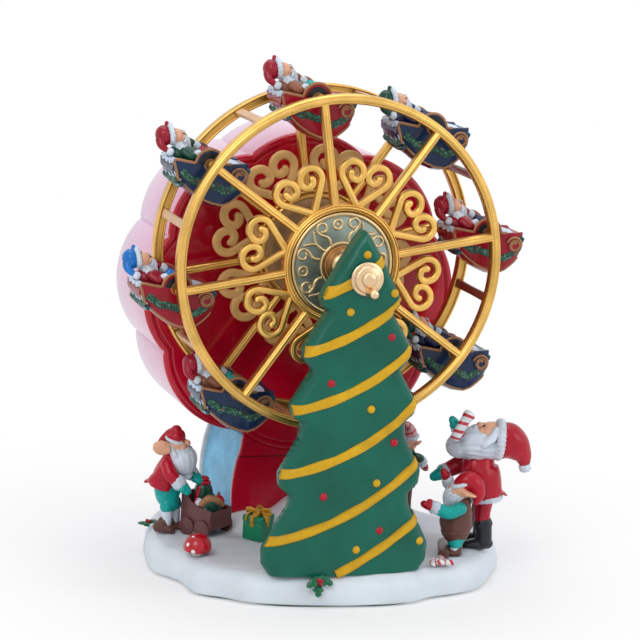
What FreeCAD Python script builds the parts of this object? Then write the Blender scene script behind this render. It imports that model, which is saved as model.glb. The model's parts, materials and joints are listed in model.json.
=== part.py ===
import FreeCAD, Part
import os
from math import acos, atan2, cos, degrees, hypot, pi, radians, sin, sqrt

import Sketcher
from FreeCAD import Placement, Rotation, Vector

# Wind-up musical ferris wheel on a snowy base. Millimetres, +Z up, the front faces -Y.
# The origin lies on the table, straight below the wheel's axle.

SIZES = {
    # snowy base and the felt under it
    "felt_thickness": 1.0,
    "felt_inset": 3.0,
    "base_top": 13.0,
    "base_round": 5.0,
    "mound_x": 9.0,
    "mound_y": 16.0,
    "mound_length": 48.0,
    "mound_depth": 60.0,
    "mound_height": 17.0,
    "drift_x": -16.0,
    "drift_y": 30.0,
    "drift_length": 44.0,
    "drift_depth": 36.0,
    "drift_height": 7.0,
    # wheel
    "axle_height": 140.0,
    "spoke_count": 8,
    "first_spoke_angle": 9.33,
    "ring_radius": 72.0,
    "ring_width": 4.3,
    "ring_depth": 5.0,
    "ring_bevel": 1.3,
    "front_wheel_y": -22.0,
    "wheel_spacing": 37.7,
    "spoke_width": 3.0,
    "spoke_depth": 4.5,
    "spoke_bevel": 0.9,
    "hub_ring_radius": 26.0,
    "hub_ring_width": 3.5,
    "weld": 0.6,
    "scroll_start": 25.2,
    "scroll_lobe_radius": 4.8,
    "scroll_lobe_reach": 38.6,
    "scroll_lobe_side": 6.0,
    "scroll_curl_radius": 3.1,
    "scroll_tip_radius": 1.6,
    "scroll_rod_width": 2.5,
    "scroll_rod_turn": 200.0,
    "scroll_band_width": 3.0,
    "scroll_band_turn": 185.0,
    "scroll_depth": 2.5,
    "tie_width": 4.0,
    "tie_thickness": 2.2,
    # hub discs, axle and crank
    "disc_thickness": 3.0,
    "disc_boss_radius": 7.6,
    "disc_boss_height": 1.8,
    "disc_rim_radius": 9.3,
    "disc_ring_reach": 17.0,
    "disc_ring_radius": 2.1,
    "disc_relief": 0.7,
    "rear_boss_height": 8.2,
    "axle_radius": 2.5,
    "running_gap": 0.06,
    "press_gap": 0.02,
    "side_play": 0.4,
    "sleeve_radius": 4.6,
    "bush_radius": 4.2,
    "bush_flange_radius": 6.2,
    "bush_flange": 1.0,
    "crank_radius": 7.0,
    "crank_thickness": 2.6,
    "crank_step": 0.7,
    "crank_rim": 1.4,
    "crank_boss_radius": 3.0,
    "peg_reach": 5.2,
    "peg_radius": 1.9,
    "peg_length": 6.0,
    # sleigh pivots
    "pin_radius": 1.3,
    "pin_collar_radius": 2.3,
    "pin_spigot_radius": 1.0,
    "pin_spigot_length": 2.5,
    "pin_entry": 2.0,
    "pivot_gap": 0.1,
    "sleigh_width": 22.0,
    "sleigh_wall": 2.4,
    "cockpit_floor": 6.0,
    "hump_radius": 6.2,
    "prow_radius": 4.4,
    "prow_proud": 0.8,
    "seat_play": 0.2,
    # drum, pedestal and tree
    "drum_height": 117.4,
    "drum_front": 28.0,
    "drum_depth": 50.0,
    "lobe_count": 8,
    "lobe_radius": 38.0,
    "lobe_offset": 33.5,
    "drum_wall": 2.5,
    "drum_round": 2.5,
    "seat_gap": 0.1,
    "cover_thickness": 2.5,
    "cover_gap": 0.25,
    "post_reach": 61.0,
    "post_radius": 4.0,
    "post_length": 18.0,
    "foot_half_width": 26.3,
    "belly_half_width": 27.6,
    "belly_height": 31.0,
    "neck_half_width": 22.8,
    "neck_height": 49.3,
    "panel_thickness": 2.4,
    "panel_proud": 1.1,
    "tree_back": -43.0,
    "tree_thickness": 11.0,
    "tree_bow_radius": 165.0,
    "garland_relief": 0.9,
    "garland_width": 4.2,
    "ball_radius": 2.2,
    "ball_sink": 0.5,
    # screws
    "screw_radius": 1.4,
    "screw_clearance": 0.3,
    "thread_gap": 0.05,
    "screw_head_radius": 2.8,
    "screw_head_height": 1.8,
    "screw_length": 12.0,
    "base_screw_length": 20.0,
    # movement
    "plate_thickness": 1.5,
    "bridge_back": 43.5,
    "bedplate_gap": 26.5,
    "pillar_radius": 3.2,
    "gear_size": 1.2,
    "great_teeth": 40,
    "pinion_teeth": 12,
    "great_thickness": 3.0,
    "fine_gear_size": 0.6,
    "fan_gear_teeth": 40,
    "fan_pinion_teeth": 10,
    "fine_thickness": 2.0,
    "train_angle": 225.0,
    "barrel_radius": 20.0,
    "barrel_wall": 1.5,
    "barrel_length": 18.0,
    "barrel_gap": 4.5,
    "spring_strip": 0.9,
    "spring_pitch": 2.1,
    "spring_turns": 6,
    "arbor_radius": 2.2,
    "arbor_hook_radius": 3.6,
    "key_wing": 8.0,
    "key_thickness": 3.0,
    "key_stem": 5.0,
    "cylinder_radius": 6.0,
    "pin_height": 0.8,
    "tune_pin_radius": 0.4,
    "comb_gap": 0.25,
    "comb_thickness": 1.0,
    "comb_length": 26.0,
    "comb_teeth": 12,
    "fan_radius": 7.3,
    "fan_thickness": 1.0,
    "train_arbor_radius": 1.4,
    # figures and gifts
    "cart_elf_height": 46.0,
    "apron_elf_height": 36.0,
    "tall_figure_height": 57.5,
    "peeking_elf_height": 46.0,
    "cart_length": 16.5,
    "cart_width": 15.5,
    "cart_height": 18.5,
    "cart_front_height": 11.5,
    "cart_wall": 1.6,
    "cart_ride": 3.6,
    "cart_wheel_radius": 4.0,
    "cart_wheel_width": 1.4,
    "gift_side": 9.5,
    "gift_height": 11.0,
    "gift_x": -22.0,
    "gift_y": 6.0,
    "gift_turn": 40.0,
    "mushroom_radius": 5.8,
    "mushroom_height": 9.5,
    "cane_radius": 1.25,
    "stick_radius": 2.4,
    "log_radius": 2.4,
    "log_length": 18.0,
}

# Sizes worked out from the driving ones.
DERIVED = {
    "rear_wheel_y": "front_wheel_y + wheel_spacing",
    "pivot_radius": "ring_radius - ring_width / 2",
    "middle_y": "front_wheel_y + wheel_spacing / 2",
    "pin_face": "wheel_spacing / 2 - ring_depth / 2",
    "drum_back": "drum_front + drum_depth",
    "cover_front": "drum_back - cover_thickness",
    "tree_front": "tree_back - tree_thickness",
    "bedplate_front": "bridge_back + bedplate_gap",
    "great_pitch": "gear_size * great_teeth / 2",
    "pinion_pitch": "gear_size * pinion_teeth / 2",
    "fan_gear_pitch": "fine_gear_size * fan_gear_teeth / 2",
    "fan_pinion_pitch": "fine_gear_size * fan_pinion_teeth / 2",
    "cylinder_x": "(great_pitch + pinion_pitch) * cos(train_angle)",
    "cylinder_z": "axle_height + (great_pitch + pinion_pitch) * sin(train_angle)",
    "fan_x": "cylinder_x - fan_gear_pitch - fan_pinion_pitch",
    "barrel_front": "bridge_back + barrel_gap",
    "barrel_back": "barrel_front + barrel_length",
    "great_front": "barrel_back - great_thickness",
}

doc = FreeCAD.newDocument("ferris_wheel")
sheet = doc.addObject("Spreadsheet::Sheet", "sizes")
for line, (alias, amount) in enumerate([*SIZES.items(), *DERIVED.items()], start=1):
    sheet.set(f"A{line}", alias)
    sheet.set(f"B{line}", f"={amount}" if alias in DERIVED else str(amount))
    sheet.setAlias(f"B{line}", alias)
doc.recompute()

subparts = []


def num(text):
    """The value of an expression written with the sheet's names."""
    return float(sheet.evalExpression(str(text)))


def size(alias):
    """One named size."""
    return float(sheet.get(alias))


def bind(made, **expressions):
    """Tie properties to the sheet; a double underscore stands for a dot."""
    for name, text in expressions.items():
        made.setExpression(name.replace("__", "."), str(text))
    return made


def place(made, x="0", y="0", z="0", axis=None, angle="0"):
    """Put an object at a point, turned about an axis."""
    if axis is not None:
        made.Placement = Placement(Vector(), Rotation(axis, num(angle)))
        bind(made, Placement__Rotation__Angle=angle)
    return bind(made, Placement__Base__x=x, Placement__Base__y=y, Placement__Base__z=z)


def keep(made, label):
    """Name an object as a sub-part of the toy."""
    made.Label = label
    subparts.append(made)
    return made


def body(label, **where):
    """A sub-part that is built up from sketches."""
    made = doc.addObject("PartDesign::Body", label)
    place(made, **where)
    return keep(made, label)


def origin_of(owner, role):
    """A plane or axis of a body's own origin."""
    return next(part for part in owner.Origin.OriginFeatures if part.Role == role)


def sketch(owner, role, at="0", across="0"):
    """A sketch parallel to a plane of the body: XZ is drawn as seen from the front."""
    made = owner.newObject("Sketcher::SketchObject", f"{owner.Name}_sketch")
    made.AttachmentSupport = [(origin_of(owner, role), "")]
    made.MapMode = "FlatFace"
    depth = f"-({at})" if role == "XZ_Plane" else at
    return bind(made, AttachmentOffset__Base__z=depth, AttachmentOffset__Base__x=across)


def fix_point(drawing, index, end, x, y):
    """Tie one end of a line, or a centre, to its place."""
    for kind, text, axis in (("DistanceX", x, -2), ("DistanceY", y, -1)):
        if text == "0":
            drawing.addConstraint(Sketcher.Constraint("PointOnObject", index, end, axis))
            continue
        rule = drawing.addConstraint(Sketcher.Constraint(kind, -1, 1, index, end, num(text)))
        drawing.setExpression(f"Constraints[{rule}]", text)


def polygon(drawing, corners):
    """A closed outline of straight lines whose corners are pairs of expressions."""
    spots = [Vector(num(x), num(y), 0) for x, y in corners]
    first = drawing.GeometryCount
    count = len(spots)
    for i in range(count):
        drawing.addGeometry(Part.LineSegment(spots[i], spots[(i + 1) % count]), False)
    for i in range(count):
        after = first + (i + 1) % count
        drawing.addConstraint(Sketcher.Constraint("Coincident", first + i, 2, after, 1))
    for i, (x, y) in enumerate(corners):
        fix_point(drawing, first + i, 1, x, y)
    return drawing


def circle(drawing, radius, x="0", y="0"):
    """A circle with its centre and radius tied to the sheet."""
    middle = Vector(num(x), num(y), 0)
    index = drawing.addGeometry(Part.Circle(middle, Vector(0, 0, 1), num(radius)), False)
    rule = drawing.addConstraint(Sketcher.Constraint("Radius", index, num(radius)))
    drawing.setExpression(f"Constraints[{rule}]", radius)
    fix_point(drawing, index, 3, x, y)
    return drawing


def outline(drawing, path):
    """A closed outline from a start point and steps of one point (line) or two (arc)."""
    here = path[0]
    for step in path[1:]:
        if len(step) == 2 and not isinstance(step[0], tuple):
            drawing.addGeometry(Part.LineSegment(Vector(*here, 0), Vector(*step, 0)), False)
            here = step
        else:
            middle, end = step
            drawing.addGeometry(Part.Arc(Vector(*here, 0), Vector(*middle, 0), Vector(*end, 0)), False)
            here = end
    return drawing


def grow(owner, drawing, length, both_ways=False):
    """A pad towards the positive axis, or even on both sides of the sketch."""
    made = owner.newObject("PartDesign::Pad", f"{owner.Name}_pad")
    made.Profile = drawing
    made.Reversed = drawing.AttachmentSupport[0][0].Role == "XZ_Plane"
    if both_ways:
        made.SideType = "Symmetric"
    return bind(made, Length=length)


def cut(owner, drawing, length, both_ways=False):
    """A pocket towards the positive axis, or even on both sides of the sketch."""
    made = owner.newObject("PartDesign::Pocket", f"{owner.Name}_pocket")
    made.Profile = drawing
    made.Reversed = drawing.AttachmentSupport[0][0].Role != "XZ_Plane"
    if both_ways:
        made.SideType = "Symmetric"
    return bind(made, Length=length)


def spin(owner, drawing, remove=False, own_axis=False):
    """A full turn of a profile about the body's Y axis, or about the sketch's own V axis."""
    kind = "Groove" if remove else "Revolution"
    made = owner.newObject(f"PartDesign::{kind}", f"{owner.Name}_turned")
    made.Profile = drawing
    made.ReferenceAxis = (drawing, ["V_Axis"]) if own_axis else (origin_of(owner, "Y_Axis"), [""])
    made.Angle = 360
    return made


def around(owner, features, count, angle="360"):
    """Repeat features evenly about the body's Y axis."""
    made = owner.newObject("PartDesign::PolarPattern", f"{owner.Name}_pattern")
    made.Originals = features
    made.Axis = (origin_of(owner, "Y_Axis"), [""])
    bind(made, Occurrences=count, Angle=angle)
    owner.Tip = made
    return made


def rod(radius, length, x="0", y="0", z="0", axis=Vector(1, 0, 0), angle="270"):
    """A cylinder, along +Y unless it is turned another way."""
    made = doc.addObject("Part::Cylinder", "rod")
    bind(made, Radius=radius, Height=length)
    return place(made, x, y, z, axis, angle)


def fuse(label, pieces, **where):
    """One sub-part made of primitives."""
    made = doc.addObject("Part::MultiFuse", label)
    made.Shapes = pieces
    made.Refine = True
    place(made, **where)
    return keep(made, label)


def disc_profile(drawing, inner, outer, low, high):
    """A rectangle to be turned: radii across, places along the axis upwards."""
    return polygon(drawing, [(inner, low), (outer, low), (outer, high), (inner, high)])


def turned(label, steps, **where):
    """A turned piece from (inner radius, outer radius, start, end) steps along Y."""
    owner = body(label, **where)
    for inner, outer, low, high in steps:
        spin(owner, disc_profile(sketch(owner, "XY_Plane"), inner, outer, low, high))
    return owner


# Base

BASE_OUTLINE = [
    (-63.6, 42.5), (-68.5, 22.4), (-70.2, 2.4), (-63.0, -12.6), (-60.8, -30.0), (-50.0, -39.4),
    (-36.0, -50.0), (-2.5, -58.0), (24.8, -58.2), (37.6, -52.6), (53.0, -48.5), (65.0, -41.5),
    (78.0, -23.0), (87.7, -3.3), (86.0, 22.0), (72.0, 42.0), (60.0, 66.0), (30.0, 80.0),
    (-20.0, 81.0), (-52.0, 66.0),
]
PEDESTAL_SCREWS = [(-18.0, 40.0), (18.0, 40.0), (-18.0, 66.0), (18.0, 66.0)]
TREE_SCREWS = [(-18.0, -48.0), (18.0, -48.0)]
BASE_SCREWS = PEDESTAL_SCREWS + TREE_SCREWS


def base_curve(inset):
    """The lobed outline of the snow, moved inwards by a distance."""
    curve = Part.BSplineCurve()
    curve.interpolate([Vector(x, y, 0) for x, y in BASE_OUTLINE], PeriodicFlag=True)
    if inset == 0:
        return curve
    middle = Vector(sum(x for x, y in BASE_OUTLINE), sum(y for x, y in BASE_OUTLINE), 0)
    middle = middle * (1 / len(BASE_OUTLINE))
    moved = []
    for x, y in BASE_OUTLINE:
        away = Vector(x, y, 0) - middle
        moved.append(middle + away * (1 - inset / away.Length))
    inner = Part.BSplineCurve()
    inner.interpolate(moved, PeriodicFlag=True)
    return inner


def ellipsoid_feature(owner, x, y, z, length, depth, height):
    """The upper half of an ellipsoid, added to a body."""
    made = owner.newObject("PartDesign::AdditiveEllipsoid", f"{owner.Name}_dome")
    made.AttachmentSupport = [(origin_of(owner, "XY_Plane"), "")]
    made.MapMode = "FlatFace"
    made.Angle1 = 0
    bind(made, Radius1=height, Radius2=f"{length} / 2", Radius3=f"{depth} / 2")
    bind(made, AttachmentOffset__Base__x=x, AttachmentOffset__Base__y=y, AttachmentOffset__Base__z=z)
    return made


def snow_base():
    """Cast snow slab with a mound behind the tree and screw holes from below."""
    owner = body("snow_base")
    drawing = sketch(owner, "XY_Plane", "sizes.felt_thickness")
    drawing.addGeometry(base_curve(0), False)
    slab = grow(owner, drawing, "sizes.base_top - sizes.felt_thickness")
    doc.recompute()
    rim = [f"Edge{i}" for i, edge in enumerate(slab.Shape.Edges, start=1)
           if edge.BoundBox.ZMin > size("base_top") - 0.1]
    rounding = owner.newObject("PartDesign::Fillet", "snow_rounding")
    rounding.Base = (slab, rim)
    bind(rounding, Radius="sizes.base_round")
    below = "sizes.base_top - sizes.base_round"
    ellipsoid_feature(owner, "sizes.mound_x", "sizes.mound_y", below, "sizes.mound_length",
                      "sizes.mound_depth", "sizes.mound_height + sizes.base_round")
    ellipsoid_feature(owner, "sizes.drift_x", "sizes.drift_y", below, "sizes.drift_length",
                      "sizes.drift_depth", "sizes.drift_height + sizes.base_round")
    seat = sketch(owner, "XY_Plane", "sizes.base_top")
    side = "(sizes.belly_half_width + sizes.panel_proud + sizes.seat_gap)"
    front = "sizes.drum_front - sizes.seat_gap"
    back = "sizes.drum_back + sizes.seat_gap"
    polygon(seat, [(f"-{side}", front), (side, front), (side, back), (f"-{side}", back)])
    cut(owner, seat, "sizes.mound_height * 3")
    for reach, deep in (("sizes.screw_head_radius + sizes.screw_clearance", "sizes.screw_head_height"),
                        ("sizes.screw_radius + sizes.screw_clearance", "sizes.base_top")):
        holes = sketch(owner, "XY_Plane", "sizes.felt_thickness")
        for x, y in BASE_SCREWS:
            circle(holes, reach, str(x), str(y))
        cut(owner, holes, deep)


def felt_pad():
    """Felt sheet glued under the slab, with the screw heads behind it."""
    owner = body("felt_pad")
    drawing = sketch(owner, "XY_Plane")
    drawing.addGeometry(base_curve(size("felt_inset")), False)
    grow(owner, drawing, "sizes.felt_thickness")


def screw(x, y, z, length, axis, angle):
    """A pan-head screw whose seat face is at the given point."""
    head = rod("sizes.screw_head_radius", "sizes.screw_head_height", x, y, z, axis, angle)
    shank = rod("sizes.screw_radius", f"sizes.screw_head_height + {length}", x, y, z, axis, angle)
    return [head, shank]


def base_screws():
    """Six screws that hold the pedestal and the tree from below."""
    pieces = []
    for x, y in BASE_SCREWS:
        pieces += screw(str(x), str(y), "sizes.felt_thickness", "sizes.base_screw_length",
                        Vector(0, 0, 1), "0")
    fuse("base_screws", pieces)


def screw_holes_up(owner, places, foot):
    """Threaded holes for the base screws, from a foot face upwards."""
    holes = sketch(owner, "XY_Plane", foot)
    for x, y in places:
        circle(holes, "sizes.screw_radius + sizes.thread_gap", str(x), str(y))
    cut(owner, holes, "sizes.base_screw_length")


# Pedestal and drum

def pedestal_profile(drawing, extra):
    """Front view of the pedestal: foot, belly and neck under the drum's lowest lobe."""
    foot = size("base_top")
    foot_x = size("foot_half_width") + extra
    belly = (size("belly_half_width") + extra, size("belly_height"))
    neck = (size("neck_half_width") + extra, size("neck_height"))
    saddle = size("lobe_radius") + size("seat_gap")
    lobe_z = size("drum_height") - size("lobe_offset")
    horn_x = size("lobe_offset") * sin(pi / size("lobe_count")) * 2
    horn_x = min(horn_x, size("lobe_radius") * 0.66) - 1
    horn = (horn_x, lobe_z - sqrt(saddle ** 2 - horn_x ** 2))
    low = (0.0, lobe_z - saddle)
    outline(drawing, [
        (-foot_x, foot), (foot_x, foot), (belly, neck), horn,
        (low, (-horn[0], horn[1])), (-neck[0], neck[1]),
        ((-belly[0], belly[1]), (-foot_x, foot)),
    ])


def pedestal():
    """Blue resin block with a red front panel and a pale rear panel."""
    layers = [
        ("pedestal_front", "sizes.drum_front", "sizes.panel_thickness", 0),
        ("pedestal", "sizes.drum_front + sizes.panel_thickness",
         "sizes.drum_depth - 2 * sizes.panel_thickness", 0),
        ("pedestal_back", "sizes.drum_back - sizes.panel_thickness", "sizes.panel_thickness",
         size("panel_proud")),
    ]
    for label, start, depth, extra in layers:
        owner = body(label)
        drawing = sketch(owner, "XZ_Plane", start)
        pedestal_profile(drawing, extra)
        grow(owner, drawing, depth)
        if label == "pedestal":
            screw_holes_up(owner, PEDESTAL_SCREWS, "sizes.base_top")


def lobes(owner, shrink, start, end, rounding, remove=False):
    """Eight overlapping discs that make the flower outline of the drum."""
    drawing = sketch(owner, "XY_Plane", "0", "sizes.lobe_offset")
    reach = f"(sizes.lobe_radius - ({shrink}))"
    polygon(drawing, [("0", start), (f"{reach} - {rounding}", start), (reach, f"{start} + {rounding}"),
                      (reach, end), ("0", end)])
    disc = spin(owner, drawing, remove, own_axis=True)
    around(owner, [disc], "sizes.lobe_count")


def drum_posts():
    """Places of the cover's posts, in the drum's own frame."""
    step = 360 / size("lobe_count")
    spots = []
    for k in (0, 3, 4, 7):
        angle = radians(step * (k + 0.5))
        spots.append((size("post_reach") * cos(angle), size("post_reach") * sin(angle)))
    return spots


def drum_shell():
    """Moulded flower-shaped drum, open at the back, with four posts for the cover."""
    owner = body("drum_shell", z="sizes.drum_height")
    lobes(owner, "0", "sizes.drum_front", "sizes.drum_back", "sizes.drum_round")
    lobes(owner, "sizes.drum_wall", "sizes.drum_front + sizes.drum_wall",
          "sizes.drum_back + sizes.drum_wall", "0.2", remove=True)
    posts = sketch(owner, "XZ_Plane", "sizes.cover_front - sizes.post_length")
    for x, z in drum_posts():
        posts.addGeometry(Part.Circle(Vector(x, z, 0), Vector(0, 0, 1), size("post_radius")), False)
    grow(owner, posts, "sizes.post_length")
    holes = sketch(owner, "XZ_Plane", "sizes.cover_front - sizes.screw_length")
    reach = size("screw_radius") + size("thread_gap")
    for x, z in drum_posts():
        holes.addGeometry(Part.Circle(Vector(x, z, 0), Vector(0, 0, 1), reach), False)
    cut(owner, holes, "sizes.screw_length + 1")
    bore = sketch(owner, "XZ_Plane", "sizes.drum_front")
    circle(bore, "sizes.bush_radius + sizes.press_gap", "0", "sizes.axle_height - sizes.drum_height")
    cut(owner, bore, "sizes.drum_wall * 2")


def pillar_spots():
    """Places of the movement's four pillars, seen from the front."""
    low = size("axle_height") - 34
    high = size("axle_height") + 17
    return [(-41.0, low), (24.0, low), (24.0, high), (-41.0, high)]


def back_cover():
    """Flower-shaped plate inside the drum's rim, with the key's hole and screw holes."""
    owner = body("back_cover", z="sizes.drum_height")
    lobes(owner, "sizes.drum_wall + sizes.cover_gap", "sizes.cover_front", "sizes.drum_back", "0.3")
    holes = sketch(owner, "XZ_Plane", "sizes.cover_front")
    reach = size("screw_radius") + size("screw_clearance")
    low = size("drum_height")
    spots = drum_posts() + [(x, z - low) for x, z in pillar_spots()]
    for x, z in spots:
        holes.addGeometry(Part.Circle(Vector(x, z, 0), Vector(0, 0, 1), reach), False)
    circle(holes, "sizes.arbor_radius + 1", "0", "sizes.axle_height - sizes.drum_height")
    cut(owner, holes, "sizes.cover_thickness")


def cover_screws():
    """Eight screws in the back: four for the cover and four for the movement."""
    pieces = []
    drum = size("drum_height")
    spots = [(x, z + drum) for x, z in drum_posts()] + pillar_spots()
    back = "sizes.drum_back + sizes.screw_head_height"
    for x, z in spots:
        pieces += screw(str(x), back, str(z), "sizes.screw_length", Vector(1, 0, 0), "90")
    fuse("cover_screws", pieces)


# Tree

TREE_SIDE = [
    (9.4, 145.2), (17.0, 131.0), (16.0, 127.5), (13.5, 125.3), (23.0, 109.5), (23.0, 105.0),
    (18.7, 100.0), (27.2, 86.0), (26.6, 81.0), (22.2, 77.6), (23.0, 71.0), (31.2, 56.5),
    (30.6, 50.5), (25.6, 46.6), (26.3, 42.0), (32.4, 32.0), (36.6, 24.0), (36.4, 17.0),
]
TREE_TOP = 159.0
GARLANDS = [
    ((-17.3, 132.6), (-5.1, 138.2), (9.0, 148.0)),
    ((-24.0, 108.2), (-1.6, 117.2), (17.8, 129.8)),
    ((-28.8, 83.5), (1.0, 94.0), (23.4, 109.4)),
    ((-33.5, 56.0), (-6.5, 64.0), (27.2, 86.8)),
    ((-36.9, 27.0), (-6.0, 37.5), (30.0, 61.5)),
    ((-6.0, 13.6), (12.8, 24.0), (33.0, 38.0)),
]
GOLD_BALLS = [
    (0.2, 149.7), (13.2, 133.4), (-5.8, 125.8), (5.6, 84.5), (9.9, 52.6), (2.3, 24.1), (31.6, 26.0),
]
RED_BALLS = [(12.9, 115.0), (-12.4, 95.9), (16.8, 69.8), (-13.2, 47.5), (12.3, 32.0)]


def bow_section(drawing, relief):
    """Plan of the tree: a straight back and a front bowed forwards."""
    radius = size("tree_bow_radius") + relief
    middle = size("tree_front") + size("tree_bow_radius")
    half = 42.0
    edge = middle - sqrt(radius ** 2 - half ** 2)
    outline(drawing, [
        (-half, size("tree_back")), (half, size("tree_back")), (half, edge),
        ((0, middle - radius), (-half, edge)), (-half, size("tree_back")),
    ])


def tree_outline():
    """The tree's tiers, as a closed list of corners."""
    left = [(-x, z) for x, z in reversed(TREE_SIDE)]
    foot = size("base_top")
    return [(0.0, TREE_TOP), *TREE_SIDE, (33.5, foot), (-33.5, foot), *left]


def tree():
    """Flat cast tree that carries the front end of the axle."""
    owner = body("tree")
    plan = sketch(owner, "XY_Plane", "sizes.base_top")
    bow_section(plan, 0)
    grow(owner, plan, "sizes.axle_height")
    frame = sketch(owner, "XZ_Plane", "sizes.tree_back")
    far = 60.0
    top = size("axle_height") * 2
    outline(frame, [(-far, -far), (far, -far), (far, top), (-far, top), (-far, -far)])
    corners = tree_outline()
    outline(frame, corners + [corners[0]])
    cut(owner, frame, "sizes.tree_thickness * 4", both_ways=True)
    bore = sketch(owner, "XZ_Plane", "sizes.tree_back")
    circle(bore, "sizes.bush_radius + sizes.press_gap", "0", "sizes.axle_height")
    cut(owner, bore, "sizes.tree_thickness * 4", both_ways=True)
    screw_holes_up(owner, TREE_SCREWS, "sizes.base_top")


def bow_cylinder(relief):
    """An upright cylinder whose front is the tree's bowed front."""
    made = doc.addObject("Part::Cylinder", "bow")
    bind(made, Radius=f"sizes.tree_bow_radius + {relief}", Height="sizes.axle_height * 2")
    return place(made, y="sizes.tree_front + sizes.tree_bow_radius")


def garland_band(drawing, low, middle, high):
    """A band of even width about an arc through three points."""
    arc = Part.Arc(Vector(*low, 0), Vector(*middle, 0), Vector(*high, 0)).toShape().Curve
    half = size("garland_width") / 2
    rails = []
    for reach in (arc.Radius - half, arc.Radius + half):
        spots = [arc.Center + (Vector(*spot, 0) - arc.Center).normalize() * reach
                 for spot in (low, middle, high)]
        rails.append([(spot.x, spot.y) for spot in spots])
    inner, outer = rails
    outline(drawing, [inner[0], (inner[1], inner[2]), outer[2], (outer[1], outer[0]), inner[0]])


def tree_garlands():
    """Six raised bands that lie on the tree's front, trimmed to its outline."""
    bands = doc.addObject("PartDesign::Body", "garland_bands")
    drawing = sketch(bands, "XZ_Plane", "sizes.tree_front * 2")
    for garland in GARLANDS:
        garland_band(drawing, *garland)
    grow(bands, drawing, "sizes.tree_back - sizes.tree_front * 2")
    hole = sketch(bands, "XZ_Plane", "sizes.tree_front * 2")
    circle(hole, "sizes.crank_radius + 1", "0", "sizes.axle_height")
    cut(bands, hole, "sizes.tree_back - sizes.tree_front * 2")
    prism = doc.addObject("PartDesign::Body", "tree_prism")
    shape = sketch(prism, "XZ_Plane", "sizes.tree_front * 2")
    corners = tree_outline()
    outline(shape, corners + [corners[0]])
    grow(prism, shape, "sizes.tree_back - sizes.tree_front * 2")
    skin = doc.addObject("Part::Cut", "bow_skin")
    skin.Base = bow_cylinder("sizes.garland_relief")
    skin.Tool = bow_cylinder("0")
    made = doc.addObject("Part::MultiCommon", "tree_garlands")
    made.Shapes = [bands, prism, skin]
    keep(made, "tree_garlands")


def tree_balls():
    """Twelve half balls on the tree's front."""
    balls = doc.addObject("Part::MultiFuse", "balls")
    front = "sizes.tree_front + sizes.tree_bow_radius"
    balls.Shapes = [
        ball("sizes.ball_radius", str(x), f"{front} - sqrt(sizes.tree_bow_radius ^ 2 - ({x}) ^ 2)"
             " + sizes.ball_sink", str(z))
        for x, z in GOLD_BALLS + RED_BALLS
    ]
    made = doc.addObject("Part::Cut", "tree_balls")
    made.Base = balls
    made.Tool = bow_cylinder("0")
    keep(made, "tree_balls")


# Wheels

def wheel_body(label, y):
    """A body on the wheel's axis, turned to the first spoke."""
    return body(label, z="sizes.axle_height", y=y, axis=Vector(0, -1, 0), angle="sizes.first_spoke_angle")


def beveled_bar(low, high, flat, face, bevel):
    """A rectangle whose two corners on the outer face are cut off."""
    inner = f"{face} - ({bevel}) * ({face}) / abs({face})"
    return [(low, flat), (high, flat), (high, inner), (f"{high} - {bevel}", face),
            (f"{low} + {bevel}", face), (low, inner)]


def half_scroll(drawing, sign, width, turned_to):
    """One half of a heart: a straight band, then two arcs that wind inwards."""
    reach, side = size("scroll_lobe_reach"), size("scroll_lobe_side")
    lobe, curl = size("scroll_lobe_radius"), size("scroll_curl_radius")
    start, half = size("scroll_start"), width / 2
    turn = pi / size("spoke_count")

    def spot(u, v):
        """A point given along and across the middle of a sector."""
        return (u * cos(turn) - sign * v * sin(turn), u * sin(turn) + sign * v * cos(turn))

    def on(centre_v, radius, angle):
        """A point on a circle whose centre lies across the sector's middle."""
        return spot(reach + radius * cos(radians(angle)), centre_v + radius * sin(radians(angle)))

    span = hypot(reach - start, side)
    touch = degrees(atan2(-side, start - reach)) % 360 - degrees(acos(lobe / span))
    low, last = side - lobe + curl, -turned_to
    away = (cos(radians(touch)), sin(radians(touch)))
    outer, inner = lobe + half, lobe - half
    outline(drawing, [
        spot(start + half * away[0], half * away[1]),
        on(side, outer, touch),
        (on(side, outer, touch / 2 - 45), on(side, outer, -90)),
        (on(low, curl + half, last / 2 - 45), on(low, curl + half, last)),
        on(low, curl - half, last),
        (on(low, curl - half, last / 2 - 45), on(low, curl - half, -90)),
        (on(side, inner, touch / 2 - 45), on(side, inner, touch)),
        spot(start - half * away[0], -half * away[1]),
        spot(start + half * away[0], half * away[1]),
    ])
    return on(low, curl, last)


def scroll(owner, kind):
    """A heart-shaped scroll with beaded ends in the middle of the first sector."""
    made = []
    for sign in (1, -1):
        band = sketch(owner, "XZ_Plane")
        tip = half_scroll(band, sign, size(f"scroll_{kind}_width"), size(f"scroll_{kind}_turn"))
        made.append(grow(owner, band, "sizes.scroll_depth", both_ways=True))
        bead = sketch(owner, "XZ_Plane")
        circle(bead, "sizes.scroll_tip_radius", str(tip[0]), str(tip[1]))
        made.append(grow(owner, bead, "sizes.scroll_depth", both_ways=True))
    return made


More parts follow.
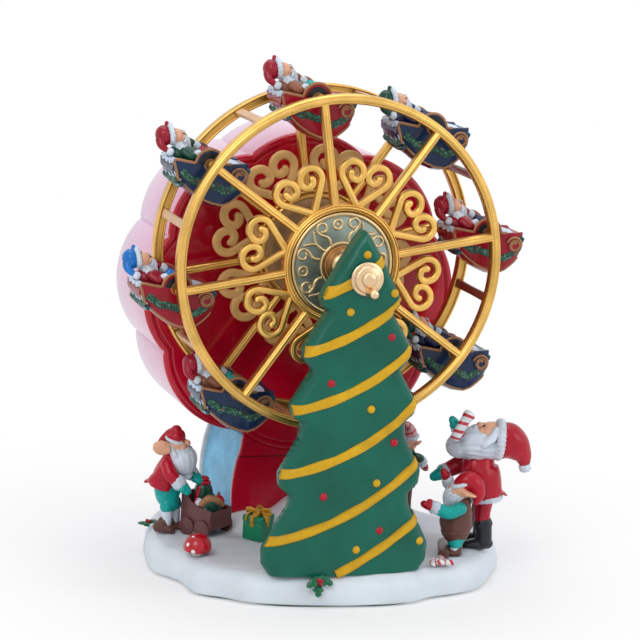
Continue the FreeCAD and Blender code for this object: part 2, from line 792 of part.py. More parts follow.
def wheel(label, y, face):
    """Rim, spokes, hub ring and heart scrolls in one casting; face is the side that is rounded."""
    owner = wheel_body(label, y)
    spoke = sketch(owner, "YZ_Plane", "sizes.hub_ring_radius - sizes.weld")
    half = "sizes.spoke_width / 2"
    low, high = f"({face}) * sizes.spoke_depth / 2", f"-({face}) * sizes.spoke_depth / 2"
    inner = f"({face}) * (sizes.spoke_depth / 2 - sizes.spoke_bevel)"
    polygon(spoke, [(high, f"-({half})"), (high, half), (inner, half),
                    (low, f"{half} - sizes.spoke_bevel"), (low, f"sizes.spoke_bevel - ({half})"),
                    (inner, f"-({half})")])
    reach = "sizes.ring_radius - sizes.ring_width - sizes.hub_ring_radius + 2 * sizes.weld"
    arm = grow(owner, spoke, reach)
    around(owner, [arm, *scroll(owner, "rod" if face == "-1" else "band")], "sizes.spoke_count")
    flat, round_face = f"-({face}) * sizes.ring_depth / 2", f"({face}) * sizes.ring_depth / 2"
    for outer, width in (("sizes.ring_radius", "sizes.ring_width"),
                         ("sizes.hub_ring_radius", "sizes.hub_ring_width")):
        rim = sketch(owner, "XY_Plane")
        polygon(rim, beveled_bar(f"{outer} - {width}", outer, flat, round_face, "sizes.ring_bevel"))
        spin(owner, rim)
    hole = sketch(owner, "XZ_Plane", f"-({face}) * (sizes.ring_depth / 2 - sizes.pin_spigot_length / 2)")
    for index in range(int(size("spoke_count"))):
        angle = f"360 / sizes.spoke_count * {index}"
        circle(hole, "sizes.pin_spigot_radius + sizes.press_gap", f"sizes.pivot_radius * cos({angle})",
               f"sizes.pivot_radius * sin({angle})")
    cut(owner, hole, "sizes.pin_spigot_length + 0.4", both_ways=True)


def medallions():
    """Cast discs that close the hub rings and carry the wheels on the axle."""
    outer = "sizes.hub_ring_radius - sizes.hub_ring_width - sizes.press_gap"
    bore = "sizes.axle_radius + sizes.press_gap"
    half = "sizes.disc_thickness / 2"
    front = wheel_body("front_medallion", "sizes.front_wheel_y")
    top = f"-({half}) - sizes.disc_relief"
    for inner, reach, low, high in (
            (bore, outer, f"-({half})", half),
            (bore, "sizes.disc_boss_radius", f"-({half}) - sizes.disc_boss_height", f"-({half})"),
            ("sizes.disc_rim_radius - sizes.disc_relief", "sizes.disc_rim_radius", top, f"-({half})")):
        spin(front, disc_profile(sketch(front, "XY_Plane"), inner, reach, low, high))
    rings = sketch(front, "XZ_Plane", top)
    circle(rings, "sizes.disc_ring_radius + sizes.disc_relief / 2", "sizes.disc_ring_reach")
    circle(rings, "sizes.disc_ring_radius - sizes.disc_relief / 2", "sizes.disc_ring_reach")
    ring = grow(front, rings, "sizes.disc_relief + 0.2")
    around(front, [ring], "sizes.spoke_count / 2")
    rear = wheel_body("rear_medallion", "sizes.rear_wheel_y")
    for reach, low, high in ((outer, f"-({half})", half),
                             ("sizes.disc_boss_radius", half, f"{half} + sizes.rear_boss_height")):
        spin(rear, disc_profile(sketch(rear, "XY_Plane"), bore, reach, low, high))


def tie_bars():
    """Eight flat bars that join the rims between the spokes."""
    owner = body("tie_bars", z="sizes.axle_height", y="sizes.middle_y", axis=Vector(0, -1, 0),
                 angle="sizes.first_spoke_angle + 180 / sizes.spoke_count")
    bar = sketch(owner, "XZ_Plane", "-sizes.pin_face")
    low, high = "sizes.pivot_radius - sizes.tie_thickness / 2", "sizes.pivot_radius + sizes.tie_thickness / 2"
    half = "sizes.tie_width / 2"
    polygon(bar, [(low, f"-{half}"), (high, f"-{half}"), (high, half), (low, half)])
    around(owner, [grow(owner, bar, "sizes.pin_face * 2")], "sizes.spoke_count")


def pivot_pins():
    """Sixteen pins: a spigot in the rim, a collar, and a stud in the sleigh's side."""
    owner = body("pivot_pins", z="sizes.axle_height", y="sizes.middle_y", axis=Vector(0, -1, 0),
                 angle="sizes.first_spoke_angle")
    side = "sizes.sleigh_width / 2"
    made = []
    for sign in ("", "-"):
        for radius, low, high in (
                ("sizes.pin_spigot_radius", "sizes.pin_face", "sizes.pin_face + sizes.pin_spigot_length"),
                ("sizes.pin_collar_radius", f"{side} + sizes.side_play", "sizes.pin_face"),
                ("sizes.pin_radius", f"{side} - sizes.pin_entry", f"{side} + sizes.side_play")):
            drawing = sketch(owner, "XY_Plane", "0", "sizes.pivot_radius")
            spots = [("0", f"{sign}({low})"), (radius, f"{sign}({low})"), (radius, f"{sign}({high})"),
                     ("0", f"{sign}({high})")]
            made.append(spin(owner, polygon(drawing, spots), own_axis=True))
    around(owner, made, "sizes.spoke_count")


# Axle, bushes and crank

def axle_line():
    """Axle, both bushes, the sleeve in front of the wheel, and the crank."""
    axis = "sizes.axle_height"
    bore = "sizes.axle_radius + sizes.running_gap"
    tight = "sizes.axle_radius + sizes.press_gap"
    tree_skin = "sizes.tree_front - sizes.garland_relief"
    crank_back = f"{tree_skin} - sizes.side_play"
    crank_front = f"{crank_back} - sizes.crank_thickness"
    end = "sizes.barrel_front + sizes.barrel_wall + 4"
    turned("axle", [("0", "sizes.axle_radius", crank_front, end)], z=axis)
    turned("tree_bush", [
        (bore, "sizes.bush_radius", tree_skin, "sizes.tree_back"),
        (bore, "sizes.bush_flange_radius", "sizes.tree_back", "sizes.tree_back + sizes.bush_flange"),
    ], z=axis)
    turned("drum_bush", [
        (bore, "sizes.bush_radius", "sizes.drum_front", "sizes.drum_front + sizes.drum_wall + 1"),
        (bore, "sizes.bush_flange_radius", "sizes.drum_front - sizes.bush_flange", "sizes.drum_front"),
    ], z=axis)
    boss = "sizes.front_wheel_y - sizes.disc_thickness / 2 - sizes.disc_boss_height"
    turned("hub_sleeve", [
        (tight, "sizes.sleeve_radius", "sizes.tree_back + sizes.bush_flange + sizes.side_play", boss),
    ], z=axis)
    crank = turned("crank", [
        (tight, "sizes.crank_radius", f"{crank_back} - sizes.crank_step", crank_back),
        (tight, "sizes.crank_radius - sizes.crank_rim", f"{crank_front}", f"{crank_back} - sizes.crank_step"),
        ("0", "sizes.crank_boss_radius", f"{crank_front} - sizes.crank_step * 2", crank_front),
    ], z=axis)
    peg = sketch(crank, "XZ_Plane", f"{crank_front} - sizes.peg_length")
    circle(peg, "sizes.peg_radius", "sizes.peg_radius / 2", "-sizes.peg_reach")
    grow(crank, peg, "sizes.peg_length + sizes.crank_step")


# Sleighs and riders

def sleigh_spot(index):
    """Pivot of one sleigh, as expressions."""
    angle = f"(sizes.first_spoke_angle + 360 / sizes.spoke_count * {index})"
    return f"sizes.pivot_radius * cos({angle})", f"sizes.axle_height + sizes.pivot_radius * sin({angle})"


def sleigh(index):
    """Boat-shaped sleigh with a humped side, a scrolled prow and an open cockpit."""
    x, z = sleigh_spot(index)
    owner = body(f"sleigh_{index + 1}", x=x, y="sizes.middle_y", z=z)
    hump = size("hump_radius")
    side = sketch(owner, "XZ_Plane")
    outline(side, [
        (-15.5, -2.5), (-15.0, 1.4), (-hump - 0.4, 0.8), ((0, hump), (hump, 0)), (8.4, -1.4),
        ((12.4, -0.6), (17.4, -2.8)), ((17.6, -8.6), (14.2, -13.6)),
        ((6.5, -19.0), (-1.5, -16.6)), (-8.5, -11.0), (-12.5, -7.0), (-15.5, -2.5),
    ])
    hull = grow(owner, side, "sizes.sleigh_width", both_ways=True)
    doc.recompute()
    keel = []
    for number, edge in enumerate(hull.Shape.Edges, start=1):
        box = edge.BoundBox
        flat = box.YLength < 0.01 and abs(abs(box.YMin) - size("sleigh_width") / 2) < 0.01
        if flat and box.ZMax < -10.9 and box.XMin > -9:
            keel.append(f"Edge{number}")
    bilge = owner.newObject("PartDesign::Chamfer", "bilge")
    bilge.Base = (hull, keel)
    bilge.Size = 2.6
    cockpit = sketch(owner, "XZ_Plane")
    polygon(cockpit, [("-13", "-sizes.cockpit_floor"), ("10.5", "-sizes.cockpit_floor"), ("12", "12"),
                      ("-13.6", "12")])
    cut(owner, cockpit, "sizes.sleigh_width - 2 * sizes.sleigh_wall", both_ways=True)
    volute = sketch(owner, "XZ_Plane")
    circle(volute, "sizes.prow_radius - 0.8", "12.9", "-5.4")
    grow(owner, volute, "sizes.sleigh_width + 2 * sizes.prow_proud", both_ways=True)
    bore = sketch(owner, "XZ_Plane")
    circle(bore, "sizes.pin_radius + sizes.pivot_gap")
    cut(owner, bore, "sizes.sleigh_width + 2", both_ways=True)


def ball(radius, x, y, z):
    """A sphere of a figure."""
    made = doc.addObject("Part::Sphere", "ball")
    return place(bind(made, Radius=radius), x, y, z)


def limb(start, end, wide, narrow, scale="1"):
    """A cone from one point to another, all in shares of a scale."""
    made = doc.addObject("Part::Cone", "limb")
    along = Vector(*end) - Vector(*start)
    made.Placement = Placement(Vector(), Rotation(Vector(0, 0, 1), along))
    bind(made, Radius1=f"{wide} * {scale}", Radius2=f"{narrow} * {scale}",
         Height=f"{along.Length} * {scale}")
    x, y, z = (f"{value} * {scale}" for value in start)
    return place(made, x, y, z)


def block(low, high, scale="1"):
    """A box between two corners, in shares of a scale."""
    made = doc.addObject("Part::Box", "block")
    bind(made, Length=f"{high[0] - low[0]} * {scale}", Width=f"{high[1] - low[1]} * {scale}",
         Height=f"{high[2] - low[2]} * {scale}")
    x, y, z = (f"{value} * {scale}" for value in low)
    return place(made, x, y, z)


def rider(index):
    """A figure leaning back in the sleigh, head to the left, legs under a blanket."""
    x, z = sleigh_spot(index)
    inner = size("sleigh_width") / 2 - size("sleigh_wall") - size("seat_play")
    floor = -size("cockpit_floor")
    pieces = [
        block((-12.6, -inner, floor), (8.2, inner, floor + 4.2)),
        limb((-10.3, 0, 4.6), (-2.0, 0, 0.2), 4.6, 5.2),
        limb((-2.0, -3.7, -0.6), (3.4, -3.8, 2.6), 2.8, 2.4),
        limb((-2.0, 3.7, -0.6), (3.4, 3.8, 2.6), 2.8, 2.4),
        limb((3.4, -3.8, 2.8), (6.6, -3.8, -2.0), 2.4, 1.8),
        limb((3.4, 3.8, 2.8), (6.6, 3.8, -2.0), 2.4, 1.8),
        limb((-12.0, 0, 6.8), (-10.6, 0, 9.6), 3.4, 3.0),
        ball("3.3", "-11.9", "0", "10.1"),
        ball("1.1", "-8.6", "0", "10.8"),
        limb((-9.8, 0, 8.8), (-6.6, 0, 3.8), 2.7, 1.4),
        limb((-15.6, 0, 10.8), (-13.0, 0, 11.5), 4.1, 3.9),
        ball("3.8", "-17.6", "0", "11.0"),
        limb((-20.0, -0.4, 9.2), (-17.0, -3.6, 4.2), 2.4, 1.3),
        limb((-9.5, -4.6, 4.4), (-3.6, -6.6, 3.8), 2.1, 1.8),
        limb((-9.5, 4.6, 5.2), (-2.0, 6.0, 5.4), 2.1, 1.8),
        ball("2.2", "-1.4", "-6.2", "4.3"),
        ball("2.2", "0", "5.8", "4.3"),
    ]
    fuse(f"rider_{index + 1}", pieces, x=x, y="sizes.middle_y", z=z)


# Movement in the drum

def gear_outline(teeth, module, turn):
    """Corners of a gear with straight-sided teeth and free backlash."""
    pitch = module * teeth / 2
    tip, root = pitch + 0.8 * module, pitch - 1.1 * module
    step = 2 * pi / teeth
    corners = []
    for k in range(teeth):
        middle = turn + k * step
        for reach, share in ((root, -0.30), (tip, -0.11), (tip, 0.11), (root, 0.30)):
            angle = middle + share * step
            corners.append((reach * cos(angle), reach * sin(angle)))
    return corners


def gear(owner, teeth, module, turn, start, thickness):
    """A toothed disc in a body, from a place along Y."""
    drawing = sketch(owner, "XZ_Plane", start)
    corners = gear_outline(int(size(teeth)), size(module), turn)
    outline(drawing, corners + [corners[0]])
    return grow(owner, drawing, thickness)


def spring_barrel():
    """Cup that holds the mainspring, fixed to the axle, with the great wheel at its open end."""
    owner = body("spring_barrel", z="sizes.axle_height")
    gear(owner, "great_teeth", "gear_size", radians(size("train_angle")), "sizes.great_front",
         "sizes.great_thickness")
    can = sketch(owner, "XZ_Plane", "sizes.barrel_front")
    circle(can, "sizes.barrel_radius")
    grow(owner, can, "sizes.barrel_length")
    hollow = sketch(owner, "XZ_Plane", "sizes.barrel_front + sizes.barrel_wall")
    circle(hollow, "sizes.barrel_radius - sizes.barrel_wall")
    cut(owner, hollow, "sizes.barrel_length")
    hub = sketch(owner, "XZ_Plane", "sizes.barrel_front")
    circle(hub, "sizes.bush_radius + 1")
    grow(owner, hub, "sizes.barrel_wall + 4")
    bore = sketch(owner, "XZ_Plane", "sizes.barrel_front")
    circle(bore, "sizes.axle_radius + sizes.press_gap")
    cut(owner, bore, "sizes.barrel_length")
    turned("barrel_cap", [("sizes.arbor_radius + sizes.running_gap", "sizes.barrel_radius - sizes.barrel_wall"
                           " - sizes.press_gap", "sizes.barrel_back - sizes.barrel_wall",
                           "sizes.barrel_back")], z="sizes.axle_height")


def spiral(inner):
    """Half circles that wind outwards from the arbor, as (middle, end) steps."""
    rail = []
    x = inner
    for half_turn in range(2 * int(size("spring_turns"))):
        sign = 1 if half_turn % 2 == 0 else -1
        radius = abs(x) + size("spring_pitch") / 4
        centre = x - sign * radius
        rail.append((x, (centre, sign * radius)))
        x = centre - sign * radius
    return rail, x


def mainspring():
    """Flat strip wound in half turns from the arbor's hook out to the barrel's wall."""
    owner = body("mainspring", z="sizes.axle_height")
    inner = size("arbor_hook_radius") + 0.2
    out, end_out = spiral(inner + size("spring_strip"))
    back, end_back = spiral(inner)
    path = [(inner + size("spring_strip"), 0)]
    for step, (start, middle) in enumerate(out):
        end = out[step + 1][0] if step + 1 < len(out) else end_out
        path.append((middle, (end, 0)))
    path.append((end_back, 0))
    for start, middle in reversed(back):
        path.append((middle, (start, 0)))
    path.append(path[0])
    first = "sizes.barrel_front + sizes.barrel_wall + 6"
    drawing = sketch(owner, "XZ_Plane", first)
    outline(drawing, path)
    grow(owner, drawing, f"sizes.barrel_back - sizes.barrel_wall - 0.8 - ({first})")


def winding_key():
    """Arbor in the barrel's middle, and the butterfly key on its outer end."""
    hook = "sizes.barrel_front + sizes.barrel_wall + 6"
    key = "sizes.drum_back + 3"
    turned("winding_arbor", [
        ("0", "sizes.arbor_hook_radius", hook, "sizes.barrel_back - sizes.barrel_wall - 0.8"),
        ("0", "sizes.arbor_radius", "sizes.barrel_back - sizes.barrel_wall - 0.8",
         f"{key} + sizes.key_stem"),
    ], z="sizes.axle_height")
    owner = turned("winding_key", [
        ("sizes.arbor_radius + sizes.press_gap", "sizes.arbor_radius + 2", key, f"{key} + sizes.key_stem"),
        ("0", "sizes.arbor_radius + 2", f"{key} + sizes.key_stem", f"{key} + sizes.key_stem + 3"),
    ], z="sizes.axle_height")
    wings = sketch(owner, "YZ_Plane")
    middle = f"{key} + sizes.key_stem + sizes.key_wing"
    for side in ("", "-"):
        circle(wings, "sizes.key_wing - 1", middle, f"{side}(sizes.key_wing - 1.5)")
        grow(owner, wings, "sizes.key_thickness", both_ways=True)
        wings = sketch(owner, "YZ_Plane")
    for side in ("", "-"):
        circle(wings, "sizes.key_wing - 4.2", middle, f"{side}(sizes.key_wing - 0.5)")
    cut(owner, wings, "sizes.key_thickness + 2", both_ways=True)


def plate(label, start, holes):
    """A movement plate with its bores."""
    owner = body(label)
    drawing = sketch(owner, "XZ_Plane", start)
    spots = pillar_spots()
    low_x, high_x = spots[0][0] - 5, spots[1][0] + 5
    low_z, high_z = spots[0][1] - 5, spots[2][1] + 5
    outline(drawing, [(low_x, low_z), (high_x, low_z), (high_x, high_z), (low_x, high_z), (low_x, low_z)])
    grow(owner, drawing, "sizes.plate_thickness")
    bores = sketch(owner, "XZ_Plane", start)
    for radius, x, z in holes:
        circle(bores, f"{radius} + sizes.running_gap", x, z)
    cut(owner, bores, "sizes.plate_thickness")
    return owner


def movement_plates():
    """Front plate, and bedplate with four pillars and the comb's bracket."""
    axis, cylinder = "sizes.axle_height", "sizes.cylinder_z"
    train = [("sizes.train_arbor_radius", "sizes.cylinder_x", cylinder),
             ("sizes.train_arbor_radius", "sizes.fan_x", cylinder)]
    front = "sizes.bridge_back - sizes.plate_thickness"
    plate("movement_front_plate", front, [("sizes.axle_radius + 0.4", "0", axis)] + train)
    owner = plate("bedplate", "sizes.bedplate_front", [("sizes.arbor_radius", "0", axis)] + train)
    pillars = sketch(owner, "XZ_Plane", "sizes.bridge_back")
    for x, z in pillar_spots():
        pillars.addGeometry(Part.Circle(Vector(x, z, 0), Vector(0, 0, 1), size("pillar_radius")), False)
    grow(owner, pillars, "sizes.cover_front - sizes.bridge_back")
    holes = sketch(owner, "XZ_Plane", "sizes.cover_front - sizes.screw_length")
    for x, z in pillar_spots():
        reach = size("screw_radius") + size("thread_gap")
        holes.addGeometry(Part.Circle(Vector(x, z, 0), Vector(0, 0, 1), reach), False)
    cut(owner, holes, "sizes.screw_length")
    bracket = sketch(owner, "XZ_Plane", "sizes.bridge_back + sizes.barrel_gap")
    top = f"({comb_top()} - sizes.comb_thickness)"
    left = "sizes.cylinder_x + sizes.comb_length - 8"
    right = "sizes.cylinder_x + sizes.comb_length"
    polygon(bracket, [(left, f"{top} - 6"), (right, f"{top} - 6"), (right, top), (left, top)])
    grow(owner, bracket, "sizes.bedplate_front - sizes.bridge_back - sizes.barrel_gap")


def comb_top():
    """Height of the comb's upper face, just clear of the pins."""
    return "(sizes.cylinder_z - sizes.cylinder_radius - sizes.pin_height - sizes.comb_gap)"


def comb():
    """Steel comb: a heel on the bracket and tuned teeth under the cylinder."""
    owner = body("comb")
    length, teeth = size("comb_length"), int(size("comb_teeth"))
    x, front = size("cylinder_x"), size("barrel_front") + 1
    width = size("great_front") - front - 1
    pitch = width / teeth
    path = [(x + length, front), (x + length, front + width)]
    for k in reversed(range(teeth)):
        near, far = front + k * pitch, front + (k + 0.8) * pitch
        path += [(x + length * 0.4, far + 0.2 * pitch), (x + length * 0.4, far), (x, far), (x, near)]
    path += [(x + length * 0.4, front), (x + length, front)]
    drawing = sketch(owner, "XY_Plane", f"{comb_top()} - sizes.comb_thickness")
    outline(drawing, path)
    grow(owner, drawing, "sizes.comb_thickness")


def cylinder():
    """Pinned tune cylinder with its pinion, its arbor and the fan's driving wheel."""
    owner = body("tune_cylinder", x="sizes.cylinder_x", z="sizes.cylinder_z")
    spin(owner, disc_profile(sketch(owner, "XY_Plane"), "0", "sizes.cylinder_radius",
                             "sizes.barrel_front", "sizes.great_front"))
    rows = int(size("comb_teeth"))
    front = size("barrel_front") + 1
    pitch = (size("great_front") - front - 1) / rows
    for first, count in ((0, "5"), (1, "4"), (2, "3")):
        pins = sketch(owner, "YZ_Plane", "sizes.cylinder_radius - 0.3")
        for row in range(first, rows, 3):
            circle(pins, "sizes.tune_pin_radius", str(front + (row + 0.4) * pitch))
        around(owner, [grow(owner, pins, "sizes.pin_height + 0.3")], count)
    low, high = "sizes.bridge_back - sizes.plate_thickness", "sizes.bedplate_front + sizes.plate_thickness"
    spin(owner, disc_profile(sketch(owner, "XY_Plane"), "0", "sizes.train_arbor_radius", low, high))
    drive = radians(size("train_angle")) + pi
    turn = drive + pi / size("pinion_teeth")
    gear(owner, "pinion_teeth", "gear_size", turn, "sizes.great_front", "sizes.great_thickness")
    gear(owner, "fan_gear_teeth", "fine_gear_size", pi, "sizes.bridge_back + 1", "sizes.fine_thickness")


def governor():
    """Fan that holds the tune's pace, with its pinion and arbor."""
    owner = body("governor_fan", x="sizes.fan_x", z="sizes.cylinder_z")
    turn = pi / size("fan_pinion_teeth")
    gear(owner, "fan_pinion_teeth", "fine_gear_size", turn, "sizes.bridge_back + 1", "sizes.fine_thickness")
    low, high = "sizes.bridge_back - sizes.plate_thickness", "sizes.bedplate_front + sizes.plate_thickness"
    spin(owner, disc_profile(sketch(owner, "XY_Plane"), "0", "sizes.train_arbor_radius", low, high))
    blade = sketch(owner, "XY_Plane")
    polygon(blade, [("-sizes.fan_radius", "sizes.barrel_front + 3"), ("sizes.fan_radius", "sizes.barrel_front + 3"),
                    ("sizes.fan_radius", "sizes.great_front - 1"), ("-sizes.fan_radius", "sizes.great_front - 1")])
    grow(owner, blade, "sizes.fan_thickness", both_ways=True)


# Figures and gifts on the snow

def standing_figure(label, height, x, y, heading, arms, ears=True, lean=0.0, extras=()):
    """A bearded figure in shares of its height, with extras in millimetres; it looks along its own +X."""
    tall = f"sizes.{height}"
    head_x = 0.03 + lean
    pieces = [
        block((-0.10, -0.15, 0), (0.13, -0.02, 0.10), tall),
        block((-0.10, 0.02, 0), (0.13, 0.15, 0.10), tall),
        limb((0, -0.085, 0.08), (-0.01, -0.08, 0.40), 0.062, 0.085, tall),
        limb((0, 0.085, 0.08), (-0.01, 0.08, 0.40), 0.062, 0.085, tall),
        limb((-0.02, 0, 0.30), (head_x - 0.02, 0, 0.66), 0.17, 0.12, tall),
        ball(f"0.13 * {tall}", f"{head_x} * {tall}", "0", f"0.78 * {tall}"),
        ball(f"0.13 * {tall}", f"{head_x + 0.07} * {tall}", "0", f"0.64 * {tall}"),
        ball(f"0.035 * {tall}", f"{head_x + 0.14} * {tall}", "0", f"0.79 * {tall}"),
        limb((head_x - 0.02, 0, 0.82), (head_x - 0.07, 0, 0.975), 0.135, 0.07, tall),
        ball(f"0.075 * {tall}", f"{head_x - 0.09} * {tall}", "0", f"0.92 * {tall}"),
    ]
    pieces += extras
    if ears:
        for side in (-1, 1):
            pieces.append(limb((head_x, side * 0.11, 0.76), (head_x - 0.06, side * 0.21, 0.80),
                               0.045, 0.015, tall))
    for shoulder, hand in arms:
        pieces.append(limb(shoulder, hand, 0.055, 0.05, tall))
        spot = [f"{value} * {tall}" for value in hand]
        pieces.append(ball(f"0.065 * {tall}", *spot))
    fuse(label, pieces, x=x, y=y, z="sizes.base_top", axis=Vector(0, 0, 1), angle=heading)


def figures():
    """The four standing figures."""
    standing_figure("cart_elf", "cart_elf_height", "-60.2", "23", "328",
                    [((0.02, -0.12, 0.58), (0.22, -0.13, 0.51)), ((0.02, 0.12, 0.58), (0.24, 0.12, 0.56))])
    thick, half = size("log_radius"), size("log_length") / 2
    log = limb((5.8, -half, thick), (5.8, half, thick), thick, thick)
    standing_figure("apron_elf", "apron_elf_height", "57", "-31", "160",
                    [((-0.02, -0.12, 0.62), (0.15, -0.19, 0.90)), ((-0.02, 0.12, 0.62), (0.24, 0.18, 0.66))],
                    extras=[log])
    thick = size("stick_radius")
    stick = limb((13.5, 10.6, 50.6), (6.4, 8.9, 62.2), thick, thick)
    hat_fold = [limb((-7.0, 0, 52.5), (-17.5, 0, 47.0), 5.4, 3.6), limb((-17.5, 0, 47.8), (-21.0, 0, 36.5), 3.6, 1.8)]
    beard = limb((-1.0, 0, 44.0), (9.5, 0, 38.0), 6.4, 3.6)
    standing_figure("tall_figure", "tall_figure_height", "71", "-19", "165",
                    [((0.02, -0.11, 0.68), (0.34, -0.10, 0.54)), ((0.02, 0.11, 0.68), (0.215, 0.135, 1.0))],
                    ears=False, lean=-0.08, extras=[stick, beard, *hat_fold])
    standing_figure("peeking_elf", "peeking_elf_height", "51", "17", "205",
                    [((0.0, -0.10, 0.66), (0.16, -0.12, 0.52)), ((0.0, 0.10, 0.66), (0.18, 0.12, 0.58))])


def cart():
    """Open cart whose sides rise in a curve to the back board, with wheels cast on."""
    owner = body("cart", x="-42.5", y="17", z="sizes.base_top", axis=Vector(0, 0, 1), angle="306")
    length, width, wall = size("cart_length") / 2, "sizes.cart_width / 2", size("cart_wall")
    bed, rim, top = size("cart_ride"), size("cart_front_height"), size("cart_height")
    side = sketch(owner, "XZ_Plane")
    outline(side, [(-length, bed), (length, bed), (length, rim), (0.0, rim + 0.8),
                   ((-length * 0.6, rim + 3), (wall - length, top)), (-length, top), (-length, bed)])
    grow(owner, side, "sizes.cart_width", both_ways=True)
    wheels = sketch(owner, "XZ_Plane")
    for sign in ("-", ""):
        circle(wheels, "sizes.cart_wheel_radius", f"{sign}(sizes.cart_length / 4)",
               "sizes.cart_wheel_radius")
    grow(owner, wheels, "sizes.cart_width + 2 * sizes.cart_wheel_width", both_ways=True)
    floor = "sizes.cart_ride + sizes.cart_wall"
    inside = sketch(owner, "XY_Plane", floor)
    near, far = "(sizes.cart_length / 2 - sizes.cart_wall)", f"({width} - sizes.cart_wall)"
    polygon(inside, [(f"-{near}", f"-{far}"), (near, f"-{far}"), (near, far), (f"-{near}", far)])
    cut(owner, inside, "sizes.cart_height")
    middle = sketch(owner, "XY_Plane")
    polygon(middle, [("-sizes.cart_length", f"-{far}"), ("sizes.cart_length", f"-{far}"),
                     ("sizes.cart_length", far), ("-sizes.cart_length", far)])
    cut(owner, middle, "sizes.cart_ride")


def cart_gifts():
    """Wrapped parcels and an ornament heaped in the cart."""
    floor = size("cart_ride") + size("cart_wall")
    half_x = size("cart_length") / 2 - size("cart_wall") - 0.1
    half_y = size("cart_width") / 2 - size("cart_wall") - 0.1
    pieces = [
        block((-half_x, -half_y, floor), (half_x, half_y, floor + 7.5)),
        block((-half_x + 0.2, -3.6, floor + 5), (0.6, 4.4, floor + 16)),
        ball("3.6", "2.9", "-1.5", str(floor + 8.6)),
        ball("2.6", "3.2", "3.2", str(floor + 8.4)),
    ]
    fuse("cart_gifts", pieces, x="-42.5", y="17", z="sizes.base_top", axis=Vector(0, 0, 1), angle="306")


def snow_trinkets():
    """Mushroom, gift box, holly, candy canes and the log step."""
    stem = rod("sizes.mushroom_radius * 0.45", "sizes.mushroom_height * 0.5", axis=Vector(0, 0, 1), angle="0")
    cap = doc.addObject("Part::Sphere", "cap")
    cap.Angle1 = 0
    bind(cap, Radius="sizes.mushroom_radius")
    place(cap, z="sizes.mushroom_height - sizes.mushroom_radius")
    fuse("mushroom", [stem, cap], x="-55.3", y="-15", z="sizes.base_top")
    side = size("gift_side") / 2
    tall = size("gift_height")
    pieces = [
        block((-side, -side, 0), (side, side, tall)),
        limb((-3.6, 0, tall + 1.2), (0, 0, tall - 0.2), 1.9, 0.8),
        limb((3.6, 0, tall + 1.2), (0, 0, tall - 0.2), 1.9, 0.8),
        ball("1.3", "0", "0", str(tall + 0.4)),
    ]
    fuse("gift_box", pieces, x="sizes.gift_x", y="sizes.gift_y", z="sizes.base_top",
         axis=Vector(0, 0, 1), angle="sizes.gift_turn")
    canes = []
    for y, angle in ((-42.6, 200), (-46.4, 172)):
        turn = radians(angle)
        start = (44.5 - 4.5 * cos(turn), y - 4.5 * sin(turn), size("cane_radius"))
        end = (44.5 + 4.5 * cos(turn), y + 4.5 * sin(turn), size("cane_radius"))
        canes.append(limb(start, end, size("cane_radius"), size("cane_radius")))
    fuse("candy_canes", canes, z="sizes.base_top")


def holly():
    """Holly leaves with a berry, lying flat on the snow at the left and the front."""
    pieces = []
    for x, y, turn in ((-61.5, 36.0, 30), (-66.0, 33.5, -60)):
        made = doc.addObject("Part::Ellipsoid", "leaf")
        made.Angle1 = 0
        made.Placement = Placement(Vector(), Rotation(Vector(0, 0, 1), turn))
        bind(made, Radius1="1.1", Radius2="3.6", Radius3="1.6")
        pieces.append(place(made, str(x), str(y), "0"))
    for x, z, turn in ((-16.6, 9.4, 25), (-11.2, 9.2, -30), (-14.4, 6.4, 90)):
        made = doc.addObject("Part::Ellipsoid", "front_leaf")
        made.Angle1 = 0
        upright = Rotation(Vector(1, 0, 0), 90)
        made.Placement = Placement(Vector(), Rotation(Vector(0, 1, 0), turn) * upright)
        bind(made, Radius1="1.1", Radius2="3.4", Radius3="1.5")
        pieces.append(place(made, str(x), "-57.8", f"{z} - sizes.base_top"))
    fuse("holly_sprig", pieces, z="sizes.base_top")


def build():
    """Every sub-part of the toy."""
    snow_base()
    felt_pad()
    base_screws()
    pedestal()
    drum_shell()
    back_cover()
    cover_screws()
    tree()
    tree_garlands()
    tree_balls()
    wheel("front_wheel", "sizes.front_wheel_y", "-1")
    wheel("rear_wheel", "sizes.rear_wheel_y", "1")
    medallions()
    tie_bars()
    pivot_pins()
    axle_line()
    for index in range(int(size("spoke_count"))):
        sleigh(index)
        rider(index)
    spring_barrel()
    mainspring()
    winding_key()
    movement_plates()
    comb()
    cylinder()
    governor()
    figures()
    cart()
    cart_gifts()
    snow_trinkets()
    holly()


def check():
    """Stop unless every object is sound and every cut took something away."""
    doc.recompute()
    for made in doc.Objects:
        if "Invalid" in made.State or "Error" in made.State:
            raise RuntimeError(f"{made.Name} could not be worked out")
        if made.TypeId in ("PartDesign::Pocket", "PartDesign::Groove"):
            if made.BaseFeature.Shape.Volume - made.Shape.Volume < 1e-6:
                raise RuntimeError(f"{made.Name} cuts nothing")
    for made in subparts:
        if made.Shape.isNull() or not made.Shape.isValid():
            raise RuntimeError(f"{made.Label} has no sound shape")


build()
check()
os.makedirs("parts", exist_ok=True)
for made in subparts:
    made.Shape.exportStep(f"parts/{made.Label}.step")
print(len(subparts), "sub-parts written")
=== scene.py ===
"""Painted looks of the wind-up musical ferris wheel, as an add-on that is run as a script."""

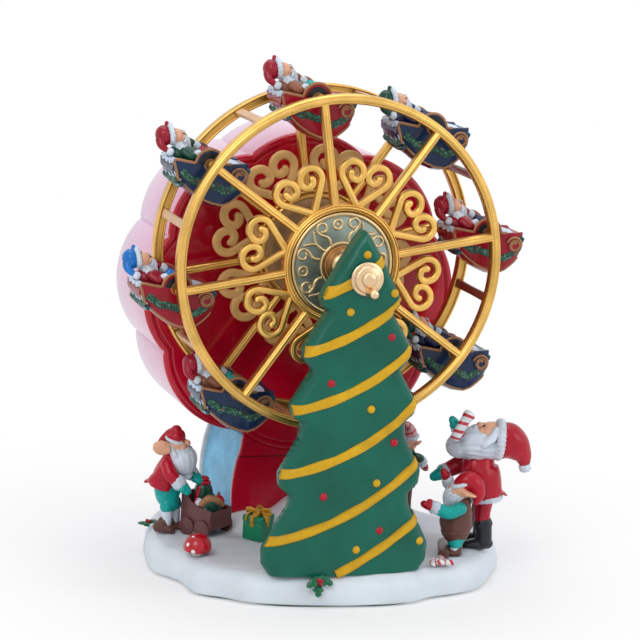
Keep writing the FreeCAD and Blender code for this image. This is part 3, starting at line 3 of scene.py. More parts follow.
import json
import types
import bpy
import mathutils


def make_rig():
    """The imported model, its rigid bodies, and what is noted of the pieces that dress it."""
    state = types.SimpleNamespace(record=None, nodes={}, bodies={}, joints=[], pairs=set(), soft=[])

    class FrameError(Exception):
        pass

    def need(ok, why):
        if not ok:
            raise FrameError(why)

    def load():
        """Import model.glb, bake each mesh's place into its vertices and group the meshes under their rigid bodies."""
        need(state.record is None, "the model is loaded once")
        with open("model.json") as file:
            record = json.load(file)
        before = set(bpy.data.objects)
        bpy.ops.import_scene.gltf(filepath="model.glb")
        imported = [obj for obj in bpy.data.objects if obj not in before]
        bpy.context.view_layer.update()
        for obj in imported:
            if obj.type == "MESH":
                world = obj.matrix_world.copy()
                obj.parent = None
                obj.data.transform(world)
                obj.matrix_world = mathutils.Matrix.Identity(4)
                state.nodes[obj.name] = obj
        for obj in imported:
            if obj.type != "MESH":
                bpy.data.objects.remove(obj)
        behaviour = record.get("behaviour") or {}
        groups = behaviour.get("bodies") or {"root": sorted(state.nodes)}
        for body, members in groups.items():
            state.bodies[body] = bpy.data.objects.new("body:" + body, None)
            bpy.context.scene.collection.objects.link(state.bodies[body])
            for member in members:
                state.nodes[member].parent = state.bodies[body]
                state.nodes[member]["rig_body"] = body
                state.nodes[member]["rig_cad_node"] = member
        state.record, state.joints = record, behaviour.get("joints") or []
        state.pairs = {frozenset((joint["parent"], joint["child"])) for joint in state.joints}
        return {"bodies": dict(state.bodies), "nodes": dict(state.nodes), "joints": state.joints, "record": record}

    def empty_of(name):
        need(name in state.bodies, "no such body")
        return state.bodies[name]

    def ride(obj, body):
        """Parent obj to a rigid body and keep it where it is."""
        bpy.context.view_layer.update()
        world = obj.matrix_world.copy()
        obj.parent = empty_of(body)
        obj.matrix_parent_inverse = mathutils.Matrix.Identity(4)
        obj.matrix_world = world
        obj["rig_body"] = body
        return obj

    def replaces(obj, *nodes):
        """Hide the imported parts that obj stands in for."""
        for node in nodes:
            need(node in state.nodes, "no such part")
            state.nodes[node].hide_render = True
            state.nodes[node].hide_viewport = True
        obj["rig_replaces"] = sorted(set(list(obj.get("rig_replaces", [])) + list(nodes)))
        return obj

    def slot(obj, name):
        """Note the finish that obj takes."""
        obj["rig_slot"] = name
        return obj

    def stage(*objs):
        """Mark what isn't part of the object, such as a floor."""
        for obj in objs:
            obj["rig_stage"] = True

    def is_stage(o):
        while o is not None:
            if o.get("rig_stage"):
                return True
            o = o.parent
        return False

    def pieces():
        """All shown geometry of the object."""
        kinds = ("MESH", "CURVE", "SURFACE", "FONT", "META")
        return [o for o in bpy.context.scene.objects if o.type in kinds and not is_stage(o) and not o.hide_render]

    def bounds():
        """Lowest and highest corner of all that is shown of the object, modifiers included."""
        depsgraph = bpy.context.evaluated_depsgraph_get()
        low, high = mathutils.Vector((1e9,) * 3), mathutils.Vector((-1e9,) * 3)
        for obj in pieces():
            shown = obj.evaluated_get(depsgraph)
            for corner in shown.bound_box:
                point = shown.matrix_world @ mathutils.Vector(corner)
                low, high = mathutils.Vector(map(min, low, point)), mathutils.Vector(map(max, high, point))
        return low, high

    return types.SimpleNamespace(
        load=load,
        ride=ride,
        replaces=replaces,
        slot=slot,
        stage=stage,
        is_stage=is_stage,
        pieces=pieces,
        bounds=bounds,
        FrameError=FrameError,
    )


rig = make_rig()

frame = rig.load()

import json
from math import cos, pi, radians, sin

import bmesh
import bpy
import numpy as np
from bpy.props import FloatProperty, FloatVectorProperty, IntProperty, PointerProperty
from bpy.types import Operator, Panel, PropertyGroup
from mathutils import Matrix

bl_info = {
    "name": "Musical Ferris Wheel",
    "version": (1, 0, 0),
    "blender": (4, 5, 0),
    "location": "3D View > Sidebar > Ferris Wheel",
    "description": "Builds the painted pieces of a wind-up musical ferris wheel",
    "category": "Object",
}

CAD_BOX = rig.bounds()

# Places and sizes that the solids have too, in millimetres and degrees
AXLE_HEIGHT = 140.0
SPOKES = 8
SECTOR = 360 / SPOKES
FIRST_SPOKE = 9.33
PIVOT_RADIUS = 69.85
HUB_RING = 24.25
DISC_RADIUS = 22.4
FRONT_WHEEL = -22.0
REAR_WHEEL = 15.7
MIDDLE_Y = (FRONT_WHEEL + REAR_WHEEL) / 2
BASE_TOP = 13.0
DRUM_HEIGHT = 117.4
LOBES = 8
LOBE_REACH = 33.5
LOBE_RADIUS = 38.0
DRUM_FACE = 28.35
DRUM_FLOOR = 31.0

# Where the figures and the cart stand on the snow: x, y and heading
CART_ELF = (-60.2, 23.0, 328)
CART = (-42.5, 17.0, 306)
TALL_FIGURE = (71.0, -19.0, 165)
APRON_ELF = (57.0, -31.0, 160)
PEEKING_ELF = (51.0, 17.0, 205)
TOADSTOOL = (-55.3, -15.0, 0)

# Directions, as a figure that looks along +X has them, and both sides
AHEAD, LEFT, RISE = (1, 0, 0), (0, 1, 0), (0, 0, 1)
FRONT = (0, -1, 0)
SIDES = (-1, 1)

# Paints of the figures, by their places in a piece's list
RED, WHITE, SKIN, TEAL, BROWN, BLACK, BLUE, GREEN, TAN, COPPER, PINK, NAVY = range(12)
FIGURE_PAINTS = ("red", "white", "skin", "teal", "brown", "black", "blue", "green", "tan", "copper", "pink")


# Settings that a user would change

def colour_setting(name, description, default):
    """A colour property with its default."""
    return FloatVectorProperty(name=name, description=description, default=default, size=3,
                               min=0.0, max=1.0, subtype="COLOR")


class FERRIS_PG_paints(PropertyGroup):
    """Colours of the paints."""

    drum_red: colour_setting("Drum red", "Lacquer on the drum's front", (0.52, 0.0, 0.022))
    drum_side: colour_setting("Drum side", "Lacquer on the drum's sides", (0.74, 0.30, 0.43))
    tree_green: colour_setting("Tree green", "Gloss paint on the tree", (0.0, 0.105, 0.068))
    garland_gold: colour_setting("Garland gold", "Flat paint on the garlands", (0.62, 0.345, 0.004))
    wheel_gold: colour_setting("Wheel gold", "Plating on the front casting", (0.80, 0.49, 0.135))
    band_gold: colour_setting("Band gold", "Matt paint on the rear scrolls", (0.74, 0.44, 0.16))
    bronze: colour_setting("Bronze", "Aged ground of the front disc", (0.34, 0.40, 0.36))
    snow: colour_setting("Snow", "Paint on the base", (0.66, 0.72, 0.77))
    coat_red: colour_setting("Coat red", "Paint on coats and hats", (0.42, 0.003, 0.020))
    teal: colour_setting("Teal", "Paint on mittens and trousers", (0.0, 0.36, 0.33))
    skin: colour_setting("Skin", "Paint on the faces", (0.72, 0.38, 0.24))
    beard: colour_setting("Beard", "Paint on beards and fur", (0.60, 0.66, 0.74))
    brown: colour_setting("Brown", "Paint on the cart and boots", (0.115, 0.045, 0.035))
    sleigh_blue: colour_setting("Sleigh blue", "Paint on every second sleigh", (0.008, 0.026, 0.080))
    sleigh_red: colour_setting("Sleigh red", "Paint on the other sleighs", (0.30, 0.003, 0.016))
    copper: colour_setting("Copper", "Trim lines on the sleighs", (0.34, 0.16, 0.075))


class FERRIS_PG_shapes(PropertyGroup):
    """Sizes that only the looks have."""

    snow_waves: FloatProperty(name="Snow waves", description="Height of the swells in the snow",
                              default=0.0005, min=0.0, max=0.002, unit="LENGTH")
    tree_edge: FloatProperty(name="Tree edge", description="Rounding of the tree's edge",
                             default=0.0042, min=0.001, max=0.006, unit="LENGTH")
    rib_groove: FloatProperty(name="Rib groove", description="Depth of the grooves in the gold rims",
                              default=0.00042, min=0.0, max=0.001, unit="LENGTH")
    garland_height: FloatProperty(name="Garland height", description="How far garlands stand proud",
                                  default=0.0009, min=0.0002, max=0.002, unit="LENGTH")
    beard_strands: IntProperty(name="Beard strands", description="Waves around each beard",
                               default=15, min=0, max=30)


def hue(name):
    """One of the scene's colours, by the name of its setting."""
    return tuple(getattr(bpy.context.scene.ferris_paints, name))


def shapes():
    """The scene's sizes."""
    return bpy.context.scene.ferris_shapes


# Materials

class Recipe:
    """Builds a material's nodes around one Principled shader."""

    def __init__(self, name):
        self.material = bpy.data.materials.new(name)
        self.material.use_nodes = True
        self.tree = self.material.node_tree
        self.shader = self.tree.nodes["Principled BSDF"]
        self.where = self.node("ShaderNodeTexCoord").outputs["Object"]

    def node(self, kind, **settings):
        """Add a node and set its properties."""
        made = self.tree.nodes.new(kind)
        for key, value in settings.items():
            setattr(made, key, value)
        return made

    def link(self, source, target):
        """Join two sockets."""
        self.tree.links.new(source, target)

    def noise(self, size, detail=3.0, roughness=0.55, source=None):
        """Noise whose features are about one size, in metres."""
        made = self.node("ShaderNodeTexNoise")
        made.inputs["Scale"].default_value = 1.0 / size
        made.inputs["Detail"].default_value = detail
        made.inputs["Roughness"].default_value = roughness
        self.link(source or self.where, made.inputs["Vector"])
        return made.outputs["Fac"]

    def ramp(self, factor, stops):
        """Colours along a factor."""
        made = self.node("ShaderNodeValToRGB")
        points = made.color_ramp.elements
        while len(points) < len(stops):
            points.new(0.5)
        for point, (place, shade) in zip(points, stops):
            point.position = place
            point.color = (*shade, 1.0)
        self.link(factor, made.inputs["Fac"])
        return made.outputs["Color"]

    def mix(self, factor, first, second, blend="MIX"):
        """Mix two colours by a factor."""
        made = self.node("ShaderNodeMix", data_type="RGBA", blend_type=blend)
        sockets = [made.inputs[i] for i in (0, 6, 7)]
        for socket, value in zip(sockets, (factor, first, second)):
            if isinstance(value, bpy.types.NodeSocket):
                self.link(value, socket)
            elif isinstance(value, (int, float)):
                socket.default_value = value
            else:
                socket.default_value = (*value, 1.0)
        return made.outputs[2]

    def math(self, operation, first, second=0.0, clamp=False):
        """One step of arithmetic."""
        made = self.node("ShaderNodeMath", operation=operation, use_clamp=clamp)
        for socket, value in zip(made.inputs, (first, second)):
            if isinstance(value, bpy.types.NodeSocket):
                self.link(value, socket)
            else:
                socket.default_value = value
        return made.outputs[0]

    def axis(self, name):
        """One object coordinate."""
        made = self.node("ShaderNodeSeparateXYZ")
        self.link(self.where, made.inputs[0])
        return made.outputs[name]

    def span(self, source, start=0.0, end=1.0, low=0.0, high=1.0, curve="LINEAR"):
        """A factor moved from the range start to end to the range low to high."""
        made = self.node("ShaderNodeMapRange", interpolation_type=curve)
        for name, value in (("From Min", start), ("From Max", end), ("To Min", low), ("To Max", high)):
            made.inputs[name].default_value = value
        self.link(source, made.inputs["Value"])
        return made.outputs["Result"]

    def mottle(self, colour, size, low, high, detail=3.0, first=0.3, last=0.7):
        """A colour that wanders between two brightnesses, in clouds of about one size."""
        return self.ramp(self.noise(size, detail), [(first, shade(colour, low)), (last, shade(colour, high))])

    def cells(self, scale):
        """Distance to the nearest of points scattered at a scale."""
        made = self.node("ShaderNodeTexVoronoi")
        made.inputs["Scale"].default_value = scale
        self.link(self.where, made.inputs["Vector"])
        return made.outputs["Distance"]

    def crevice(self, low, high):
        """One in hollows and nought on open faces and edges: the mask where painted shade darkens the paints."""
        return self.span(self.node("ShaderNodeNewGeometry").outputs["Pointiness"], low, high, 1.0, 0.0)

    def bump(self, height, distance, strength=1.0):
        """Raise the surface by a socket or by a noise of size and detail."""
        height = self.noise(*height) if isinstance(height, tuple) else height
        made = self.node("ShaderNodeBump")
        made.inputs["Strength"].default_value = strength
        made.inputs["Distance"].default_value = distance
        self.link(height, made.inputs["Height"])
        self.link(made.outputs["Normal"], self.shader.inputs["Normal"])

    def set(self, **values):
        """Constant shader values, by socket name with underscores."""
        for key, value in values.items():
            self.shader.inputs[key.replace("_", " ")].default_value = value
        return self

    def colour(self, source):
        """What the base colour comes from."""
        self.link(source, self.shader.inputs["Base Color"])

    def roughness(self, source, low, high):
        """Roughness that wanders between two values with a socket or a noise of size and detail."""
        source = self.noise(*source) if isinstance(source, tuple) else source
        self.link(self.span(source, low=low, high=high), self.shader.inputs["Roughness"])


def shade(colour, factor):
    """A darker or lighter version of a colour."""
    return tuple(min(1.0, c * factor) for c in colour)


_made = {}


def once(build):
    """Keep one copy of each material."""
    def wrapped(*args, **options):
        key = (build.__name__, tuple(str(a) for a in args), tuple(sorted(options.items())))
        if key not in _made:
            _made[key] = build(*args, **options)
        return _made[key]
    return wrapped


@once
def resin_paint(name, colour, gloss=0.32, wash=0.45, patch=0.012):
    """Brush-painted resin: uneven coverage, painted shade that darkens the hollows, and a soft brush texture."""
    recipe = Recipe(name).set(IOR=1.30, Coat_Weight=0.18, Coat_Roughness=0.12)
    # Painted shade: the crevice mask darkens the colour in the hollows to a share of itself, as if shade fell there.
    recipe.colour(recipe.mix(recipe.crevice(0.42, 0.50), recipe.mottle(colour, patch, 0.82, 1.12),
                             shade(colour, wash)))
    recipe.roughness((0.004, 3.0), gloss - 0.07, gloss + 0.12)
    recipe.bump((0.0016, 4.0), 0.00012, 0.5)
    return recipe.material


@once
def gold_plate(name, colour, rough=0.33, dark=0.45):
    """Plated gold with painted shade: its hollows are darkened to a warm brown."""
    recipe = Recipe(name).set(Metallic=1.0)
    tone = recipe.mottle(colour, 0.010, 0.80, 1.12, first=0.25, last=0.75)
    fleck = recipe.ramp(recipe.noise(0.0011, detail=5.0), [(0.36, (0.72, 0.62, 0.50)), (0.52, (1, 1, 1))])
    worn = recipe.mix(0.20, tone, recipe.mix(1.0, tone, fleck, "MULTIPLY"))
    # Painted shade: a darker, browner gold that the crevice mask lays into the hollows.
    wash = (colour[0] * dark, colour[1] * dark * 0.80, colour[2] * dark * 0.6)
    recipe.colour(recipe.mix(recipe.crevice(0.41, 0.49), worn, wash))
    recipe.roughness((0.005, 3.0), rough - 0.05, rough + 0.10)
    recipe.bump((0.0040, 2.0), 0.00006, 0.4)
    return recipe.material


@once
def matt_band_gold(name, colour):
    """Flat tan-gold paint of the rear scrolls, with painted shade in the hollows."""
    recipe = Recipe(name).set(Metallic=0.2)
    tone = recipe.mottle(colour, 0.007, 0.85, 1.12, 4.0, last=0.72)
    # Painted shade: the hollows darken to about a third of the colour.
    recipe.colour(recipe.mix(recipe.crevice(0.43, 0.50), tone, shade(colour, 0.35)))
    recipe.roughness((0.004, 3.0), 0.38, 0.58)
    recipe.bump((0.0012, 4.0), 0.00012, 0.5)
    return recipe.material


@once
def drum_lacquer(name, colour, streak):
    """Deep lacquer with faint polishing streaks and smears."""
    recipe = Recipe(name).set(IOR=1.36, Coat_Weight=0.30, Coat_Roughness=0.05)
    tone = recipe.mottle(colour, 0.030, 0.82, 1.15, 2.0, last=0.75)
    stretch = recipe.node("ShaderNodeMapping")
    stretch.inputs["Scale"].default_value = (1.0, 1.0, 0.12)
    stretch.inputs["Rotation"].default_value = (0.0, radians(35), 0.0)
    recipe.link(recipe.where, stretch.inputs["Vector"])
    smear = recipe.noise(0.004, detail=5.0, source=stretch.outputs["Vector"])
    mask = recipe.ramp(smear, [(0.60, (0, 0, 0)), (0.74, (1, 1, 1))])
    recipe.colour(recipe.mix(recipe.math("MULTIPLY", mask, 0.20), tone, streak))
    recipe.roughness(smear, 0.14, 0.34)
    recipe.bump((0.012, 2.0), 0.00025, 0.25)
    return recipe.material


@once
def drum_side(name, colour):
    """Lacquer of the drum's sides: pink by the front, with painted light that pales it to pearly white behind."""
    recipe = Recipe(name).set(IOR=1.38, Coat_Weight=0.25, Coat_Roughness=0.10)
    # Painted light: the side lightens from pink towards near white at the back, standing in for the bright light that
    # washes it.
    fade = recipe.ramp(recipe.span(recipe.axis("Y"), 0.028, 0.078), [
        (0.0, colour), (0.3, (0.74, 0.38, 0.54)), (0.75, (0.76, 0.50, 0.65)), (1.0, (0.76, 0.60, 0.70))])
    cloud = recipe.ramp(recipe.noise(0.020, detail=2.0), [(0.3, (0.92, 0.90, 0.92)), (0.7, (1, 1, 1))])
    recipe.colour(recipe.mix(1.0, fade, cloud, "MULTIPLY"))
    recipe.roughness((0.008, 4.0), 0.16, 0.34)
    recipe.bump((0.012, 2.0), 0.0002, 0.25)
    return recipe.material


@once
def tree_gloss(name, colour):
    """Green gloss enamel with painted shade in its hollows, and a soft orange-peel."""
    recipe = Recipe(name).set(IOR=1.31, Coat_Weight=0.15, Coat_Roughness=0.07)
    # Painted shade: the hollows are darkened towards a third of the green.
    hollow = recipe.math("MULTIPLY", recipe.crevice(0.44, 0.50), 0.6)
    recipe.colour(recipe.mix(hollow, recipe.mottle(colour, 0.022, 0.82, 1.15), shade(colour, 0.35)))
    recipe.roughness((0.006, 3.0), 0.24, 0.40)
    recipe.bump((0.0030, 3.0), 0.00016, 0.35)
    return recipe.material


@once
def snow_paint(name, colour):
    """Cast snow: cool white in soft clouds, sparse darker specks and fine grain."""
    recipe = Recipe(name).set(IOR=1.4, Subsurface_Weight=0.12, Subsurface_Scale=0.002)
    recipe.shader.inputs["Subsurface Radius"].default_value = (0.8, 0.9, 1.0)
    tone = recipe.mottle(colour, 0.028, 0.90, 1.10, 4.0, first=0.25)
    speck = recipe.ramp(recipe.noise(0.0013, detail=6.0, roughness=0.7),
                        [(0.66, (0, 0, 0)), (0.74, (1, 1, 1))])
    recipe.colour(recipe.mix(recipe.math("MULTIPLY", speck, 0.5), tone, shade(colour, 0.72)))
    recipe.roughness((0.0010, 2.0), 0.30, 0.62)
    recipe.bump((0.0035, 6.0, 0.6), 0.00045, 0.55)
    return recipe.material


@once
def pebbled_resin(name, colour):
    """Pale blue side of the pedestal with fine hammered dimples, and painted shade in each dimple."""
    recipe = Recipe(name)
    dimple = recipe.cells(900.0)
    # Painted shade: the middle of each dimple is tinted a darker blue, as if shade lay in it.
    dimple_shade = recipe.ramp(dimple, [(0.1, (0.40, 0.60, 0.75)), (0.42, (1, 1, 1))])
    recipe.colour(recipe.mix(0.8, recipe.mottle(colour, 0.009, 0.78, 1.15, 5.0, last=0.68), dimple_shade, "MULTIPLY"))
    recipe.roughness((0.003, 3.0), 0.35, 0.55)
    recipe.bump(dimple, 0.0004, 0.6)
    return recipe.material


@once
def seamed_lacquer(name, colour, seam_height):
    """Pedestal's front lacquer with one dark seam across it."""
    recipe = Recipe(name).set(IOR=1.40, Coat_Weight=0.35, Coat_Roughness=0.05)
    tone = recipe.mottle(colour, 0.024, 0.75, 1.15, 2.0, last=0.75)
    off = recipe.math("ABSOLUTE", recipe.math("SUBTRACT", recipe.axis("Z"), seam_height))
    seam = recipe.math("LESS_THAN", off, 0.00028)
    recipe.colour(recipe.mix(recipe.math("MULTIPLY", seam, 0.8), tone, shade(colour, 0.15)))
    recipe.roughness((0.006, 4.0), 0.16, 0.32)
    recipe.bump(recipe.math("MULTIPLY", seam, -1.0), 0.0003, 0.8)
    return recipe.material


@once
def bar_with_painted_shade(name, lit_tan, dull):
    """Paint of the bars: light tan on one side of the wheel, turned brownish red on the other by painted shade and a
    painted reflection of the red drum.
    """
    recipe = Recipe(name).set(IOR=1.4, Coat_Weight=0.2, Coat_Roughness=0.15)
    # Painted shade and painted reflection: the tan darkens to brownish red along the wheel's X, where the bars sit in
    # shade beside the red drum.
    tone = recipe.ramp(recipe.span(recipe.axis("X"), -0.03, 0.06), [(0.0, lit_tan), (1.0, dull)])
    cover = recipe.ramp(recipe.noise(0.008), [(0.3, (0.82, 0.80, 0.78)), (0.7, (1, 1, 1))])
    recipe.colour(recipe.mix(1.0, tone, cover, "MULTIPLY"))
    recipe.roughness((0.004, 3.0), 0.24, 0.42)
    recipe.bump((0.003, 3.0), 0.0001, 0.4)
    return recipe.material


@once
def turned_metal(name, colour, rough=0.28, axis="Z"):
    """Turned or rolled metal with fine lines along the lathe's feed."""
    recipe = Recipe(name).set(Metallic=1.0)
    lines = recipe.node("ShaderNodeTexWave", wave_type="BANDS", bands_direction=axis)
    lines.inputs["Scale"].default_value = 900.0
    lines.inputs["Distortion"].default_value = 1.5
    recipe.link(recipe.where, lines.inputs["Vector"])
    recipe.colour(recipe.mottle(colour, 0.006, 0.80, 1.10, 4.0))
    recipe.roughness((0.004, 3.0), rough - 0.05, rough + 0.14)
    recipe.bump(lines.outputs["Fac"], 0.00004, 0.4)
    return recipe.material


@once
def felt_cloth(name, colour):
    """Dense felt with short fibres."""
    recipe = Recipe(name).set(Sheen_Weight=0.5, Sheen_Roughness=0.6)
    fibre = recipe.noise(0.0009, detail=8.0, roughness=0.75)
    recipe.colour(recipe.ramp(fibre, [(0.3, shade(colour, 0.55)), (0.7, shade(colour, 1.4))]))
    recipe.roughness(fibre, 0.85, 1.0)
    recipe.bump(fibre, 0.0004, 0.8)
    return recipe.material


@once
def striped_paint(name, first, second, turns):
    """Slanting stripes that follow the piece's own length and girth."""
    recipe = Recipe(name).set(IOR=1.48, Coat_Weight=0.4, Coat_Roughness=0.12)
    own = recipe.node("ShaderNodeUVMap", uv_map="along").outputs["UV"]
    split = recipe.node("ShaderNodeSeparateXYZ")
    recipe.link(own, split.inputs[0])
    slant = recipe.math("ADD", recipe.math("MULTIPLY", split.outputs["X"], turns), split.outputs["Y"])
    band = recipe.math("GREATER_THAN", recipe.math("FRACT", slant), 0.62)
    smudge = recipe.ramp(recipe.noise(0.004), [(0.3, (0.85, 0.85, 0.85)), (0.7, (1, 1, 1))])
    recipe.colour(recipe.mix(1.0, recipe.mix(band, first, second), smudge, "MULTIPLY"))
    recipe.roughness((0.003, 3.0), 0.22, 0.38)
    recipe.bump((0.0012, 3.0), 0.00010, 0.4)
    return recipe.material


@once
def dotted_cap(name, colour, dot):
    """Gloss of the toadstool's cap, with scattered dots."""
    recipe = Recipe(name).set(IOR=1.36, Coat_Weight=0.35, Coat_Roughness=0.06)
    spot = recipe.math("LESS_THAN", recipe.cells(230.0), 0.21)
    recipe.colour(recipe.mix(spot, recipe.mottle(colour, 0.006, 0.8, 1.1), dot))
    recipe.roughness((0.003, 3.0), 0.16, 0.30)
    recipe.bump(spot, 0.00015, 0.5)
    return recipe.material


@once
def garland_speckle(name, colour):
    """Dark green leaves with pale and copper flecks."""
    recipe = Recipe(name)
    fleck = recipe.noise(0.0012, detail=4.0, roughness=0.7)
    recipe.colour(recipe.ramp(fleck, [(0.36, shade(colour, 0.5)), (0.52, colour),
                                      (0.62, (0.10, 0.30, 0.22)), (0.70, (0.35, 0.32, 0.22))]))
    recipe.roughness(fleck, 0.35, 0.6)
    recipe.bump(fleck, 0.0006, 0.9)
    return recipe.material


# Surfaces, in millimetres

def skin(grid, wrap_rows=False, wrap_columns=True, paint=0, ends=True, tips=(None, None)):
    """Quads over a grid: rows run along the shape, columns around it. An open end row is closed by a
    fan to its mean point, or to the tip that is given."""
    grid = np.asarray(grid, float)
    rows, columns = grid.shape[:2]
    index = np.arange(rows * columns).reshape(rows, columns)
    here = index if wrap_rows else index[:-1]
    after = np.roll(index, -1, axis=0) if wrap_rows else index[1:]
    if wrap_columns:
        corners = [here, np.roll(here, -1, axis=1), np.roll(after, -1, axis=1), after]
    else:
        corners = [here[:, :-1], here[:, 1:], after[:, 1:], after[:, :-1]]
    quads = np.stack(corners, axis=-1)
    shape = quads.shape[:2]
    row, column = np.meshgrid(np.arange(shape[0]), np.arange(shape[1]), indexing="ij")
    steps = np.array([(0, 0), (0, 1), (1, 1), (1, 0)])
    along = (row[..., None] + steps[:, 0]) / max(1, shape[0])
    around = (column[..., None] + steps[:, 1]) / max(1, shape[1])
    uv = np.stack([along, around], axis=-1).reshape(-1, 4, 2)
    tint = np.broadcast_to(paint, shape).reshape(-1)
    points, fans, fan_uv, fan_tint = [grid.reshape(-1, 3)], [], [], []
    total = rows * columns
    if wrap_columns and not wrap_rows and ends:
        for end, (edge, tip, mark) in enumerate(((index[0], tips[0], tint[0]), (index[-1], tips[1], tint[-1]))):
            middle = points[0][edge].mean(axis=0) if tip is None else np.asarray(tip, float)
            points.append(middle[None])
            fans.append(np.stack([np.full(columns, total), edge, np.roll(edge, -1)], axis=-1))
            total += 1
            fan_uv.append(np.full((columns, 3, 2), float(end)))
            fan_tint.append(np.full(columns, mark))
    empty = np.zeros((0, 3), int)
    return {
        "points": np.vstack(points),
        "quads": quads.reshape(-1, 4), "quad_uv": uv, "quad_paint": tint,
        "fans": np.vstack(fans) if fans else empty,
        "fan_uv": np.vstack(fan_uv) if fans else np.zeros((0, 3, 2)),
        "fan_paint": np.concatenate(fan_tint) if fans else np.zeros(0, int),
    }


def moved(skins, turn=None, shift=(0.0, 0.0, 0.0)):
    """Copies of skins, turned by a 3 by 3 matrix and shifted."""
    turn = np.eye(3) if turn is None else turn
    return [{**one, "points": one["points"] @ np.asarray(turn).T + np.asarray(shift)} for one in skins]


def yaw(angle):
    """A turn about the upright axis."""
    a = radians(angle)
    return np.array([[cos(a), -sin(a), 0], [sin(a), cos(a), 0], [0, 0, 1.0]])


def spin_y(angle):
    """A turn in the plane of the wheel, from +X towards +Z."""
    a = radians(angle)
    return np.array([[cos(a), 0, -sin(a)], [0, 1.0, 0], [sin(a), 0, cos(a)]])


def spline(points, count):
    """Cubic curve through the points, whose slope at each is half the step between its neighbours."""
    p = np.asarray(points, float)
    p = np.vstack([2 * p[0] - p[1], p, 2 * p[-1] - p[-2]])
    spans = len(p) - 3
    t = np.linspace(0, spans, count)
    i = np.minimum(t.astype(int), spans - 1)
    f = (t - i)[:, None]
    a, b, c, d = p[i], p[i + 1], p[i + 2], p[i + 3]
    return b + 0.5 * f * (c - a + f * (2 * a - 5 * b + 4 * c - d + f * (3 * (b - c) + d - a)))


def unit(vectors):
    """Vectors of length one."""
    return vectors / np.maximum(np.linalg.norm(vectors, axis=-1, keepdims=True), 1e-12)


def path_frames(path, up, closed=False):
    """Along, side and rise directions at each point of a path; side is along x up."""
    if closed:
        along = np.roll(path, -1, axis=0) - np.roll(path, 1, axis=0)
    else:
        along = np.gradient(path, axis=0)
    along = unit(along)
    side = unit(np.cross(along, up))
    return along, side, np.cross(side, along)


def sweep(path, section, up, closed=False, paint=0, tips=(None, None), ends=True):
    """A closed section carried along a path: point = path + across * side + out * rise."""
    _, side, rise = path_frames(path, np.asarray(up, float), closed)
    section = np.broadcast_to(section, (len(path), *np.shape(section)[-2:]))
    grid = path[:, None] + section[..., :1] * side[:, None] + section[..., 1:] * rise[:, None]
    return skin(grid, wrap_rows=closed, paint=paint, tips=tips, ends=ends)


def limb(stations, paint=0, rings=16, sides=16, up=None, blunt=(0.9, 0.9), strands=0, depth=0.0,
         square=1.0):
    """A rounded body through stations of x, y, z, half width and half depth, or of x, y, z and one
    radius. Its ends are quarter ellipses, and strands waves of a relative depth run around it."""
    data = spline([(*one, one[-1])[:5] for one in stations], rings)
    path, radii = data[:, :3], np.maximum(data[:, 3:5], 0.02)
    if up is None:
        drift = np.abs(path[-1] - path[0])
        up = np.eye(3)[2 if drift[2] < 0.8 * max(drift[0], drift[1]) else 0]
    along, side, rise = path_frames(path, np.asarray(up, float))
    steps = np.radians([72.0, 50.0, 28.0, 10.0])
    rows = []
    for bend in steps:
        push = -along[0] * radii[0].max() * blunt[0] * sin(bend)
        rows.append((path[0] + push, radii[0] * cos(bend), side[0], rise[0]))
    rows += list(zip(path, radii, side, rise))
    for bend in steps[::-1]:
        push = along[-1] * radii[-1].max() * blunt[1] * sin(bend)
        rows.append((path[-1] + push, radii[-1] * cos(bend), side[-1], rise[-1]))
    centre, size, across, out = (np.array(part) for part in zip(*rows))
    angle = np.linspace(0, 2 * pi, sides, endpoint=False)
    c, s = np.cos(angle), np.sin(angle)
    c, s = np.sign(c) * np.abs(c) ** square, np.sign(s) * np.abs(s) ** square
    wave = 1 + depth * np.sin(strands * angle[None] + np.linspace(0, 5, len(centre))[:, None]
                              + 0.7 * np.sin(3 * angle)[None])
    grid = (centre[:, None] + (size[:, :1] * wave * c)[..., None] * across[:, None]
            + (size[:, 1:] * wave * s)[..., None] * out[:, None])
    tips = (path[0] - along[0] * radii[0].max() * blunt[0], path[-1] + along[-1] * radii[-1].max() * blunt[1])
    return skin(grid, paint=paint, tips=tips)


def ball(centre, radii, paint=0, turn=None, rings=14, sides=20, lumps=0, depth=0.0):
    """An ellipsoid, with optional waves: radius = 1 + depth * sin(lumps * longitude) * sin(lumps * latitude)."""
    radii = np.broadcast_to(np.asarray(radii, float), 3)
    lat = np.linspace(-pi / 2, pi / 2, rings + 2)[1:-1, None]
    lon = np.linspace(0, 2 * pi, sides, endpoint=False)[None]
    grow = 1 + depth * np.sin(lumps * lon) * np.sin(lumps * lat + 0.5)
    grid = np.stack([np.cos(lat) * np.cos(lon) * grow, np.cos(lat) * np.sin(lon) * grow,
                     np.sin(lat) * grow], axis=-1) * radii
    poles = np.array([[0, 0, -radii[2]], [0, 0, radii[2]]])
    turn = np.eye(3) if turn is None else np.asarray(turn)
    grid, poles = grid @ turn.T + centre, poles @ turn.T + centre
    return skin(grid, paint=paint, tips=tuple(poles))


def circle_path(centre, normal, radius, count):
    """Points of a circle about a normal."""
    normal = unit(np.asarray(normal, float))
    first = unit(np.cross(normal, [0.0, 0.0, 1.0] if abs(normal[2]) < 0.9 else [1.0, 0.0, 0.0]))
    second = np.cross(normal, first)
    angle = np.radians(np.linspace(0.0, 360.0, count, endpoint=False))[:, None]
    return np.asarray(centre, float) + radius * (np.cos(angle) * first + np.sin(angle) * second)


def round_section(half_width, half_height, sides=14, square=1.0):
    """A superellipse section."""
    a = np.linspace(0, 2 * pi, sides, endpoint=False)
    c, s = np.cos(a), np.sin(a)
    return np.stack([half_width * np.sign(c) * np.abs(c) ** square,
                     half_height * np.sign(s) * np.abs(s) ** square], axis=-1)


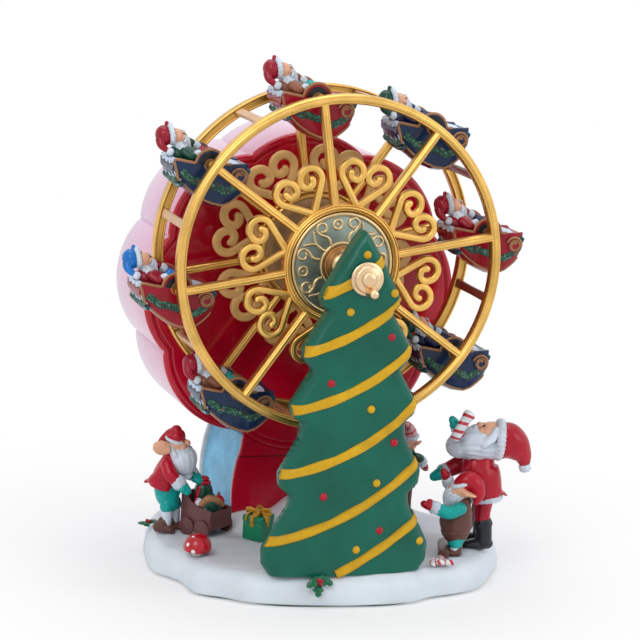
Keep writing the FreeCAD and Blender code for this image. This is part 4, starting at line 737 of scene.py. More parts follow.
def hoop(centre, normal, radius, tube, paint=0, sides=12, count=64, flat=1.0, strands=0, depth=0.0):
    """A ring of round section, whose tube may be lumpy along it."""
    path = circle_path(centre, normal, radius, count)
    swell = 1 + depth * np.sin(strands * np.linspace(0, 2 * pi, count, endpoint=False))
    section = round_section(tube, tube * flat, sides)[None] * swell[:, None, None]
    return sweep(path, section, normal, closed=True, paint=paint)


def turned(profile, centre, paint=0, axis="y", sides=96):
    """A profile of (radius, place along the axis) turned about an axis. A zero radius is a pole."""
    profile = np.asarray(profile, float)
    shift = np.asarray(centre, float)
    order = {"y": [0, 2, 1], "z": [0, 1, 2]}[axis]
    tips = [np.array([0, 0, place])[order] + shift if radius == 0 else None for radius, place in profile[[0, -1]]]
    profile = profile[tips[0] is not None:len(profile) - (tips[1] is not None)]
    closed = tips[0] is None and tips[1] is None
    a = np.linspace(0, 2 * pi, sides, endpoint=False)[None]
    radius, place = profile[:, :1], profile[:, 1:] + 0 * a
    grid = np.stack([radius * np.cos(a), radius * np.sin(a), place], axis=-1)[..., order] + shift
    return skin(grid, wrap_rows=closed, paint=paint, tips=tuple(tips))


def resample(points, count, closed=True):
    """Points at even steps along an outline."""
    p = np.asarray(points, float)
    if closed:
        p = np.vstack([p, p[:1]])
    run = np.concatenate([[0], np.cumsum(np.linalg.norm(np.diff(p, axis=0), axis=1))])
    at = np.linspace(0, run[-1], count, endpoint=not closed)
    return np.stack([np.interp(at, run, p[:, k]) for k in range(p.shape[1])], axis=-1)


def cushion(outline, low, high, edge, axis, paint=0, steps=5):
    """A flat outline thickened along an axis between two places: its edges are quarter circles of
    a radius."""
    outline = np.asarray(outline, float)
    tangent = unit(np.roll(outline, -1, axis=0) - np.roll(outline, 1, axis=0))
    inward = np.stack([-tangent[:, 1], tangent[:, 0]], axis=-1)
    area = np.sum(outline[:, 0] * np.roll(outline[:, 1], -1) - np.roll(outline[:, 0], -1) * outline[:, 1])
    inward *= np.sign(area)
    rows = []
    for bend in np.linspace(pi / 2, 0, steps):
        rows.append((edge * (1 - cos(bend)), low + edge * (1 - sin(bend))))
    for bend in np.linspace(0, pi / 2, steps):
        rows.append((edge * (1 - cos(bend)), high - edge * (1 - sin(bend))))
    grid = np.stack([np.insert(outline + inset * inward, axis, place, axis=1) for inset, place in rows])
    return skin(grid, paint=paint)


def piece(name, skins, finishes, body, slot, stands_for=(), sharp=42.0):
    """One object from skins, in metres at the origin, riding on a body."""
    offset, points, loops, sizes, tint, uv = 0, [], [], [], [], []
    for one in skins:
        points.append(one["points"])
        for faces, marks, coords in ((one["quads"], one["quad_paint"], one["quad_uv"]),
                                     (one["fans"], one["fan_paint"], one["fan_uv"])):
            loops.append((faces + offset).reshape(-1))
            sizes.append(np.full(len(faces), faces.shape[1]))
            tint.append(marks)
            uv.append(coords.reshape(-1, 2))
        offset += len(one["points"])
    points, loops = np.vstack(points) * 0.001, np.concatenate(loops)
    sizes, tint, uv = np.concatenate(sizes), np.concatenate(tint), np.vstack(uv)
    mesh = bpy.data.meshes.new(name)
    mesh.vertices.add(len(points))
    mesh.vertices.foreach_set("co", points.astype(np.float32).reshape(-1))
    mesh.loops.add(len(loops))
    mesh.loops.foreach_set("vertex_index", loops.astype(np.int32))
    mesh.polygons.add(len(sizes))
    starts = np.concatenate([[0], np.cumsum(sizes)[:-1]])
    mesh.polygons.foreach_set("loop_start", starts.astype(np.int32))
    mesh.polygons.foreach_set("material_index", tint.astype(np.int32))
    mesh.polygons.foreach_set("use_smooth", np.ones(len(sizes), bool))
    layer = mesh.uv_layers.new(name="along")
    layer.data.foreach_set("uv", uv.astype(np.float32).reshape(-1))
    mesh.update(calc_edges=True)
    mesh.validate()
    work = bmesh.new()
    work.from_mesh(mesh)
    bmesh.ops.recalc_face_normals(work, faces=work.faces)
    work.to_mesh(mesh)
    work.free()
    mesh.set_sharp_from_angle(angle=radians(sharp))
    for finish in finishes:
        mesh.materials.append(finish)
    made = bpy.data.objects.new(name, mesh)
    bpy.context.scene.collection.objects.link(made)
    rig.ride(made, body)
    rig.slot(made, slot)
    if stands_for:
        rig.replaces(made, *stands_for)
    return made


def recoat(node, finish):
    """Give a CAD node's own mesh a material."""
    target = frame["nodes"][node]
    target.data.materials.clear()
    target.data.materials.append(finish)


def figure_paints(*names):
    """Paints of the figures, by plain name."""
    # Each entry holds a name, a colour, a gloss and, where given, the share of the colour that hollows darken to as
    # painted shade, and the patch size.
    table = {
        "red": ("coat red", hue("coat_red"), 0.26),
        "white": ("beard white", hue("beard"), 0.50, 0.50, 0.006),
        "skin": ("face paint", hue("skin"), 0.40, 0.35, 0.005),
        "teal": ("teal paint", hue("teal"), 0.26),
        "brown": ("brown paint", hue("brown"), 0.34),
        "black": ("boot black", (0.018, 0.020, 0.026), 0.28),
        "green": ("dark green paint", (0.006, 0.055, 0.034), 0.30),
        "blue": ("bright blue paint", (0.006, 0.16, 0.52), 0.30),
        "copper": ("copper paint", hue("copper"), 0.34),
        "tan": ("tan trousers", (0.25, 0.085, 0.045), 0.36),
        "pink": ("pink paint", (0.55, 0.12, 0.16), 0.34),
        "crimson": ("hat crimson", (0.30, 0.006, 0.022), 0.26),
        "navy": ("navy paint", (0.012, 0.018, 0.075), 0.28),
    }
    return [resin_paint(*table[name]) for name in names]


# Base

BASE_EDGE = [
    (-63.6, 42.5), (-68.5, 22.4), (-70.2, 2.4), (-63.0, -12.6), (-60.8, -30.0), (-50.0, -39.4),
    (-36.0, -50.0), (-2.5, -58.0), (24.8, -58.2), (37.6, -52.6), (53.0, -48.5), (65.0, -41.5),
    (78.0, -23.0), (87.7, -3.3), (86.0, 22.0), (72.0, 42.0), (60.0, 66.0), (30.0, 80.0),
    (-20.0, 81.0), (-52.0, 66.0),
]
BASE_MIDDLE = np.array([6.0, 8.0])
COLLARS = ((CART_ELF, 9.0), (CART, 12.0), (TALL_FIGURE, 10.0), (APRON_ELF, 9.0), (TOADSTOOL, 6.0),
           ((44.5, -44.0, 0), 6.0))


def base_outline(count):
    """The slab's outline: a closed smooth curve, resampled at even steps."""
    edge = np.asarray(BASE_EDGE)
    lapped = spline(np.vstack([edge[-3:], edge, edge[:4]]), 26 * 40 + 1)
    return resample(lapped[3 * 40:-3 * 40 - 1], count)


def smooth_most(first, second, blend):
    """The larger of two heights, with a rounded change-over."""
    gap = np.maximum(blend - np.abs(first - second), 0) / blend
    return np.maximum(first, second) + gap ** 2 * blend / 4


def dome_height(x, y, middle, half, foot, height):
    """Height of half an ellipsoid that stands on a plane."""
    inside = 1 - ((x - middle[0]) / half[0]) ** 2 - ((y - middle[1]) / half[1]) ** 2
    return foot + height * np.sqrt(np.maximum(inside, 0)) - 6 * np.maximum(-inside, 0)


def snow_height(x, y):
    """Top of the snow: soft swells, a mound and a drift behind the tree, level ground under the drum
    and soft collars round the feet of the figures."""
    wave = shapes().snow_waves * 1000
    ground = BASE_TOP - 0.1 + wave * 0.5 * (np.sin(x * 0.13 + 1.0) * np.cos(y * 0.11 - 0.4)
                                            + 0.6 * np.sin(x * 0.31 - y * 0.23) + 0.4 * np.cos(y * 0.47 + x * 0.09))
    for (foot_x, foot_y, _), reach in COLLARS:
        away = np.hypot(x - foot_x, y - foot_y) / reach
        ground = ground + 0.5 * np.exp(-(away - 0.7) ** 2 * 9)
    tree_gap = np.hypot(np.maximum(np.abs(x) - 34, 0), np.maximum(np.abs(y + 48.5) - 5.5, 0))
    ground = ground + 1.3 * np.exp(-(tree_gap / 3.5) ** 2)
    mound = dome_height(x, y, (9.0, 16.0), (24.0, 30.0), 8.0, 22.0)
    drift = dome_height(x, y, (-16.0, 30.0), (22.0, 18.0), 8.0, 12.0)
    raised = smooth_most(smooth_most(ground, mound, 5.0), drift, 4.0)
    under = np.clip((y - 28.5) / 3.0, 0, 1) * np.clip((31.0 - np.abs(x)) / 3.0, 0, 1)
    return raised * (1 - under) + (BASE_TOP - 0.3) * under


def snow_cover():
    """Polar grid over the slab: a drooping, lobed rim and the snow's height inside it."""
    edge = base_outline(448)
    reach = np.hypot(*(edge - BASE_MIDDLE).T)
    ray = (edge - BASE_MIDDLE) / reach[:, None]
    turn = np.linspace(0, 2 * pi, len(edge), endpoint=False)
    lobe = 0.55 * np.sin(13 * turn + 0.7) + 0.45 * np.sin(22 * turn + 2.0)
    rows = []
    rim = [(0.6, 1.0), (0.2, 1.6), (0.0, 3.0), (0.1, 4.6), (0.5, 6.3), (1.2, 8.0), (2.2, 9.6),
           (3.5, 11.0), (5.0, 12.0)]
    for inset, height in rim:
        deep = inset + (0.7 + lobe * 0.6) * sin(min(1.0, height / 9.0) * pi) * 0.8
        spot = BASE_MIDDLE + ray * (reach - deep)[:, None]
        rows.append(np.column_stack([spot, np.full(len(spot), height)]))
    for share in np.concatenate([np.linspace(0.915, 0.16, 62), np.linspace(0.12, 0.02, 4)]):
        spot = BASE_MIDDLE + ray * (reach * share)[:, None]
        height = snow_height(*spot.T)
        droop = np.clip((reach * (1 - share) - 6.0) / 5.0, 0, 1)
        height = 12.0 + (height - 12.0) * (0.35 + 0.65 * droop * droop * (3 - 2 * droop))
        rows.append(np.column_stack([spot, height]))
    middle = np.append(BASE_MIDDLE, snow_height(*BASE_MIDDLE))
    return skin(rows, tips=(None, middle))


# Drum and pedestal

def lobe_outline(count=640):
    """The drum's flower outline: the farthest of eight equal circles in each direction."""
    turn = np.linspace(0, 2 * pi, count, endpoint=False)
    away = (turn + pi / LOBES) % (2 * pi / LOBES) - pi / LOBES
    reach = LOBE_REACH * np.cos(away) + np.sqrt(LOBE_RADIUS ** 2 - (LOBE_REACH * np.sin(away)) ** 2)
    return reach, turn


def drum_skins():
    """Moulded case: its rows step over the front face, a groove, a rounded rim, the lobed side and
    the open back."""
    reach, turn = lobe_outline()
    crease = np.exp(-(((turn + pi / 4) % (pi / 4) - pi / 8) / 0.012) ** 2)
    rows, paint = [], []
    steps = [(45.0, DRUM_FACE, 0), (20.0, 28.32, 0), (9.0, 28.28, 0), (5.0, 28.25, 0), (4.4, 28.32, 0),
             (4.0, 28.5, 0), (3.6, 28.42, 0), (3.2, 28.1, 0), (2.6, 28.0, 0), (1.8, 28.05, 0),
             (1.1, 28.3, 0), (0.55, 28.75, 0), (0.2, 29.3, 0), (0.05, 29.9, 1), (0.0, 30.8, 1)]
    steps += [(0.0, y, 1) for y in np.linspace(32.0, 76.2, 24)]
    steps += [(0.15, 77.3, 1), (0.7, 77.9, 1), (1.5, 78.0, 1), (2.2, 77.8, 1), (2.5, 77.2, 1),
              (2.5, 74.0, 1), (2.5, DRUM_FLOOR + 0.5, 1), (6.0, DRUM_FLOOR, 1), (40.0, DRUM_FLOOR, 1)]
    for inset, y, mark in steps:
        side = 0.55 * crease if 29 < y < 77.5 and inset < 1 else 0
        radius = np.maximum(reach - inset - side, 1.0)
        rows.append(np.stack([radius * np.cos(turn), np.full_like(turn, y), DRUM_HEIGHT + radius * np.sin(turn)],
                             axis=-1))
        paint.append(mark)
    tint = np.array(paint[:-1])[:, None]
    return [skin(rows, paint=tint, tips=((0, DRUM_FACE, DRUM_HEIGHT), (0, DRUM_FLOOR, DRUM_HEIGHT)))]


def pedestal_outline(extra, count=260):
    """Front view of the pedestal: foot, belly, neck, and the saddle under the drum's lowest lobe."""
    saddle, lobe_z = 37.3, DRUM_HEIGHT - LOBE_REACH
    horn_x = 24.0
    horn_z = lobe_z - (saddle ** 2 - horn_x ** 2) ** 0.5
    side = spline([(26.3 + extra, 13.0), (27.5 + extra, 22.0), (27.6 + extra, 31.0),
                   (26.3 + extra, 41.0), (24.2 + extra, 48.0), (horn_x, horn_z - 1.0)], 40)
    reach = np.arcsin((horn_x - 2.4) / saddle)
    arc = np.linspace(reach, -reach, 40)
    under = np.stack([saddle * np.sin(arc), lobe_z - saddle * np.cos(arc)], axis=-1)
    left = side[::-1] * (-1, 1)
    outline = resample(np.vstack([side, under, left]), count)
    soft = outline
    for _ in range(14):
        soft = (np.roll(soft, 1, axis=0) + 2 * soft + np.roll(soft, -1, axis=0)) / 4
    return np.where(outline[:, 1:] > 44.0, soft, outline)


def pedestal_skins():
    """Glossy front panel, pebbled block and proud rear panel, each an outline with rounded edges."""
    made = []
    layers = [(28.2, 30.5, 0.0, 0.6, 0), (30.5, 75.6, -0.7, 0.5, 1), (75.6, 78.0, 1.1, 0.9, 2)]
    for low, high, extra, edge, paint in layers:
        made.append(cushion(pedestal_outline(extra), low, high, edge, 1, paint=paint))
    return made


# Tree

TREE_SIDE = np.array([
    (0.0, 159.4), (3.2, 155.6), (9.4, 145.2), (17.2, 131.0), (16.3, 127.6), (13.6, 125.3),
    (23.3, 109.8), (23.2, 105.0), (18.9, 100.0), (27.4, 86.0), (26.8, 81.0), (22.3, 77.6),
    (23.1, 71.0), (31.2, 56.5), (30.6, 50.5), (25.9, 46.6), (26.4, 42.0), (32.5, 32.0), (36.7, 24.0),
    (36.4, 17.0), (33.4, 13.0),
])
TREE_BOW = 165.0
TREE_FRONT = -54.0
TREE_BACK = -43.0
GARLANDS = [
    ((-17.3, 132.6), (-5.1, 138.2), (9.0, 148.0)),
    ((-24.0, 108.2), (-1.6, 117.2), (17.8, 129.8)),
    ((-28.8, 83.5), (1.0, 94.0), (23.4, 109.4)),
    ((-33.5, 56.0), (-6.5, 64.0), (27.2, 86.8)),
    ((-36.9, 27.0), (-6.0, 37.5), (30.0, 61.5)),
    ((-6.0, 13.6), (12.8, 24.0), (33.0, 38.0)),
]
GOLD_BALLS = [(0.2, 149.7), (13.2, 133.4), (-5.8, 125.8), (5.6, 84.5), (9.9, 52.6), (2.3, 24.1), (31.6, 26.0)]
RED_BALLS = [(12.9, 115.0), (-12.4, 95.9), (16.8, 69.8), (-13.2, 47.5), (12.3, 32.0)]


def tree_half(z):
    """Half width of the tree at a height, with slightly rounded tips."""
    heights = TREE_SIDE[::-1, 1]
    fine = np.linspace(-0.7, 0.7, 5)
    return np.mean([np.interp(z + f, heights, TREE_SIDE[::-1, 0]) for f in fine], axis=0)


def tree_rim():
    """The tree's outline as a dense polyline."""
    z = np.linspace(TREE_SIDE[-1, 1], TREE_SIDE[0, 1], 420)
    half = tree_half(z)
    half[-1] = 0
    return np.vstack([np.column_stack([half, z]), np.column_stack([-half, z])])


def rim_distance(x, z):
    """Distance of points to the tree's outline."""
    rim = tree_rim()
    flat = np.column_stack([np.ravel(x), np.ravel(z)])
    near = np.min(np.hypot(flat[:, None, 0] - rim[None, :, 0], flat[:, None, 1] - rim[None, :, 1]), axis=1)
    return near.reshape(np.shape(x))


def bow(x):
    """The bowed front: an upright cylinder about an axis behind the tree."""
    return TREE_FRONT + TREE_BOW - np.sqrt(TREE_BOW ** 2 - np.asarray(x) ** 2)


def round_drop(distance, edge):
    """How far a quarter-round edge has fallen at a distance from its rim."""
    short = np.clip(edge - distance, 0, edge)
    return edge - np.sqrt(edge ** 2 - short ** 2)


def tree_face(x, z):
    """Front of the tree with its rounded edge."""
    return bow(x) + round_drop(rim_distance(x, z), shapes().tree_edge * 1000)


def tree_skins():
    """Rows by height; each row runs across the front and back across the rear. Faces fall away in
    a quarter round by their distance to the outline."""
    z = np.linspace(TREE_SIDE[-1, 1], TREE_SIDE[0, 1] - 0.3, 300)
    across = np.sin(np.linspace(-pi / 2, pi / 2, 60))
    half = tree_half(z)[:, None]
    x = half * across[None]
    zz = np.broadcast_to(z[:, None], x.shape)
    near = rim_distance(x, zz)
    near = np.where(zz < 20, np.maximum(half - np.abs(x), 0), near)
    front = bow(x) + round_drop(near, shapes().tree_edge * 1000)
    wave = 0.22 * np.sin(x * 0.35 + zz * 0.22) * np.clip(near / 5, 0, 1)
    back = TREE_BACK - round_drop(near, 1.5)
    ahead = np.stack([x, front + wave, zz], axis=-1)
    behind = np.stack([x, back, zz], axis=-1)[:, ::-1]
    return [skin(np.concatenate([ahead, behind], axis=1))]


def arc_through(low, middle, high, count):
    """Points on the circle through three points."""
    (ax, ay), (bx, by), (cx, cy) = low, middle, high
    d = 2 * (ax * (by - cy) + bx * (cy - ay) + cx * (ay - by))
    ux = ((ax * ax + ay * ay) * (by - cy) + (bx * bx + by * by) * (cy - ay) + (cx * cx + cy * cy) * (ay - by)) / d
    uy = ((ax * ax + ay * ay) * (cx - bx) + (bx * bx + by * by) * (ax - cx) + (cx * cx + cy * cy) * (bx - ax)) / d
    first, last = np.arctan2(ay - uy, ax - ux), np.arctan2(cy - uy, cx - ux)
    a = np.linspace(first, last, count)
    r = np.hypot(ax - ux, ay - uy)
    return np.column_stack([ux + r * np.cos(a), uy + r * np.sin(a)])


def garland_skins():
    """Raised straps that lie on the tree's face and wrap over its rounded edge."""
    made = []
    rise = shapes().garland_height * 1000
    for number, (low, middle, high) in enumerate(GARLANDS):
        line = arc_through(low, middle, high, 110)
        along = unit(np.gradient(line, axis=0))
        normal = np.column_stack([-along[:, 1], along[:, 0]])
        half = 2.1 * (1 + 0.06 * np.sin(np.linspace(0, 19, len(line)) + number))
        share = np.linspace(-1, 1, 11)
        spots = line[:, None] + (share[None] * half[:, None])[..., None] * normal[:, None]
        x, z = spots[..., 0], spots[..., 1]
        limit = tree_half(z) + 0.25
        x = np.clip(x, -limit, limit)
        face = tree_face(np.clip(x, -limit + 0.3, limit - 0.3), z)
        lift = rise * np.sqrt(np.maximum(1 - share ** 4, 0))[None]
        top = np.stack([x, face - lift, z], axis=-1)
        under = np.stack([x * 0.985, face + 1.2, z], axis=-1)[:, ::-1]
        made.append(skin(np.concatenate([top, under], axis=1)))
    return made


def tree_ball_skins():
    """Painted balls sunk into the face."""
    made = []
    for paint, group in ((0, GOLD_BALLS), (1, RED_BALLS)):
        for x, z in group:
            y = float(bow(x)) + 0.3
            made.append(ball((x, y, z), (1.75, 1.45, 1.75), paint=paint, rings=10, sides=18))
    return made


# Wheels

HUB = np.array([0.0, 0.0, AXLE_HEIGHT])


def ribbed_bar(half_width, half_depth, grooves, depth, sides=34):
    """Closed section of a moulded bar: flat back, half-round front cut by narrow grooves."""
    t = np.linspace(0, pi, sides)
    across = half_width * np.sign(np.cos(t)) * np.abs(np.cos(t)) ** 0.8
    out = -half_depth * 0.1 + half_depth * 1.1 * np.sin(t) ** 0.62
    for place in grooves:
        out = out - depth * np.exp(-((across / half_width - place) / 0.13) ** 2)
    back = np.array([(-half_width, -half_depth * 0.7), (-half_width * 0.8, -half_depth),
                     (half_width * 0.8, -half_depth), (half_width, -half_depth * 0.7)])
    return np.vstack([np.column_stack([across, out]), back])


def channel_bar(half_width, half_depth, channel, deep):
    """Closed section of a flat bar with a sunk channel along its front."""
    w, h, c = half_width, half_depth, channel
    return np.array([
        (w, h - 0.5), (w - 0.15, h - 0.15), (w - 0.5, h), (c + 0.15, h), (c, h - 0.15), (c - 0.2, h - deep + 0.1),
        (c - 0.5, h - deep), (0.5 - c, h - deep), (0.2 - c, h - deep + 0.1), (-c, h - 0.15), (-c - 0.15, h),
        (0.5 - w, h), (0.15 - w, h - 0.15), (-w, h - 0.5), (-w, 0.8 - h), (0.8 - w, -h), (w - 0.8, -h), (w, 0.8 - h),
    ])


def hoop_bar(y, radius, section, paint=0, count=220):
    """A rim: the section carried round the axle, its outer face to the front."""
    path = circle_path((0, y, AXLE_HEIGHT), FRONT, radius, count)
    return sweep(path, section, FRONT, closed=True, paint=paint)


def sector_point(u, v, angle):
    """A point along and across a direction in the wheel's plane."""
    c, s = cos(radians(angle)), sin(radians(angle))
    return np.stack([u * c - v * s, np.zeros_like(u), u * s + v * c], axis=-1)


def heart_path(sign, turned_to, last_radius):
    """Half a heart: a straight rise, an arc round the lobe, and a curl that winds inwards."""
    start, reach, side, lobe, curl = 25.0, 38.6, 6.0, 4.8, 3.1
    span = np.hypot(reach - start, side)
    touch = np.degrees(np.arctan2(-side, start - reach)) % 360 - np.degrees(np.arccos(lobe / span))
    low = side - lobe + curl
    a = np.radians(np.linspace(touch, -90, 26))
    arc = np.column_stack([reach + lobe * np.cos(a), side + lobe * np.sin(a)])
    b = np.radians(np.linspace(-90, -turned_to, 24))[1:]
    r = np.linspace(curl, last_radius, 24)[1:]
    inner = np.column_stack([reach + r * np.cos(b), low + r * np.sin(b)])
    line = np.linspace((start, 0.0), arc[0], 12)[:-1]
    path = np.vstack([line, arc, inner])
    return path[:, 0], sign * path[:, 1]


def wheel_skins(y, front):
    """One casting: rim, spokes, hub ring and sixteen half hearts."""
    groove = shapes().rib_groove * 1000
    if front:
        rim, ring = ribbed_bar(2.15, 2.5, (-0.52, 0.42), groove * 0.7, 40), ribbed_bar(1.75, 2.5, (-0.4, 0.4), groove)
    else:
        rim, ring = channel_bar(2.15, 2.5, 1.25, 0.8), channel_bar(1.75, 2.5, 0.95, 0.6)
    made = [hoop_bar(y, PIVOT_RADIUS, rim), hoop_bar(y, HUB_RING, ring, count=120)]
    arm = ribbed_bar(1.8 if front else 1.7, 2.3, (-0.40, 0.40), groove * 0.7)
    rod = ribbed_bar(1.5, 1.5, (-0.35, 0.35), groove * 0.5, 16) if front else round_section(1.9, 1.2, 18, 0.6)
    for k in range(SPOKES):
        angle = FIRST_SPOKE + SECTOR * k
        reach = np.linspace(25.2, 68.4, 30)
        line = sector_point(reach, np.zeros(30), angle) + HUB + (0, y, 0)
        made.append(sweep(line, arm, FRONT))
        for sign in (1, -1):
            u, v = heart_path(sign, 268 if front else 232, 2.2)
            path = sector_point(u, v, angle + SECTOR / 2) + HUB + (0, y, 0)
            made.append(sweep(path, rod, FRONT, paint=1))
            made.append(ball(path[-1], (1.55, 1.5 if front else 1.3, 1.55), paint=1, rings=8, sides=14))
    return made


def medallion_skins(y):
    """Cast disc: a dished ground with a raised lip, beads, rings, question-mark scrolls, forks and a
    copper boss, all as half-round lines on the ground."""
    face = y - 1.5
    profile = [(0.0, 1.5), (22.3, 1.5), (DISC_RADIUS, 1.2), (DISC_RADIUS, -1.2), (22.1, -1.45), (21.5, -1.5),
               (21.0, -1.35), (20.6, -1.3), (19.8, -1.4), (12.0, -1.6), (10.4, -1.5), (9.7, -1.55)]
    made = [turned(profile + [(8.0, -1.5), (0.0, -1.5)], (0, y, AXLE_HEIGHT), sides=128)]
    boss = [(0.0, -1.2), (8.3, -1.2), (8.3, -2.6), (7.9, -3.1), (7.2, -3.2), (6.6, -2.9), (6.0, -3.1), (5.4, -3.3),
            (0.0, -3.3)]
    made.append(turned(boss, (0, y, AXLE_HEIGHT), paint=2, sides=80))
    made.append(hoop((0, face - 0.1, AXLE_HEIGHT), FRONT, 9.3, 0.72, paint=1, flat=1.1, count=90))
    made.append(hoop((0, face + 0.1, AXLE_HEIGHT), FRONT, 21.5, 0.95, paint=1, flat=0.8, count=140))
    line = round_section(0.62, 0.62, 12)
    frame_at = HUB + (0, face - 0.12, 0)

    def relief(points, angle, width=1.0):
        path = spline(points, 44)
        place = sector_point(path[:, 0], path[:, 1], angle) + frame_at
        made.append(sweep(place, line * width, FRONT, paint=1))
        made.append(ball(place[-1], 0.62 * width, paint=1, rings=6, sides=10))

    curl = np.radians([150, 105, 60, 15, -30, -75, -120, -165, -200])
    hook_r = np.array([2.5, 2.5, 2.4, 2.3, 2.2, 2.0, 1.8, 1.6, 1.4])
    for k in range(4):
        angle = FIRST_SPOKE + 90 * k
        c, s = cos(radians(angle)), sin(radians(angle))
        made.append(hoop(frame_at + np.array([17.4 * c, 0, 17.4 * s]), FRONT, 1.95, 0.62, paint=1, count=36, sides=12))
        made.append(ball(frame_at + np.array([17.4 * c, 0.2, 17.4 * s]), (0.7, 0.5, 0.7), paint=1, rings=6, sides=12))
        for sign in (1, -1):
            hook = np.column_stack([16.6 + hook_r * np.cos(curl), sign * (7.0 + hook_r * np.sin(curl))])
            stem = [(9.4, sign * 3.9), (11.4, sign * 4.3), (12.8, sign * 5.4), (13.6, sign * 7.2)]
            relief(np.vstack([stem, hook]), angle)
        angle += 45
        relief([(9.6, 0), (12.0, 0.2), (15.0, 0)], angle, 1.1)
        for sign in (1, -1):
            relief([(14.6, 0), (16.2, sign * 0.9), (17.6, sign * 2.2), (18.8, sign * 3.4)], angle)
    return made


def rear_disc_skins(y):
    """Plain cast disc with stepped rings and a long boss towards the drum."""
    profile = [(0.0, 9.7), (6.6, 9.7), (7.4, 9.2), (7.6, 8.4), (7.6, 2.4), (8.4, 1.7), (21.8, 1.5), (DISC_RADIUS, 1.0),
               (DISC_RADIUS, -1.2), (21.9, -1.5), (19.4, -1.5), (18.8, -1.1), (13.0, -1.1), (12.4, -1.5), (0.0, -1.5)]
    return [turned(profile, (0, y, AXLE_HEIGHT), sides=96)]


def tie_bar_skins():
    """Bars between the rims, in the middle of each sector, with rounded edges and a slight waist."""
    made = []
    for k in range(SPOKES):
        angle = FIRST_SPOKE + SECTOR / 2 + SECTOR * k
        y = np.linspace(-19.6, 13.3, 22)
        waist = 1 - 0.10 * np.sin(np.linspace(0, pi, 22))
        middle = sector_point(np.full(22, PIVOT_RADIUS), np.zeros(22), angle) + HUB
        path = middle + np.column_stack([np.zeros(22), y, np.zeros(22)])
        out = np.array([cos(radians(angle)), 0, sin(radians(angle))])
        section = round_section(2.0, 1.1, 20, 0.45)[None] * np.stack([waist, np.ones(22)], axis=-1)[:, None]
        made.append(sweep(path, section, out))
    return made


def crank_skins():
    """Crank: a stepped disc with rounded rim, a low dome at its middle and a domed peg."""
    disc = [(0.0, -54.95), (6.6, -55.3), (7.0, -55.55), (7.0, -55.95), (6.75, -56.2), (6.2, -56.3), (5.75, -56.45),
            (5.5, -57.6), (5.1, -57.9), (3.5, -57.9), (3.1, -58.1), (2.9, -58.9), (2.5, -59.25), (1.4, -59.45),
            (0.0, -59.5)]
    peg = [(0.0, -57.0), (2.2, -57.0), (2.2, -57.95), (1.95, -58.3), (1.85, -58.8), (1.9, -62.4), (1.75, -63.2),
           (1.2, -63.8), (0.0, -63.95)]
    return [turned(disc, (0, 0, AXLE_HEIGHT), sides=72), turned(peg, (0.95, 0, AXLE_HEIGHT - 5.2), sides=36)]


def sleeve_skins():
    """Spacer sleeve between the tree's bush and the front disc, with turned collars."""
    profile = [(0.0, -41.6), (4.2, -41.6), (4.6, -41.2), (4.6, -40.0), (4.0, -39.4), (3.9, -33.0), (4.4, -32.4),
               (4.9, -31.6), (4.4, -30.8), (4.1, -30.2), (4.1, -26.8), (4.8, -26.2), (5.3, -25.6), (5.3, -25.3),
               (0.0, -25.3)]
    return [turned(profile, (0, 0, AXLE_HEIGHT), sides=56)]


# Tables of parts, from which the riders and figures are made

def waves(strands, depth, **more):
    """Settings for strands that run around a part."""
    return dict(strands=strands, depth=depth, **more)


def beard(depth):
    """Settings for a beard: strands that run down it, and a section that hangs upright."""
    return waves(shapes().beard_strands, depth, up=LEFT)


def sculpt(*rows, side=1):
    """Parts from rows of paint, rings, sides, numbers and further settings. A list of stations is a
    limb, 4 or 6 numbers are a ball's centre and radii, and 8 are a hoop's centre, axis, radius and
    tube. Side -1 mirrors the places."""
    made = []
    for paint, rings, sides, numbers, *more in rows:
        settings = more[0] if more else {}
        if isinstance(numbers, list):
            made.append(limb([(x, side * y, *rest) for x, y, *rest in numbers], paint, rings, sides, **settings))
            continue
        x, y, z, *rest = numbers
        if len(rest) == 5:
            made.append(hoop((x, side * y, z), rest[:3], *rest[3:], paint, sides, rings, **settings))
        else:
            made.append(ball((x, side * y, z), rest, paint, rings=rings, sides=sides, **settings))
    return made


def pair(*rows):
    """The same parts on the right and on the left."""
    return sculpt(*rows, side=-1) + sculpt(*rows)


# Sleighs and their riders, about the sleigh's pivot

HULL, TRIM, LEAFY, FROST, INSIDE, BERRY, ARCH = range(7)

SLEIGH_RIM = [(-16.0, -2.0), (-15.2, 1.4), (-14.4, 2.0), (-12.5, 1.7), (-9.0, 1.0), (-6.6, 0.6), (6.4, 0.2),
              (8.4, -1.3), (10.6, -1.0), (12.8, -0.8), (15.2, -1.3), (17.2, -2.6)]
SLEIGH_KEEL = [(-16.0, -2.8), (-14.0, -5.6), (-12.5, -7.2), (-8.5, -11.2), (-4.5, -14.6), (-1.5, -16.7), (2.0, -18.2),
               (6.0, -18.8), (9.5, -17.5), (12.4, -15.2), (14.2, -13.6), (16.2, -11.0), (17.2, -8.2)]
SLEIGH_BEAM = [(-16.0, 9.9), (-12.0, 10.7), (-4.0, 11.0), (6.0, 11.0), (12.0, 10.9), (15.0, 10.4), (17.2, 9.2)]
PROW = (12.9, -5.2)


def along_x(points, x):
    """Interpolate one of the sleigh's lines."""
    table = np.asarray(points)
    return np.interp(x, table[:, 0], table[:, 1])


def sleigh_top(x):
    """Rim of the side: a gentle line with an arch round the pivot."""
    arch = np.sqrt(np.maximum(6.2 ** 2 - x ** 2, 0))
    return np.maximum(along_x(SLEIGH_RIM, x), arch)


def side_point(x, height_share, proud=0.0):
    """A point on the sleigh's near side at a share of the height from rim to keel."""
    top, low, beam = sleigh_top(x), along_x(SLEIGH_KEEL, x), along_x(SLEIGH_BEAM, x)
    share = np.clip(height_share, 0, 1)
    z = top + (low - top) * share
    y = -beam * np.sqrt(np.maximum(1 - np.clip(share * 1.02 - 0.55, 0, 1) ** 2 * 2.2, 0.12))
    return np.stack([x, y - proud, z], axis=-1)


